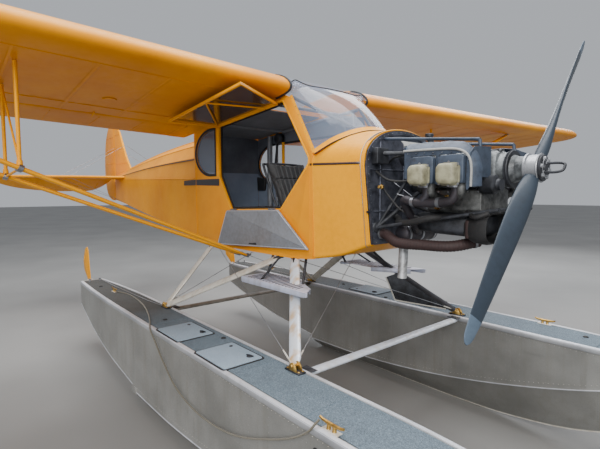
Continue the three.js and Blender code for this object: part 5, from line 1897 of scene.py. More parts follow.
@dataclass
class Windshield:
    """Curved clear sheet with its posts, its base strip and the V brace behind it."""

    top: tuple[Point, ...] = (
        (-0.026, 0.352, 2.264), (0.014, 0.322, 2.316), (0.022, 0.220, 2.340), (0.024, 0.0, 2.348))
    base: tuple[Point, ...] = (
        (0.196, 0.352, 1.8733), (0.312, 0.280, 1.9493), (0.398, 0.150, 2.0057), (0.424, 0.0, 2.0228))
    thick: float = 0.003

    def line(self, half: Sequence[Point], count: int) -> list[Point]:
        """A whole edge from its port half, from port to starboard."""
        full = [*half, *[(x, -y, z) for x, y, z in half[-2::-1]]]
        return smooth_path([at(*p) for p in full], count)

    def skin(self, across: int = 48, down: int = 16) -> list[list[Point]]:
        """Rows of points from the top edge to the base edge.

        Args:
            across: points in a row.
            down: steps from the top to the base.

        Returns:
            The rows.
        """
        tops, bases = self.line(self.top, across + 1), self.line(self.base, across + 1)
        rows = []
        for j in range(down + 1):
            v = j / down
            row = []
            for i, (a, b) in enumerate(zip(tops, bases)):
                bulge = 0.018 * math.sin(math.pi * v) * math.sin(math.pi * i / across)
                row.append((
                    a[0] + (b[0] - a[0]) * v + bulge, a[1] + (b[1] - a[1]) * v,
                    a[2] + (b[2] - a[2]) * v + bulge))
            rows.append(row)
        return rows

    def build(self) -> None:
        """Makes the sheet and all that holds it."""
        rows = self.skin()
        sheet = Shape().loft(rows, closed=False, caps=False).object("windshield_sheet", Edge.ROUND)
        shade(thickened(sheet, self.thick).data, Edge.ROUND)
        dress(sheet, CLEAR, replaces=["windshield"])
        down = len(rows) - 1
        brow = [
            (x - 0.022 * (abs(y) / 0.352) ** 2, y, z + 0.09 * min(1, abs(y) / 0.352) ** 6 + 0.002)
            for x, y, z in rows[0]]
        shoulders = Shape().loft([brow, rows[0]], closed=False, caps=False)
        shoulders = shoulders.object("windshield_shoulders", Edge.ROUND)
        dress(thickened(shoulders, self.thick), CLEAR)
        Shape().tube(brow, 0.0035, 8).piece("windshield_top_line", BLACK_RUBBER, Edge.ROUND)
        for side, sign, near, far in (("left", 1, 0, 3), ("right", -1, -1, -4)):
            outer = [rows[j][near] for j in range(down + 1)]
            inner = [
                tuple(np.add(rows[j][near], np.subtract(rows[j][far], rows[j][near]) * 0.22))
                for j in range(down + 1)]
            outer = [(x - 0.012, y + sign * 0.004, z) for x, y, z in outer]
            self.post(f"windshield_post_{side}", outer, inner, sign)
        self.trim(rows)
        brace = Shape()
        for sign in (1, -1):
            brace.rod(at(-0.034, sign * 0.3303, 2.262), at(0.420, 0, 1.972), 0.011, 14)
        brace.turned(at(0.420, 0, 1.972), (0.5, 0, -0.5), capped((-0.03, 0.014), (0.03, 0.014)), 14)
        brace.piece("windshield_v_brace", DARK_STEEL_AND_SHADE, Edge.ROUND, replaces=["windshield_brace"])

    def post(self, name: str, outer: list[Point], inner: list[Point], sign: int) -> None:
        """One yellow post: a folded strip along the sheet's side edge with its screws.

        Args:
            name: the post's name.
            outer: the points of the sheet's edge.
            inner: the points beside them on the sheet.
            sign: 1 for port and -1 for starboard.
        """
        rings = []
        for (ox, oy, oz), (ix, iy, iz) in zip(outer, inner):
            rings.append([
                (ox, oy, oz), (ox + 0.006, oy + sign * 0.003, oz + 0.006),
                (ix + 0.005, iy + sign * 0.004, iz + 0.005), (ix + 0.001, iy + sign * 0.001, iz + 0.001),
                (ix - 0.006, iy - sign * 0.004, iz - 0.006), (ox - 0.012, oy - sign * 0.010, oz - 0.008)])
        Shape().loft(rings).piece(name, YELLOW_METAL, Edge.CRISP)
        middle = [tuple(0.5 * (a + b) for a, b in zip(p, q)) for p, q in zip(outer, inner)]
        middle = [(x + 0.006, y + sign * 0.0045, z + 0.006) for x, y, z in middle]
        copies_along(name + "_screws", [middle[1:-1]], 0.06, dome(0.004, 0.5, 8), BARE_STEEL)

    def trim(self, rows: list[list[Point]]) -> None:
        """The base strip over the cowl and its dark line.

        Args:
            rows: the sheet's rows.
        """
        edge = rows[-1]
        up = [tuple(np.add(p, np.multiply(np.subtract(q, p), 0.30))) for p, q in zip(edge, rows[-4])]
        rings = []
        for p, q in zip(edge, up):
            out = np.array([0.6, 0.35 * np.sign(p[1]) * min(1, abs(p[1]) / 0.2), 0.45])
            n = out / np.linalg.norm(out)
            f = np.array([0.026, 0.020 * p[1] / 0.35, -0.002])
            rings.append([
                tuple(np.array(q) + n * 0.001), tuple(np.array(q) + n * 0.006),
                tuple(np.array(p) + n * 0.010), tuple(np.array(p) + f + n * 0.004),
                tuple(np.array(p) + f - n * 0.003), tuple(np.array(p) - n * 0.004)])
        Shape().loft(rings).piece("windshield_base_strip", YELLOW_METAL, Edge.CRISP)
        dark = [tuple(np.array(p) + np.array([0.030, 0.023 * p[1] / 0.35, -0.003])) for p in edge]
        Shape().tube(dark, 0.004, 8).piece("windshield_base_line", BLACK_RUBBER, Edge.ROUND)


# ---- wings, struts and tail ---------------------------------------------


@dataclass
class Wing:
    """One wing with its flap and aileron: metal nose, fabric drawn in between ribs, and tapes."""

    side: Side
    chord: float = 1.6
    straight: float = 4.57
    reach: float = 0.42
    rib_gap: float = 0.352
    # fraction of chord, upper and lower height as fractions of chord
    section: tuple[tuple[float, float, float], ...] = (
        (0.0, 0.024, 0.024), (0.0125, 0.049, 0.0095), (0.04, 0.0715, 0.003), (0.1, 0.0975, 0.0),
        (0.2, 0.114, 0.0), (0.3, 0.116, 0.0), (0.45, 0.109, 0.0), (0.6, 0.0895, 0.0), (0.77, 0.059, 0.0),
        (1.0, 0.007, 0.0))
    flap: tuple[float, float] = (0.160, 2.500)
    aileron: tuple[float, float] = (2.560, 4.560)
    hinge: float = -1.232

    def place(self, x: float, y: float, z: float) -> Point:
        """The frame point of a point in the wing's own axes, with y out from the root.

        Args:
            x: the distance ahead of the datum.
            y: the distance out from the root.
            z: the height over the datum.

        Returns:
            The point.
        """
        s = self.side.value
        turn = Matrix.Rotation(WING_RISE * s, 4, "X") @ Matrix.Rotation(-WING_SET, 4, "Y")
        p = turn @ Vector((x, s * y, z))
        return (p.x + STATION_ZERO, p.y + WING_ROOT[0] * s, p.z + WING_ROOT[1])

    def heights(self, fraction: float) -> tuple[float, float]:
        """Upper and lower height of the section at a fraction of the chord, in metres over its datum.

        Args:
            fraction: the share of the chord from the nose.

        Returns:
            The upper and the lower height.
        """
        table = np.array(self.section)
        root = math.sqrt(max(fraction, 0.0))
        roots = np.sqrt(table[:, 0])
        _, upper, lower = spread(list(zip(roots, table[:, 1], table[:, 2])), [root])[0]
        return (upper - 0.024) * self.chord, (max(lower, 0) - 0.024) * self.chord

    def sag(self, y: float, fraction: float) -> float:
        """How far the fabric is drawn in at a place, in metres.

        Args:
            y: the distance from the root.
            fraction: the share of the chord from the nose.

        Returns:
            The depth.
        """
        between = abs(math.sin(math.pi * y / self.rib_gap)) ** 0.8
        window = min(1, max(0, (fraction - 0.12) / 0.1)) * min(1, max(0, (1.0 - fraction) / 0.08))
        return 0.0042 * between * window

    def ring(self, y: float, chord: float, back: float, depth: float) -> Ring:
        """The whole section at a distance from the root.

        Args:
            y: the distance from the root.
            chord: the chord there.
            back: how far its nose is set back.
            depth: its depth as a share of the full section's.

        Returns:
            The section's points.
        """
        upper = [0.5 * (1 - math.cos(math.pi * i / 24)) for i in range(25)]
        points = []
        for f in upper:
            z = self.heights(f)[0] * depth - self.sag(y, f)
            points.append(self.place(-back - f * chord, y, z))
        for f in upper[:0:-1]:
            z = self.heights(f)[1] * depth + self.sag(y, f) * 0.9
            points.append(self.place(-back - f * chord, y, z))
        return points

    def spans(self) -> list[tuple[float, float, float, float]]:
        """Distance out, chord, setback and depth of each section.

        Returns:
            One row for each section, from the root outwards.
        """
        rows = [(y, self.chord, 0.0, 1.0) for y in np.linspace(0, self.straight, 13 * 8 + 1)]
        for share in (0.12, 0.24, 0.35, 0.46, 0.56, 0.65, 0.74, 0.82, 0.88, 0.93, 0.965, 0.99):
            keep = math.sqrt(1 - share ** 2.2)
            chord = self.chord * (0.12 + 0.88 * keep)
            rows.append((
                self.straight + self.reach * share, chord, (self.chord - chord) * 0.42, 0.25 + 0.75 * keep))
        return rows

    def bay(self, inner: float, outer: float, ahead: float) -> Shape:
        """The space behind a line across a span, to cut a bay with."""
        points = [self.place(x, y, z) for x in (-2.0, ahead) for y in (inner, outer) for z in (-0.3, 0.4)]
        return Shape().add(points, BLOCK_FACES)

    def surface(self, kind: str, inner: float, outer: float) -> None:
        """A flap or aileron: round nose, ribbed fabric and a thin trailing edge.

        Args:
            kind: flap or aileron.
            inner: where it starts along the span.
            outer: where it ends.
        """
        top, low = self.heights(0.77)
        middle, radius = (top + low) / 2, (top - low) / 2 - 0.003
        rings = []
        count = max(2, round((outer - inner) / self.rib_gap)) * 6
        for y in np.linspace(inner, outer, count + 1):
            between = 0.0032 * abs(math.sin(math.pi * (y - inner) / (outer - inner) * count / 6)) ** 0.8
            ring = []
            for i in range(13):
                turn = math.pi * (0.5 + i / 12)
                ring.append(self.place(
                    self.hinge - radius * math.cos(turn), y, middle + radius * math.sin(turn)))
            for f in (0.79, 0.83, 0.88, 0.93, 0.97, 0.995):
                z = self.heights(f)[1]
                ring.append(self.place(
                    -f * self.chord, y, z + between * min(1, (f - 0.77) * 12, (1 - f) * 14)))
            ring.append(self.place(-self.chord, y, self.heights(1.0)[1] + 0.002))
            ring.append(self.place(-self.chord, y, self.heights(1.0)[0] - 0.002))
            for f in (0.995, 0.97, 0.93, 0.88, 0.83, 0.79):
                z = self.heights(f)[0]
                ring.append(self.place(
                    -f * self.chord, y, z - between * min(1, (f - 0.77) * 12, (1 - f) * 14)))
            rings.append(ring)
        name = f"{kind}_{self.side.word}"
        Shape().loft(rings).piece(name + "_fabric", YELLOW_FABRIC, Edge.SOFT, name, [name])
        ribs = Shape()
        for y in np.linspace(inner + 0.02, outer - 0.02, count // 6 + 1):
            for pick, lift in ((1, -0.0004), (0, 0.0004)):
                ribs.tube(
                    [
                        self.place(-f * self.chord, y, self.heights(f)[pick] + lift)
                        for f in (0.79, 0.88, 0.97)],
                    0.0035, 6)
        ribs.piece(name + "_ribs", YELLOW_FABRIC, Edge.ROUND, name)

    def tape(self) -> Shape:
        """One rib's tape: a thin band over the section, ready to be set along the span.

        Returns:
            The tape's shape.
        """
        origin = np.array(self.place(0, 0, 0))
        fractions = [0.125 + 0.608 * i / 14 for i in range(15)]
        shape = Shape()
        for upper in (True, False):
            rings = []
            for f in fractions:
                z = self.heights(f)[0 if upper else 1]
                out = 0.0009 if upper else -0.0009
                row = [
                    (-0.014, 0.0), (-0.004, out), (0.0, out * 2.4), (0.004, out), (0.014, 0.0), (0.0, -out)]
                rings.append([
                    tuple(np.array(self.place(-f * self.chord, dy, z + dz)) - origin) for dy, dz in row])
            shape.loft(rings)
        return shape

    def build(self) -> None:
        """Makes the wing, its moving surfaces, tapes and small fittings."""
        word = self.side.word
        obj = Shape().loft([self.ring(*row) for row in self.spans()]).object(f"wing_{word}_fabric", Edge.SOFT)
        edge = self.hinge + 0.0502
        for inner, outer in (self.flap, self.aileron):
            cut_away(obj, self.bay(inner - 0.006, outer + 0.006, edge))
        shade(obj.data, Edge.SOFT)
        dress(obj, YELLOW_FABRIC, replaces=[f"wing_{word}"])
        self.surface("flap", *self.flap)
        self.surface("aileron", *self.aileron)
        start, stop = self.place(0, self.rib_gap, 0), self.place(0, self.straight - 0.005, 0)
        copies_along(
            f"wing_{word}_tapes", [[start, stop]], self.rib_gap, self.tape(), YELLOW_FABRIC, edge=Edge.ROUND)
        lines = Shape()
        for f, upper in ((0.125, True), (0.125, False), (0.155, True), (0.62, False)):
            z = self.heights(f)[0 if upper else 1]
            lines.tube([self.place(-f * self.chord, y, z) for y in (0.02, 2.3, self.straight)], 0.0022, 6)
        lines.piece(f"wing_{word}_seams", YELLOW_FABRIC, Edge.ROUND)
        rows = [
            [self.place(-0.138 * self.chord, y, z) for y in (0.05, self.straight)]
            for z in self.heights(0.138)]
        copies_along(f"wing_{word}_screws", rows, 0.1, dome(0.0028), YELLOW_METAL)
        rings = Shape()
        for y in (0.9, 2.0, 3.2, 4.2):
            z = self.heights(0.5)[1]
            foot = self.place(-0.5 * self.chord, y, z - 0.0005)
            down = np.subtract(self.place(0, y, -1), self.place(0, y, 0))
            rings.turned(
                foot, down, capped((-0.002, 0.045), (0.0012, 0.045), (0.002, 0.042), (0.0016, 0.03)), 24)
        rings.piece(f"wing_{word}_inspection_covers", YELLOW_FABRIC, Edge.SOFT)
        root = Shape()
        for pick in (0, 1):
            path = [
                self.place(-f * self.chord, 0.004, self.heights(f)[pick])
                for f in np.linspace(0.0, 0.98, 30) ** 1.5]
            root.tube(path, 0.0045, 8)
        root.piece(f"wing_{word}_root_strip", YELLOW_METAL, Edge.ROUND)
        nose = [(f, pick) for pick in (1, 0) for f in np.linspace(0.0, 0.10 ** 0.5, 9) ** 2]
        nose = [*nose[8::-1], *nose[10:]]
        band = Shape().tube(
            [self.place(-f * self.chord, 0.006, self.heights(f)[pick]) for f, pick in nose], 0.0085, 10)
        band.piece(f"wing_{word}_nose_seal", BLACK_RUBBER, Edge.ROUND)
        hinges = Shape()
        low = self.heights(0.77)[1]
        for y in (0.9, 1.8, 2.9, 3.6, 4.3):
            a = self.place(self.hinge + 0.075, y, low - 0.001)
            b = self.place(self.hinge + 0.004, y, low - 0.014)
            hinges.tube([a, b], 0.005, 8)
        hinges.piece(f"wing_{word}_hinge_arms", YELLOW_METAL, Edge.ROUND)


@dataclass
class LiftStruts:
    """One side's two lift struts with their jury struts and fork ends."""

    side: Side
    top_y: float = 3.26
    share: float = 0.51
    face_root: float = 2.287

    def wing_face(self, x: float, y: float) -> float:
        """Height of the wing's flat lower face at a place."""
        return self.face_root + x * math.tan(WING_SET) + (y - WING_ROOT[0]) * math.tan(WING_RISE)

    def build(self) -> None:
        """Makes the struts, forks and jury struts."""
        s, word = self.side.value, self.side.word
        middles = {}
        for kind, foot, x in (
            ("front", (-0.55, 0.374, 1.150), -0.235), ("rear", (-0.622, 0.404, 1.160), -1.0)
        ):
            top = (x, self.top_y, self.wing_face(x, self.top_y) - 0.012)
            a, b = at(foot[0], s * foot[1], foot[2]), at(top[0], s * top[1], top[2])
            shape = streamlined(Shape(), a, b, 0.068, 0.030)
            shape.piece(
                f"lift_strut_{kind}_{word}_tube", YELLOW_METAL, Edge.SOFT,
                replaces=[f"lift_strut_{kind}_{word}"])
            middles[kind] = np.array(a) + (np.array(b) - np.array(a)) * self.share
            ends = Shape()
            way = np.subtract(b, a) / np.linalg.norm(np.subtract(b, a))
            ends.rod(np.array(b) - way * 0.10, np.array(b) + way * 0.008, 0.011, 12)
            ends.turned(np.array(b) - way * 0.085, way, capped((-0.008, 0.019), (0.008, 0.019)), 6)
            ends.rod(np.array(b) - (0.024, 0, 0), np.array(b) + (0.024, 0, 0), 0.007, 10)
            ends.rod(np.array(a) + way * 0.08, np.array(a) - way * 0.018, 0.012, 12)
            ends.rod(np.array(a) - (0.026, 0, 0), np.array(a) + (0.026, 0, 0), 0.008, 10)
            for dx in (-0.017, 0.017):
                ends.tube(
                    [(a[0] + dx, a[1] - s * 0.026, a[2] + 0.008), (a[0] + dx, a[1] + s * 0.012, a[2])], 0.008,
                    8)
            ends.piece(f"lift_strut_{kind}_{word}_forks", BARE_STEEL, Edge.SOFT)
        jury = Shape()
        for kind in ("front", "rear"):
            low = middles[kind]
            top = (low[0], low[1], self.wing_face(low[0] - STATION_ZERO, abs(low[1])) - 0.002)
            jury.rod(low, top, 0.010, 14)
            jury.turned(low, UP, [(0.012, TIP), (0.012, 0.015), (0.04, 0.014), (0.05, TIP)], 12)
        jury.rod(middles["front"], middles["rear"], 0.007, 12)
        brace_top = (
            middles["rear"][0], middles["rear"][1],
            self.wing_face(middles["rear"][0] - STATION_ZERO, abs(middles["rear"][1])) - 0.01)
        jury.rod(middles["front"] + (0, 0, 0.02), brace_top, 0.006, 10)
        jury.piece(f"jury_struts_{word}_tubes", YELLOW_METAL, Edge.ROUND, replaces=[f"jury_struts_{word}"])
        clips = Shape()
        for kind in ("front", "rear"):
            foot = Vector(at(-0.55, s * 0.374, 1.150) if kind == "front" else at(-0.622, s * 0.404, 1.160))
            way = (Vector(middles[kind]) - foot).normalized()
            clips.turned(tuple(Vector(middles[kind]) - way * 0.02), way, [(0, 0.0385), (0.04, 0.0385)], 20)
        for i, p in enumerate(clips.points):
            middle = middles["front" if i < len(clips.points) // 2 else "rear"]
            clips.points[i] = tuple(middle + (np.array(p) - middle) * np.array([0.98, 0.6, 0.52]))
        clips.piece(f"jury_clips_{word}", BARE_STEEL, Edge.SOFT)


@dataclass
class Tail:
    """Tailplane, elevators, fin and rudder as fabric over round-edged frames, with wires and tapes."""

    level: float = 1.862
    hinge: float = -4.792
    droop: float = 26.0
    tailplane: tuple[tuple[float, float], ...] = (
        (-4.11, 0.0), (-4.15, 0.2), (-4.28, 0.7), (-4.45, 1.2), (-4.6, 1.45), (-4.7, 1.555), (-4.772, 1.6))
    elevator: tuple[tuple[float, float], ...] = (
        (0.080, 1.580), (0.210, 1.470), (0.330, 1.250), (0.415, 0.900), (0.430, 0.500), (0.405, 0.290),
        (0.300, 0.178), (0.150, 0.104))
    fin: tuple[tuple[float, float], ...] = (
        (-4.04, 1.930), (-4.25, 2.130), (-4.44, 2.390), (-4.56, 2.560), (-4.68, 2.650), (-4.772, 2.690))
    rudder: tuple[tuple[float, float], ...] = (
        (0.0, 2.700), (0.090, 2.728), (0.210, 2.700), (0.340, 2.600), (0.440, 2.430), (0.494, 2.200),
        (0.507, 1.950), (0.460, 1.720), (0.360, 1.590), (0.200, 1.530), (0.080, 1.520))

    def curve(self, points: Sequence[tuple[float, float]], count: int = 30) -> list[tuple[float, float]]:
        """A smooth plane curve through points."""
        return [(p[0], p[1]) for p in smooth_path([(u, v, 0) for u, v in points], count)]

    def fixed(self) -> None:
        """The tailplane and the fin."""
        half = self.curve(self.tailplane)
        outline = [(x, -y) for x, y in half[:0:-1]] + half

        def flat(u: float, v: float, h: float) -> Point:
            """A point of the tailplane: a station, to port, and off its plane."""
            return at(u, v, self.level + h)

        pillow(Shape(), outline, 0.015, flat).piece(
            "tailplane_fabric", YELLOW_FABRIC, Edge.SOFT, replaces=["tailplane"])
        ribs = Shape()
        for y in (0.2, 0.48, 0.76, 1.04, 1.3):
            front = np.interp(y, [p[1] for p in self.tailplane], [p[0] for p in self.tailplane])
            for s in (1, -1):
                for h in (0.0148, -0.0148):
                    ribs.rod(
                        at(front - 0.014, s * y, self.level + h), at(-4.765, s * y, self.level + h), 0.004, 6)
        fin = [*self.curve(self.fin), (-4.772, 1.895), (-4.17, 1.893)]

        def upright(u: float, v: float, h: float) -> Point:
            """A point of the fin: a station, a height, and off its plane."""
            return at(u, h, v)

        pillow(Shape(), fin, 0.015, upright).piece("fin_fabric", YELLOW_FABRIC, Edge.SOFT, replaces=["fin"])
        for z in (2.08, 2.3, 2.52):
            front = np.interp(z, [p[1] for p in self.fin], [p[0] for p in self.fin])
            for h in (0.0148, -0.0148):
                ribs.rod(at(front - 0.02, h, z), at(-4.765, h, z), 0.004, 6)
        ribs.piece("tail_rib_tapes", YELLOW_FABRIC, Edge.ROUND)
        wires = Shape()
        for s in (1, -1):
            for x in (-4.33, -4.745):
                out = 0.8 if x < -4.5 else 0.74
                wires.rod(
                    at(x, s * out, self.level + 0.018), at(x + 0.02 if x > -4.5 else x, s * 0.014, 2.33),
                    0.0022, 6)
                low = 1.53 if x < -4.5 else 1.50
                wires.rod(
                    at(x, s * out, self.level - 0.018), at(x, s * (0.02 if x < -4.5 else 0.07), low + 0.01),
                    0.0022, 6)
        wires.piece("tail_wires", BARE_STEEL, Edge.ROUND)

    def moving(self) -> None:
        """The elevators and the rudder."""
        a = math.radians(-self.droop)

        def drooped(u: float, v: float, h: float) -> Point:
            """A point of the elevator: back from the hinge, to port, and off its plane."""
            return at(
                self.hinge - u * math.cos(a) + h * math.sin(a), v,
                self.level + u * math.sin(a) + h * math.cos(a))

        shape, ribs = Shape(), Shape()
        for s in (1, -1):
            edge = self.curve([(0.004, 1.598), *self.elevator, (0.0, 0.062)], 40)
            outline = [(-0.006, s * 0.060), (-0.006, s * 1.598)] + [(u, s * v) for u, v in edge]
            pillow(shape, outline, 0.013, drooped, 0.010)
            shape.tube([drooped(0, s * 0.06, 0), drooped(0, s * 1.590, 0)], 0.014, 14)
            for y in (0.24, 0.5, 0.78, 1.06, 1.3):
                back = np.interp(y, *zip(*sorted((v, u) for u, v in self.elevator)))
                for h in (0.0128, -0.0128):
                    ribs.rod(drooped(0.004, s * y, h), drooped(back - 0.014, s * y, h), 0.004, 6)
        shape.tube([drooped(0, -0.07, 0), drooped(0, 0.07, 0)], 0.0138, 14)
        shape.piece("elevators_fabric", YELLOW_FABRIC, Edge.SOFT, "elevators", ["elevators"])
        ribs.piece("elevator_ribs", YELLOW_FABRIC, Edge.ROUND, "elevators")

        def upright(u: float, v: float, h: float) -> Point:
            """A point of the rudder: back from the hinge, a height, and off its plane."""
            return at(self.hinge - u, h, v)

        curve = self.curve(self.rudder, 44)
        low = [(0.003, 1.56), (0.003, 1.817), (0.085, 1.817), (0.085, 1.907), (0.003, 1.907)]
        pillow(Shape(), [*low, *curve], 0.013, upright, 0.008).piece(
            "rudder_fabric", YELLOW_FABRIC, Edge.SOFT, "rudder", ["rudder"])
        post = Shape()
        post.rod(at(self.hinge, 0, 1.56), at(self.hinge, 0, 1.816), 0.014)
        post.rod(at(self.hinge, 0, 1.908), at(self.hinge, 0, 2.70), 0.014)
        for z in (1.65, 2.1, 2.3, 2.5):
            back = np.interp(
                z, [1.52, 1.59, 1.72, 1.95, 2.2, 2.43, 2.6, 2.7],
                [0.1, 0.36, 0.46, 0.507, 0.494, 0.44, 0.34, 0.2])
            for h in (0.0128, -0.0128):
                post.rod(at(self.hinge, h, z), at(self.hinge - back + 0.02, h, z), 0.004, 6)
        post.piece("rudder_frame", YELLOW_FABRIC, Edge.ROUND, "rudder")

    def build(self) -> None:
        """Makes the whole tail."""
        self.fixed()
        self.moving()


# ---- floats -------------------------------------------------------------


@dataclass
class FloatHull:
    """One riveted metal float with its deck, strips, hatches, cleats and water rudder."""

    side: Side
    middle: float = 0.92
    step: float = -1.0515
    # distance out from the deck's edge, height over it
    rub_profile: tuple[tuple[float, float], ...] = (
        (-0.001, -0.002), (0.0075, -0.003), (0.0095, -0.008), (0.0095, -0.022), (0.0075, -0.027),
        (-0.001, -0.030))
    trim_profile: tuple[tuple[float, float], ...] = (
        (0.0075, -0.004), (0.0045, 0.0028), (-0.016, 0.0046), (-0.018, 0.001), (-0.002, -0.001))
    frames: tuple[float, ...] = (-2.35, -1.9, -1.45, -1.06, -0.55, -0.05, 0.45, 0.95, 1.4, 1.72)
    # station, half width, deck, chine, keel
    rear: tuple[tuple[float, ...], ...] = (
        (-2.8, 0.105, 0.690, 0.452, 0.400), (-2.3, 0.138, 0.696, 0.345, 0.262),
        (-1.7, 0.160, 0.700, 0.235, 0.142), (-1.053, 0.165, 0.700, 0.160, 0.066))
    front: tuple[tuple[float, ...], ...] = (
        (-1.05, 0.165, 0.700, 0.122, 0.0), (-0.3, 0.165, 0.700, 0.138, 0.0), (0.4, 0.165, 0.700, 0.208, 0.0),
        (0.9, 0.165, 0.700, 0.300, 0.022), (1.4, 0.158, 0.698, 0.428, 0.112),
        (1.75, 0.132, 0.690, 0.540, 0.262), (1.98, 0.088, 0.672, 0.610, 0.430),
        (2.085, 0.040, 0.640, 0.620, 0.545))

    def row(self, x: float) -> list[float]:
        """Half width, deck, chine and keel at a station.

        Args:
            x: the station.

        Returns:
            The four values.
        """
        table = self.rear if x < self.step else self.front
        half, deck, chine, keel = spread(table, [x])[0][1:]
        return [half, deck, chine, max(keel, 0.0)]

    def y(self, out: float) -> float:
        """A sideways place from the float's middle, where plus is away from the aeroplane."""
        return self.side.value * (self.middle + out)

    def ring(self, x: float) -> Ring:
        """The hull's section: deck, sides, chine flare and a hollowed vee bottom.

        Args:
            x: the station.

        Returns:
            The section's points.
        """
        half, deck, chine, keel = self.row(x)
        rise = chine - keel
        side = [
            (-half, deck), (-half, deck - 0.034), (-half, (deck + chine) / 2), (-half, chine + 0.016),
            (-half - 0.004, chine + 0.002), (-half + 0.002, chine - 0.006)]
        under = []
        for s in (0.2, 0.4, 0.6, 0.8):
            under.append((-half * (1 - s) - 0.014 * s, chine - 0.006 - (rise - 0.006) * (s ** 0.92)))
        left = [*side, *under, (-0.012, keel)]
        points = [*left, *[(-a, b) for a, b in left[::-1]]]
        return [at(x, self.y(a), b) for a, b in points]

    def stations(self) -> list[float]:
        """Where the hull's sections stand, close together at the bow.

        Returns:
            The stations from the stern on.
        """
        rear = list(np.linspace(-2.8, -1.053, 20))
        front = [*np.linspace(-1.05, 1.3, 24), *np.linspace(1.38, 2.085, 18)]
        return rear + front

    def line(
        self, kind: str, side: int, lift: float, start: float, stop: float, count: int = 60
    ) -> list[Point]:
        """A line along the hull on one side, lifted off the skin.

        Args:
            kind: deck (the deck's rim), edge (the side's top), chine (its foot) or lip (the chine's lip).
            side: 1 for port and -1 for starboard.
            lift: the height over the skin.
            start: the first station.
            stop: the last station.
            count: how many points come back.

        Returns:
            The line's points.
        """
        out = []
        for x in np.linspace(start, stop, count):
            half, deck, chine, _ = self.row(float(x))
            place = {
                "deck": (half - 0.012, deck + lift), "edge": (half + lift, deck - 0.04),
                "chine": (half + lift, chine + 0.030), "lip": (half + 0.003, chine - 0.002)}[kind]
            out.append(at(float(x), self.y(side * place[0]), place[1]))
        return out

    def skin(self) -> None:
        """The hull, the gritted deck and the strips."""
        word = self.side.word
        hull = Shape().loft([self.ring(x) for x in self.stations()])
        hull.turned(at(2.062, self.y(0), 0.560), UP, [(0, TIP), (0.001, 0.030)], 20)
        hull.piece(f"float_{word}_skin", FLOAT_METAL, Edge.CRISP, replaces=[f"float_{word}"])
        deck = Shape()
        rows = []
        for x in np.linspace(-2.74, 1.96, 48):
            half, top, *_ = self.row(float(x))
            wide = half - 0.026
            rows.append(on_station(
                x, (self.y(-wide), top + 0.0004), (self.y(-wide), top + 0.003), (self.y(wide), top + 0.003),
                (self.y(wide), top + 0.0004)))
        deck.loft(rows)
        deck.piece(f"float_{word}_deck", DECK, Edge.CRISP)
        rub, trim = Shape(), Shape()
        rims = [
            (x, *self.row(float(x))[:2]) for x in [*np.linspace(-2.76, 1.3, 40), *np.linspace(1.4, 2.06, 14)]]
        for s in (-1, 1):
            for shape, profile in ((rub, self.rub_profile), (trim, self.trim_profile)):
                shape.loft([
                    [at(x, self.y(s * (half + a)), top + b) for a, b in profile] for x, half, top in rims])
            trim.tube(self.line("lip", s, 0, -1.045, 2.04, 60), 0.0042, 8)
            trim.tube(self.line("lip", s, 0, -2.79, -1.06, 40), 0.003, 8)
        rub.piece(f"float_{word}_rub_strip", EDGE_METAL, Edge.CRISP)
        trim.piece(f"float_{word}_trim", RUB_METAL, Edge.CRISP)

    def seams(self) -> None:
        """Lapped seams, stiffener strips, keel strip and the rivet rows."""
        word = self.side.word
        laps = Shape()
        lines: list[list[Point]] = []
        for x in self.frames:
            half, deck, chine, _ = self.row(x)
            for s in (-1, 1):
                top, low = deck - 0.036, chine + 0.018
                y = self.y(s * (half + 0.0001))
                lift = self.y(s * (half + 0.0016))
                laps.plate(
                    [at(x + u, y, v) for u, v in ((-0.018, top), (0.018, top), (0.018, low), (-0.018, low))],
                    (0, (lift - y) * 0.5, 0))
                for dx in (-0.011, 0.011):
                    lines.append([at(x + dx, lift, top - 0.01), at(x + dx, lift, low + 0.01)])
        for x in np.arange(-2.6, 1.9, 0.165):
            half, deck, chine, _ = self.row(float(x))
            if min(abs(x - v) for v in self.frames) > 0.05:
                for s in (-1, 1):
                    y = self.y(s * (half + 0.0003))
                    lines.append([at(x, y, deck - 0.046), at(x, y, chine + 0.034)])
        if self.side is Side.LEFT:
            y = self.y(-0.1652)
            laps.plate(
                [
                    at(1.055 + u, y, 0.617 + v)
                    for u, v in ((0, -0.045), (0.125, -0.045), (0.125, 0.045), (0, 0.045))],
                (0, -0.0012, 0))
        laps.piece(f"float_{word}_seams", FLOAT_METAL, Edge.CRISP)
        copies_along(f"float_{word}_panel_rivets", lines, 0.034, dome(0.0026, 0.45), FLOAT_METAL)
        rows = []
        for s in (-1, 1):
            rows += [
                self.line("edge", s, 0.0003, -2.76, 1.98), self.line("chine", s, 0.0003, -2.76, -1.06, 30),
                self.line("chine", s, 0.0003, -1.04, 1.9), self.line("deck", s, 0.0036, -2.74, 1.96)]
        copies_along(f"float_{word}_edge_rivets", rows, 0.030, dome(0.0027, 0.45), STRUT_SILVER)
        keel = Shape()
        for start, stop in ((-1.045, 2.0), (-2.78, -1.06)):
            rings = []
            for x in np.linspace(start, stop, 40):
                base = self.row(float(x))[-1]
                rings.append([
                    at(x, self.y(a), base + b)
                    for a, b in ((-0.017, 0.012), (-0.017, 0.0005), (0.017, 0.0005), (0.017, 0.012))])
            keel.loft(rings)
        keel.piece(f"float_{word}_keel_strip", STRUT_SILVER, Edge.CRISP)

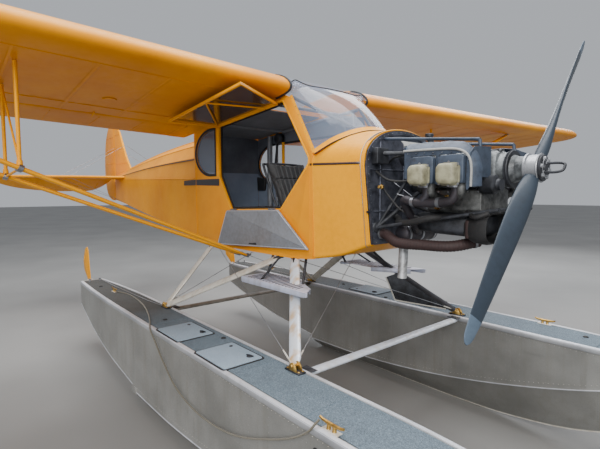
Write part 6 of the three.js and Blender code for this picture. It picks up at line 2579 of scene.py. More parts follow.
    def hatches(self) -> None:
        """Gritted lids with rims, gaskets and small handles, and the plugs and seams of the deck."""
        word, s = self.side.word, self.side.value
        for place, x in (("rear", -0.43), ("front", 0.13)):
            name = f"hatch_{place}_{word}"
            mid = s * (self.middle + 0.030)
            outline = oblong(x, mid, 0.165, 0.125)
            lid = pillow(
                Shape(), rounded(outline, 0.018), 0.0042, lambda u, v, h: at(u, v, 0.7063 + h), 0.004)
            lid.piece(name + "_lid", LID, Edge.CRISP, name, [name])
            grip = Shape()
            handle = (x + 0.105, mid - s * 0.075)
            grip.turned(
                at(handle[0], handle[1], 0.709), UP,
                [(0, TIP), (0, 0.020), (0.004, 0.019), (0.0055, 0.012), (0.006, TIP)], 18)
            grip.tube(
                [
                    at(handle[0] - 0.022, handle[1] - 0.006, 0.7155), at(handle[0], handle[1], 0.719),
                    at(handle[0] + 0.024, handle[1] + 0.008, 0.7155)],
                0.0042, 8)
            grip.turned(
                at(x - 0.105, mid - s * 0.080, 0.709), UP,
                [(0, TIP), (0, 0.012), (0.004, 0.011), (0.005, TIP)], 14)
            grip.piece(name + "_latch", DARK_STEEL_AND_SHADE, Edge.SOFT, name)
            gasket = Shape()
            ring = rounded(inset(outline, -0.006), 0.02)
            gasket.tube(on_level(0.7036, *[*ring, ring[0], ring[1]]), 0.0052, 6)
            gasket.piece(name + "_gasket", BLACK_RUBBER, Edge.ROUND, name)
        fittings = Shape()
        for x, out in ((-2.3, 0.04), (-0.78, 0.02), (-0.15, -0.10), (1.35, 0.03)):
            fittings.turned(
                at(x, self.y(out), 0.7025), UP,
                [(0, TIP), (0, 0.017), (0.0045, 0.015), (0.0075, 0.009), (0.008, TIP)], 16)
        fittings.turned(
            at(1.015, self.y(0.165), 0.605), (0, s, 0),
            [(-0.002, TIP), (-0.002, 0.017), (0.006, 0.015), (0.007, TIP)], 16)
        fittings.piece(f"float_{word}_plugs", BLACK_RUBBER, Edge.SOFT)
        seams = Shape()
        for x in (-1.55, -0.72, 0.36, 0.92, 1.45):
            half = self.row(x)[0] - 0.028
            seams.tube([at(x, self.y(-half), 0.7031), at(x, self.y(half), 0.7031)], 0.0012, 6)
        seams.piece(f"float_{word}_deck_seams", DECK, Edge.ROUND)

    def fittings(self) -> None:
        """Bumper, cleats, strut feet and the fitting at the chine."""
        word, s = self.side.word, self.side.value
        bumper = Shape().turned(
            at(2.062, self.y(0), 0.545), UP,
            [
                (0, TIP), (0, 0.024), (0.01, 0.034), (0.03, 0.0375), (0.06, 0.0378), (0.09, 0.036),
                (0.102, 0.028), (0.106, TIP)],
            26)
        bumper.piece(f"float_{word}_bumper", BLACK_RUBBER, Edge.SOFT)
        gold, pale = Shape(), Shape()
        for x, y, z in ((1.070, s * 1.052, 0.700), (-1.985, s * 0.927, 0.698)):
            for dx in (-0.016, 0.016):
                gold.turned(
                    at(x + dx, y, z), UP, [(0, 0.013), (0.006, 0.009), (0.024, 0.008), (0.03, 0.009)], 12)
            gold.tube(
                on_side(
                    y, (x - 0.066, z + 0.036), (x - 0.05, z + 0.031), (x, z + 0.028), (x + 0.05, z + 0.031),
                    (x + 0.066, z + 0.036)),
                lambda t: 0.0085 - 0.003 * abs(2 * t - 1), 10)
            pale.plate(on_level(z, *oblong(x, y, 0.045, 0.016)), (0, 0, 0.005))
        gold.piece(f"float_{word}_cleats", BRASS, Edge.SOFT)
        pale.piece(f"float_{word}_cleat_bases", STRUT_SILVER, Edge.CRISP, bevel=0.0012)
        pads, pins = Shape(), Shape()
        for x, y in (FloatRigging.foot_front, FloatRigging.foot_rear):
            y *= s
            pads.plate(on_level(0.703, *oblong(x, y, 0.058, 0.025)), (0, 0, 0.008))
            for dy in (-0.018, 0.018):
                outline = [
                    (x - 0.036, 0.708), (x + 0.036, 0.708), (x + 0.024, 0.738), (x + 0.008, 0.752),
                    (x - 0.008, 0.752), (x - 0.024, 0.738)]
                pins.plate(on_side(y + dy - 0.004, *outline), (0, 0.008, 0))
            pins.rod(at(x, y - 0.030, 0.735), at(x, y + 0.030, 0.735), 0.0085, 12)
            for dx in (-0.045, 0.045):
                for dy in (-0.014, 0.014):
                    pins.turned(at(x + dx, y + dy, 0.711), UP, [(0, 0.007), (0.006, 0.007), (0.0068, TIP)], 6)
        pads.piece(f"float_{word}_foot_pads", DARK_STEEL_AND_SHADE, Edge.CRISP, bevel=0.0015)
        pins.piece(f"float_{word}_clevises", BRASS, Edge.CRISP, bevel=0.001, segments=1)
        half, _, chine, _ = self.row(-1.0)
        block = Shape().plate(
            [
                at(u - 1.05, s * (self.middle + half - 0.002), chine + v)
                for u, v in ((-0.045, -0.02), (0.06, -0.018), (0.05, 0.035), (-0.03, 0.04))],
            (0, s * 0.010, 0))
        block.piece(f"float_{word}_step_plate", FLOAT_METAL, Edge.CRISP, bevel=0.002)

    def rudder(self) -> None:
        """The water rudder, drawn up behind the stern, with its brackets, stiffeners and arm."""
        word = self.side.word
        x0, z0 = -2.85, 0.668
        points = [
            (-0.015, -0.025), (0.025, -0.025), (0.020, 0.060), (-0.030, 0.330), (-0.070, 0.372),
            (-0.150, 0.340), (-0.230, 0.200), (-0.205, 0.100), (-0.090, 0.020), (-0.045, -0.015)]
        blade = [(x0 + u, z0 + v) for u, v in points]
        mid = self.y(0)
        body = f"water_rudder_{word}"
        pillow(
            Shape(), blade, 0.0046, lambda u, v, h: at(u, mid + h, v), 0.004
        ).piece(body + "_blade", YELLOW_METAL, Edge.SOFT, body, [body])
        ribs = Shape()
        for h in (0.0052, -0.0052):
            ribs.tube([at(x0 - 0.02, mid + h, z0 + 0.03), at(x0 - 0.10, mid + h, z0 + 0.32)], 0.0028, 8)
            ribs.tube([at(x0 - 0.05, mid + h, z0 + 0.04), at(x0 - 0.18, mid + h, z0 + 0.26)], 0.0028, 8)
        ribs.piece(body + "_ribs", YELLOW_METAL, Edge.ROUND, body)
        pin = Shape().rod(at(x0, mid - 0.0117, z0), at(x0, mid + 0.0117, z0), 0.012, 18)
        pin.piece(body + "_pin", BARE_STEEL, Edge.SOFT, body)
        arms = Shape()
        for e in (1, -1):
            y = mid + e * 0.020
            outline = [
                (x0 - 0.022, z0 - 0.03), (-2.79, z0 - 0.04), (-2.79, z0 + 0.018), (x0 - 0.01, z0 + 0.02),
                (x0 - 0.022, z0 + 0.008)]
            arms.plate(on_side(y - 0.0075, *outline), (0, 0.015, 0))
        arms.piece(body + "_brackets", STRUT_SILVER, Edge.CRISP, bevel=0.002)
        pulls = Shape()
        for out in (-0.05, 0.05):
            pulls.turned(
                at(-2.66, self.y(out), 0.700), UP,
                [(0, 0.010), (0.014, 0.008), (0.02, 0.012), (0.026, 0.012), (0.027, TIP)], 14)
        pulls.tube(
            [
                at(-2.64, self.y(-0.05), 0.718), at(-2.2, self.y(-0.06), 0.712),
                at(-1.4, self.y(-0.09), 0.712), at(-1.14, self.y(-0.11), 0.716)],
            0.0022, 6)
        pulls.piece(f"float_{word}_rudder_lines", BARE_STEEL, Edge.SOFT)

    def build(self) -> None:
        """Makes the whole float."""
        self.skin()
        self.seams()
        self.hatches()
        self.fittings()
        self.rudder()


@dataclass
class FloatRigging:
    """Struts, spreaders, wires and steps between the floats and the fuselage."""

    foot_front: tuple[float, float] = (0.545, 0.800)
    foot_rear: tuple[float, float] = (-1.110, 0.790)

    def struts(self, side: Side) -> None:
        """One side's front strut, rear strut and brace.

        Args:
            side: the side.
        """
        s, word = side.value, side.word
        fx, fy = self.foot_front
        rx, ry = self.foot_rear
        front = streamlined(
            Shape(), at(0, s * 0.350, 1.186), at(fx - 0.012, s * (fy - 0.008), 0.726), 0.076, 0.032)
        name = f"float_strut_front_{word}"
        # The left front strut takes the darkened silver, which is painted shade.
        front.piece(
            name + "_tube", STAINED_STRUT if side is Side.RIGHT else SHADED_STRUT, Edge.SOFT, replaces=[name])
        rear = streamlined(Shape(), at(-1.120, s * 0.345, 1.192), at(rx, s * ry, 0.722), 0.062, 0.028)
        streamlined(rear, at(-0.160, s * 0.350, 1.180), at(rx + 0.02, s * ry, 0.726), 0.062, 0.028)
        name = f"float_strut_rear_{word}"
        rear.piece(name + "_tubes", STRUT_SILVER, Edge.SOFT, replaces=[name])
        wires, ends = Shape(), Shape()
        for a, b in (
            ((fx, s * fy, 0.735), (-0.05, -s * 0.340, 1.185)),
            ((rx, s * ry, 0.735), (-1.10, -s * 0.335, 1.195)),
            ((fx - 0.03, s * fy, 0.735), (-1.08, s * 0.345, 1.205))
        ):
            p, q = np.array(at(*a)), np.array(at(*b))
            way = (q - p) / np.linalg.norm(q - p)
            wires.rod(p, q, 0.0022, 6)
            ends.rod(p, p + way * 0.12, 0.005, 8)
            ends.rod(q - way * 0.10, q, 0.005, 8)
        wires.piece(f"float_wires_{word}", BARE_STEEL, Edge.ROUND)
        ends.piece(f"float_wire_ends_{word}", STRUT_SILVER, Edge.ROUND)
        cuffs = Shape()
        for a, b in (
            ((0, s * 0.350, 1.186), (fx, s * fy, 0.726)), ((-1.120, s * 0.345, 1.192), (rx, s * ry, 0.722)),
            ((-0.160, s * 0.350, 1.180), (rx, s * ry, 0.726))
        ):
            top, low = np.array(at(*a)), np.array(at(*b))
            way = (low - top) / np.linalg.norm(low - top)
            cuffs.rod(top - (0.03, 0, -0.004), top + (0.03, 0, 0.004), 0.010, 12)
            cuffs.rod(top + way * 0.002, top + way * 0.05, 0.014, 12)
        cuffs.piece(f"float_strut_lugs_{word}", DARK_STEEL_AND_SHADE, Edge.SOFT)

    def gusset(self) -> None:
        """The plate under the left front strut, with folded edges; its dark steel colour is painted shade."""
        corners = [
            np.array(at(*p))
            for p in (
                (0.133, 0.461, 0.975), (0.221, 0.533, 1.017), (0.549, 0.796, 0.748), (0.481, 0.749, 0.742),
                (0.188, 0.506, 0.796))]
        normal = np.cross(corners[1] - corners[0], corners[3] - corners[0])
        normal /= np.linalg.norm(normal)
        plate = Shape().plate([tuple(p) for p in corners], tuple(0.004 * normal))
        # The plate's dark steel is painted shade.
        plate.piece("float_strut_gusset", DARK_STEEL_AND_SHADE, Edge.CRISP, bevel=0.001)
        edge = Shape()
        for a, b in ((corners[4], corners[3]), (corners[0], corners[4])):
            edge.rod(a, b, 0.005, 10)
        edge.piece("float_strut_gusset_edge", STRUT_SILVER, Edge.ROUND)

    def steps(self, side: Side) -> None:
        """One side's folded step plate with its tread and stays.

        Args:
            side: the side.
        """
        s, word = side.value, side.word
        outline = [
            (-0.285, s * 0.380), (0.060, s * 0.362), (0.330, s * 0.500), (0.400, s * 0.598),
            (-0.285, s * 0.588)]
        plate = Shape().plate(on_level(1.0525, *outline), (0, 0, 0.004))
        skirt = [
            (-0.285, 1.056), (0.399, 1.056), (0.397, 1.030), (0.37, 1.024), (-0.26, 1.018), (-0.285, 1.024)]
        plate.plate(on_side(s * 0.5850, *skirt), (0, s * 0.010, 0))
        plate.plate(
            on_station(-0.285, (s * 0.38, 1.052), (s * 0.588, 1.052), (s * 0.588, 1.012), (s * 0.38, 1.035)),
            (0.004, 0, 0))
        plate.plate(
            [
                at(0.060, s * 0.364, 1.052), at(0.330, s * 0.502, 1.052), at(0.330, s * 0.502, 1.022),
                at(0.060, s * 0.364, 1.022)],
            (-0.002, s * 0.004, 0))
        plate.piece(f"step_{word}_plate", STEP_SHEET, Edge.CRISP, replaces=[f"step_{word}"], bevel=0.0018)
        tread = Shape()
        for x in np.arange(-0.24, 0.30, 0.034):
            wide = 0.40 if x < 0.1 else 0.40 + (x - 0.06) * 0.52
            tread.tube([at(x, s * wide, 1.0572), at(x + 0.012, s * 0.575, 1.0572)], 0.0026, 6)
        tread.piece(f"step_{word}_tread", DARK_STEEL_AND_SHADE, Edge.ROUND)
        stays = Shape()
        stays.rod(at(-0.24, s * 0.40, 1.05), at(-0.26, s * 0.335, 1.185), 0.009)
        stays.rod(at(0.20, s * 0.45, 1.05), at(0.10, s * 0.335, 1.19), 0.009)
        stays.rod(at(-0.10, s * 0.56, 1.05), at(-0.155, s * 0.355, 1.182), 0.007)
        stays.piece(f"step_{word}_stays", DARK_STEEL_AND_SHADE, Edge.ROUND)

    def spreaders(self) -> None:
        """The two bars between the floats, with their end plates."""
        plates = Shape()
        for name, x, finish in (("front", 0.565, BRIGHT_BAR), ("rear", -1.09, SHADED_BAR)):
            rings = []
            for y, wide, tall in (
                (-0.7455, 0.5, 0.8), (-0.72, 0.9, 0.95), (-0.69, 1, 1), (0.69, 1, 1), (0.72, 0.9, 0.95),
                (0.7455, 0.5, 0.8)
            ):
                rings.append([
                    at(x + 0.033 * wide * math.cos(t), y, 0.682 + 0.0145 * tall * math.sin(t))
                    for t in np.linspace(0, 2 * math.pi, 21)[:-1]])
            Shape().loft(rings).piece(
                f"spreader_{name}_bar", finish, Edge.SOFT, replaces=[f"spreader_{name}"])
            for s in (1, -1):
                plates.plate(
                    on_level(
                        0.6985, (x - 0.045, s * 0.700), (x + 0.045, s * 0.700), (x + 0.035, s * 0.752),
                        (x - 0.035, s * 0.752)),
                    (0, 0, 0.004))
        plates.piece("spreader_end_plates", DARK_STEEL_AND_SHADE, Edge.CRISP, bevel=0.0012)

    def build(self) -> None:
        """Makes all struts, wires, steps and spreaders."""
        for side in Side:
            self.struts(side)
            self.steps(side)
        self.gusset()
        self.spreaders()


# ---- engine and propeller -----------------------------------------------


@dataclass
class Engine:
    """Flat four-cylinder engine with its baffles, exhaust, mount, hoses and wiring."""

    level: float = 1.737
    thrust: float = 1.742
    right: tuple[float, float] = (0.977, 1.135)
    left: tuple[float, float] = (0.957, 1.115)
    baffle: float = 0.326
    face: float = 0.6205

    def stations(self, side: Side) -> tuple[float, float]:
        """The two cylinders' stations on a side."""
        return self.left if side is Side.LEFT else self.right

    def cylinders(self, side: Side) -> None:
        """Barrels with fins, heads, rocker covers, pushrod tubes, plugs and leads on one side.

        Args:
            side: the side.
        """
        s, word = side.value, side.word
        barrels, heads, covers, tubes, leads, plugs = Shape(), Shape(), Shape(), Shape(), Shape(), Shape()
        lines, head_lines = [], []
        for x in self.stations(side):
            barrels.turned(
                at(x, s * 0.0965, self.level), (0, s, 0),
                capped((0, 0.068), (0.012, 0.068), (0.013, 0.058), (0.16, 0.058)), 28)
            lines.append([at(x, s * 0.116, self.level), at(x, s * 0.246, self.level)])
            box = [
                (-0.062, -0.066), (0.062, -0.066), (0.066, -0.05), (0.066, 0.056), (0.05, 0.068),
                (-0.05, 0.068), (-0.066, 0.056), (-0.066, -0.05)]
            heads.plate([at(x + u, s * 0.250, self.level + v) for u, v in box], (0, s * 0.098, 0))
            head_lines.append([at(x, s * 0.258, self.level), at(x, s * 0.326, self.level)])
            cover = [
                (-0.049, -0.036), (-0.034, -0.052), (0.034, -0.052), (0.049, -0.036), (0.050, 0.030),
                (0.034, 0.050), (-0.034, 0.050), (-0.050, 0.030)]
            z = self.level - 0.022
            rings = []
            for grow, y in (
                (1.05, 0.348), (1.05, 0.356), (0.98, 0.3565), (0.96, 0.385), (0.90, 0.397), (0.78, 0.4025),
                (0.5, 0.4035)
            ):
                points = []
                for (u0, v0), (u1, v1) in zip(cover, [*cover[1:], cover[0]]):
                    for t in (0.12, 0.5, 0.88):
                        points.append(at(
                            x + (u0 + (u1 - u0) * t) * grow, s * y, z + (v0 + (v1 - v0) * t) * grow))
                rings.append(points)
            covers.loft(rings)
            for u, v in (
                (-0.049, -0.048), (0.049, -0.048), (-0.048, 0.044), (0.048, 0.044), (0, -0.057), (0, 0.055)
            ):
                plugs.turned(
                    at(x + u * 0.98, s * 0.357, z + v * 0.98), (0, s, 0),
                    [(0, 0.006), (0.005, 0.006), (0.0055, TIP)], 6)
            for dx in (-0.022, 0.022):
                tubes.rod(
                    at(x + dx, s * 0.10, self.level - 0.085), at(x + dx * 1.2, s * 0.262, self.level - 0.060),
                    0.0105, 12)
            for dx, dz in ((-0.045, 0.060), (0.040, -0.060)):
                a = np.array(at(x + dx, s * 0.285, self.level + dz))
                way = np.array([0.0, s * 0.25, 1.0 if dz > 0 else -1.0])
                way /= np.linalg.norm(way)
                plugs.turned(
                    a, way,
                    [
                        (0, 0.011), (0.012, 0.011), (0.013, 0.008), (0.034, 0.007), (0.046, 0.0085),
                        (0.05, TIP)],
                    8)
                tip = a + way * 0.045
                end = np.array(at(0.835, s * (0.07 if dz > 0 else 0.05), 1.775 if dz > 0 else 1.735))
                middle = tip + way * 0.03 + np.array([-0.05, -s * 0.03, 0])
                over = np.array([end[0] + 0.06, end[1] + s * 0.06, tip[2] + (0.04 if dz > 0 else -0.03)])
                leads.tube(smooth_path([tip, middle, over, end], 26), 0.0042, 8)
        name = f"engine_cylinders_{word}"
        barrels.piece(f"barrels_{word}", CYLINDER_DARK, Edge.SOFT, replaces=[name])
        fin = Shape().turned(
            (0, 0, 0), UP,
            [(-0.0012, 0.056), (-0.0011, 0.0725), (0, 0.0745), (0.0011, 0.0725), (0.0012, 0.056)], 28)
        copies_along(f"barrel_fins_{word}", lines, 0.0095, fin, CYLINDER_DARK, turned=True)
        heads.piece(f"heads_{word}", BAFFLE, Edge.CRISP, bevel=0.004)
        ring = [
            (
                0.070 * math.cos(t) * (1 + 0.12 * math.sin(2 * t) ** 2),
                0.072 * math.sin(t) * (1 + 0.12 * math.sin(2 * t) ** 2))
            for t in np.linspace(0, 2 * math.pi, 25)[:-1]]
        head_fin = Shape().plate([(u, -0.001, v) for u, v in ring], (0, 0.002, 0))
        copies_along(f"head_fins_{word}", head_lines, 0.0085, head_fin, CYLINDER_DARK, edge=Edge.CRISP)
        covers.piece(f"rocker_covers_{word}", COVER, Edge.SOFT)
        tubes.piece(f"pushrod_tubes_{word}", BARE_STEEL, Edge.ROUND)
        leads.piece(f"spark_leads_{word}", LEAD, Edge.ROUND)
        plugs.piece(f"spark_plugs_{word}", BARE_STEEL, Edge.SOFT)
        pipe = Shape()
        for x in self.stations(side):
            pipe.tube(
                smooth_path(
                    [
                        at(x + 0.03, s * 0.30, self.level - 0.062),
                        at(x + 0.03, s * 0.296, self.level - 0.11), at(x * 0.6 + 0.42, s * 0.22, 1.600),
                        at(1.045, s * 0.11, 1.565)],
                    20),
                0.0195, 14)
        pipe.piece(f"intake_pipes_{word}", CAST, Edge.ROUND)

    def crankcase(self) -> None:
        """Case halves, accessory case, magnetos, sump, carburettor and nose."""
        case = Shape()
        rings = []
        for x, wide, low, high in (
            (0.908, 0.088, 1.652, 1.830), (0.915, 0.094, 1.648, 1.836), (1.05, 0.095, 1.648, 1.838),
            (1.205, 0.094, 1.650, 1.836), (1.224, 0.086, 1.660, 1.826), (1.232, 0.07, 1.68, 1.80)
        ):
            rings.append(boxy_ring((x, 0, (low + high) / 2), wide, (high - low) / 2, 0.45, 32))
        case.loft(rings)
        case.turned(
            at(1.222, 0, self.thrust), FORE,
            [
                (0, 0.086), (0.012, 0.085), (0.04, 0.078), (0.072, 0.064), (0.078, 0.060), (0.112, 0.0585),
                (0.1155, 0.055), (0.1158, TIP)],
            36)
        case.plate(
            on_side(-0.004, (0.915, 1.832), (1.225, 1.832), (1.225, 1.846), (0.915, 1.848)), (0, 0.008, 0))
        case.piece("crankcase_halves", CAST_PALE, Edge.CRISP, replaces=["engine_crankcase"])
        lumps = Shape()
        outline = [
            (-0.093, 1.66), (-0.07, 1.642), (0.07, 1.642), (0.093, 1.66), (0.093, 1.83), (0.06, 1.854),
            (-0.06, 1.854), (-0.093, 1.83)]
        lumps.plate(on_station(0.852, *outline), (0.058, 0, 0))
        sump = [
            (-0.148, 1.54), (-0.13, 1.522), (0.13, 1.522), (0.148, 1.54), (0.148, 1.64), (0.12, 1.65),
            (-0.12, 1.65), (-0.148, 1.64)]
        lumps.plate(on_station(0.887, *sump), (0.301, 0, 0))
        lumps.plate(
            on_station(
                0.982, (-0.07, 1.402), (0.07, 1.402), (0.078, 1.42), (0.078, 1.525), (-0.078, 1.525),
                (-0.078, 1.42)),
            (0.116, 0, 0))
        for y in (-0.065, 0.065):
            lumps.turned(
                at(0.777, y, 1.748), FORE,
                [(0, TIP), (0, 0.028), (0.006, 0.036), (0.05, 0.038), (0.056, 0.030), (0.08, 0.030)], 20)
        lumps.turned(at(0.80, 0, 1.69), FORE, [(0, TIP), (0, 0.02), (0.01, 0.026), (0.055, 0.026)], 18)
        lumps.piece("engine_cases", CAST, Edge.CRISP, bevel=0.006, segments=3)
        heads = Shape()
        for x in np.linspace(0.93, 1.21, 7):
            for s in (1, -1):
                heads.turned(
                    at(x, s * 0.006, 1.842), (0, s, 0), [(0, 0.006), (0.006, 0.006), (0.0065, TIP)], 6)
        for x in np.linspace(0.90, 1.175, 6):
            for s in (1, -1):
                heads.turned(
                    at(x, s * 0.1475, 1.632), (0, s, 0), [(0, 0.0055), (0.005, 0.0055), (0.0055, TIP)], 6)
        for k in range(8):
            t = k * math.pi / 4
            heads.turned(
                at(1.227, 0.074 * math.cos(t), self.thrust + 0.074 * math.sin(t)), FORE,
                [(0, 0.005), (0.012, 0.005), (0.0125, TIP)], 6)
        heads.piece("engine_nuts", BARE_STEEL, Edge.SOFT)
        oil = Shape().tube(
            smooth_path([at(0.90, -0.12, 1.85), at(0.89, -0.13, 1.90), at(0.88, -0.13, 1.935)], 10), 0.016, 16
        )
        oil.turned(
            at(0.88, -0.13, 1.93), UP, [(0, TIP), (0, 0.022), (0.014, 0.022), (0.016, 0.018), (0.017, TIP)],
            12)
        oil.piece("oil_filler", DARK_STEEL_AND_SHADE, Edge.SOFT)
        belt = Shape().turned(
            at(1.262, 0, self.thrust), FORE,
            capped((0, 0.092), (0.004, 0.094), (0.008, 0.088), (0.014, 0.094), (0.018, 0.092)), 48)
        belt.turned(at(1.262, -0.13, 1.665), FORE, capped((0, 0.03), (0.009, 0.026), (0.018, 0.03)), 24)
        belt.turned(
            at(1.18, -0.13, 1.665), FORE,
            [(0, TIP), (0, 0.04), (0.01, 0.046), (0.07, 0.046), (0.078, 0.036), (0.082, TIP)], 24)
        belt.piece("engine_pulley", DARK_STEEL_AND_SHADE, Edge.SOFT)

    def baffles(self) -> None:
        """Sheet walls round the cylinders with the pale folded seal along their top."""
        walls = Shape()
        y0 = self.baffle
        for side in Side:
            s = side.value
            outline = [
                (0.866, 1.700), (1.212, 1.640), (1.226, 1.660), (1.228, 1.760), (1.204, 1.806),
                (1.150, 1.830), (0.866, 1.838)]
            plate = Shape().plate(on_side(s * (y0 - 0.001), *outline), (0, s * 0.002, 0))
            obj = plate.object(f"baffle_wall_{side.word}", Edge.CRISP)
            for x in self.stations(side):
                near, far = sorted((s * (y0 - 0.02), s * (y0 + 0.02)))
                cut_away(obj, Shape().box(at(x - 0.0703, near, 1.5), at(x + 0.0703, far, 1.8093)))
            dress(obj, BAFFLE)
        walls.plate(on_station(0.862, (-y0, 1.70), (y0, 1.70), (y0, 1.868), (-y0, 1.868)), (0.0016, 0, 0))
        for s in (1, -1):
            walls.plate(
                on_station(
                    1.222, (s * 0.13, 1.70), (s * y0, 1.70), (s * y0, 1.812), (s * 0.29, 1.84),
                    (s * 0.13, 1.85)),
                (0.0016, 0, 0))
            walls.box(at(0.93, s * 0.20 - 0.05, 1.812), at(1.18, s * 0.20 + 0.05, 1.8135))
        walls.piece("baffle_sheets", BAFFLE, Edge.CRISP, replaces=["engine_baffles"])
        seal, flap = Shape(), Shape()
        for s in (1, -1):
            line = smooth_path(
                on_side(
                    s * (y0 + 0.003), (0.862, 1.840), (1.00, 1.838), (1.145, 1.831), (1.203, 1.808),
                    (1.228, 1.760), (1.230, 1.655)),
                48)
            rings = []
            for i, p in enumerate(line):
                turn = min(1, max(0, (i - 24) / 14))
                lift = np.array([0.030 * turn, -s * (0.052 - 0.012 * turn), 0.036 * (1 - turn) + 0.004])
                wave = np.array([0, 0, 0.0015 * math.sin(i * 0.8)])
                mid = np.array(p) + lift * 0.5 + np.array([0.004 * turn, s * 0.006, 0.007 * (1 - turn)])
                top = np.array(p) + lift + wave
                low = np.array([0, -s * 0.003, -0.002])
                rings.append([
                    p, tuple(mid), tuple(top), tuple(top + low), tuple(mid + low), tuple(np.array(p) + low)])
            flap.loft(rings)
            seal.tube([(x, y + s * 0.001, z) for x, y, z in line], 0.0058, 8)
            holes = [(x, y + s * 0.0012, z - 0.016) for x, y, z in line[2:34]]
            copies_along(
                f"seal_studs_{'left' if s > 0 else 'right'}", [holes], 0.045, dome(0.004, 0.5, 8), BARE_STEEL)
        flap.piece("baffle_flaps", BAFFLE, Edge.SOFT)
        back = [at(0.862, y, 1.874) for y in np.linspace(-y0, y0, 20)]
        seal.loft([
            [
                tuple(np.array(p) + d)
                for d in (
                    (-0.003, 0, -0.012), (-0.006, 0, 0.004), (-0.022, 0, 0.022), (-0.024, 0, 0.019),
                    (-0.001, 0, 0.002), (0.002, 0, -0.012))]
            for p in back])
        seal.piece("baffle_seal", SEAL, Edge.SOFT)

    def exhaust(self) -> None:
        """Risers, collectors, the muffler with its bands and the tailpipe."""
        pipes, bands = Shape(), Shape()
        for side in Side:
            s = side.value
            aft, fore = self.stations(side)
            z = self.level - 0.0725
            run = [
                (fore, 0.292, z), (fore, 0.292, 1.630), (fore - 0.022, 0.294, 1.592),
                (fore - 0.09, 0.298, 1.578), (aft - 0.06, 0.298, 1.576), (aft - 0.13, 0.292, 1.590),
                (aft - 0.15, 0.260, 1.560), (aft - 0.15, 0.190, 1.480), (aft - 0.17, 0.120, 1.420),
                (0.760, 0.040, 1.395)]
            pipes.tube(smooth_path([at(x, s * y, h) for x, y, h in run], 70), 0.0228, 18)
            pipes.tube(
                smooth_path(
                    [at(aft, s * 0.292, z), at(aft, s * 0.292, 1.62), at(aft - 0.02, s * 0.297, 1.584)], 12),
                0.0228, 18)
            for x in (aft, fore):
                bands.turned(at(x, s * 0.292, z - 0.012), UP, capped((0, 0.036), (0.011, 0.036)), 20)
            for p in (at(fore - 0.085, s * 0.298, 1.579), at(aft - 0.075, s * 0.298, 1.578)):
                bands.turned(
                    p, FORE, [(-0.009, 0.0232), (-0.009, 0.0262), (0.009, 0.0262), (0.009, 0.0232)], 20)
        pipes.turned(
            at(0.750, -0.190, 1.395), PORT,
            capped((0, 0.040), (0.008, 0.0475), (0.292, 0.0475), (0.3, 0.040)), 30)
        lip = [(0, 0.0265), (0.26, 0.0265), (0.262, 0.0272), (0.262, 0.0235), (0.10, 0.0232), (0.10, TIP)]
        way = np.subtract(at(0.738, -0.160, 1.140), at(0.742, -0.150, 1.392))
        reach = np.linalg.norm(way)
        tail = Shape().turned(
            at(0.742, -0.150, 1.392), way, [(d * reach / 0.262 if d > 0.1 else d, r) for d, r in lip], 26)
        tail.piece("tailpipe", TAILPIPE, Edge.SOFT)
        for y in (-0.16, -0.04, 0.08):
            bands.turned(
                at(0.750, y, 1.395), PORT,
                [(-0.007, 0.0476), (-0.007, 0.0502), (0.007, 0.0502), (0.007, 0.0476)], 30)
        pipes.piece("exhaust_pipes", EXHAUST_FINISH, Edge.SOFT, replaces=["exhaust"])
        bands.piece("exhaust_bands", BARE_STEEL, Edge.SOFT)

    def mount(self) -> None:
        """Welded tubes from the firewall with their bosses, rubbers and bolts."""
        tubes, rubbers = Shape(), Shape()
        face = 0.6203
        for side, z in ((1, 1.850), (-1, 1.850), (1, 1.430), (-1, 1.430)):
            foot = at(face + 0.013, 0.262 * side, z)
            lug = at(0.838, 0.112 * side, 1.845 if z > 1.7 else 1.650)
            tubes.turned(
                at(face, 0.262 * side, z), FORE,
                [(0, TIP), (0, 0.030), (0.010, 0.030), (0.014, 0.022), (0.02, TIP)], 20)
            tubes.rod(foot, lug, 0.012, 14)
            rubbers.turned(
                lug, FORE, capped((-0.026, 0.026), (-0.018, 0.031), (0.018, 0.031), (0.026, 0.026)), 20)
        for s in (1, -1):
            tubes.rod(at(face + 0.013, 0.262 * s, 1.430), at(0.838, 0.112 * s, 1.845), 0.010, 14)
            tubes.rod(at(0.838, 0.112 * s, 1.845), at(0.838, 0.112 * s, 1.650), 0.012, 14)
            tubes.rod(at(face + 0.013, 0.262 * s, 1.430), at(1.290, 0.178 * s, 1.545), 0.010, 14)
        tubes.rod(at(0.838, -0.112, 1.845), at(0.838, 0.112, 1.845), 0.012, 14)
        tubes.rod(at(1.290, -0.178, 1.545), at(1.290, 0.178, 1.545), 0.010, 14)
        tubes.piece("engine_mount_tubes", DARK_STEEL_AND_SHADE, Edge.ROUND, replaces=["engine_mount"])
        rubbers.piece("engine_mount_rubbers", BLACK_RUBBER, Edge.SOFT)
        rail = Shape()
        for x, y in ((0.622, -0.184), (0.62, 0.184)):
            rail.rod(at(x, y, 1.938), at(1.192, y, 1.883), 0.0085, 14)
            rail.rod(at(1.192, y, 1.883), at(1.2, y, 1.80), 0.0085, 12)
        rail.piece("cowl_support_rails", BAFFLE, Edge.ROUND)

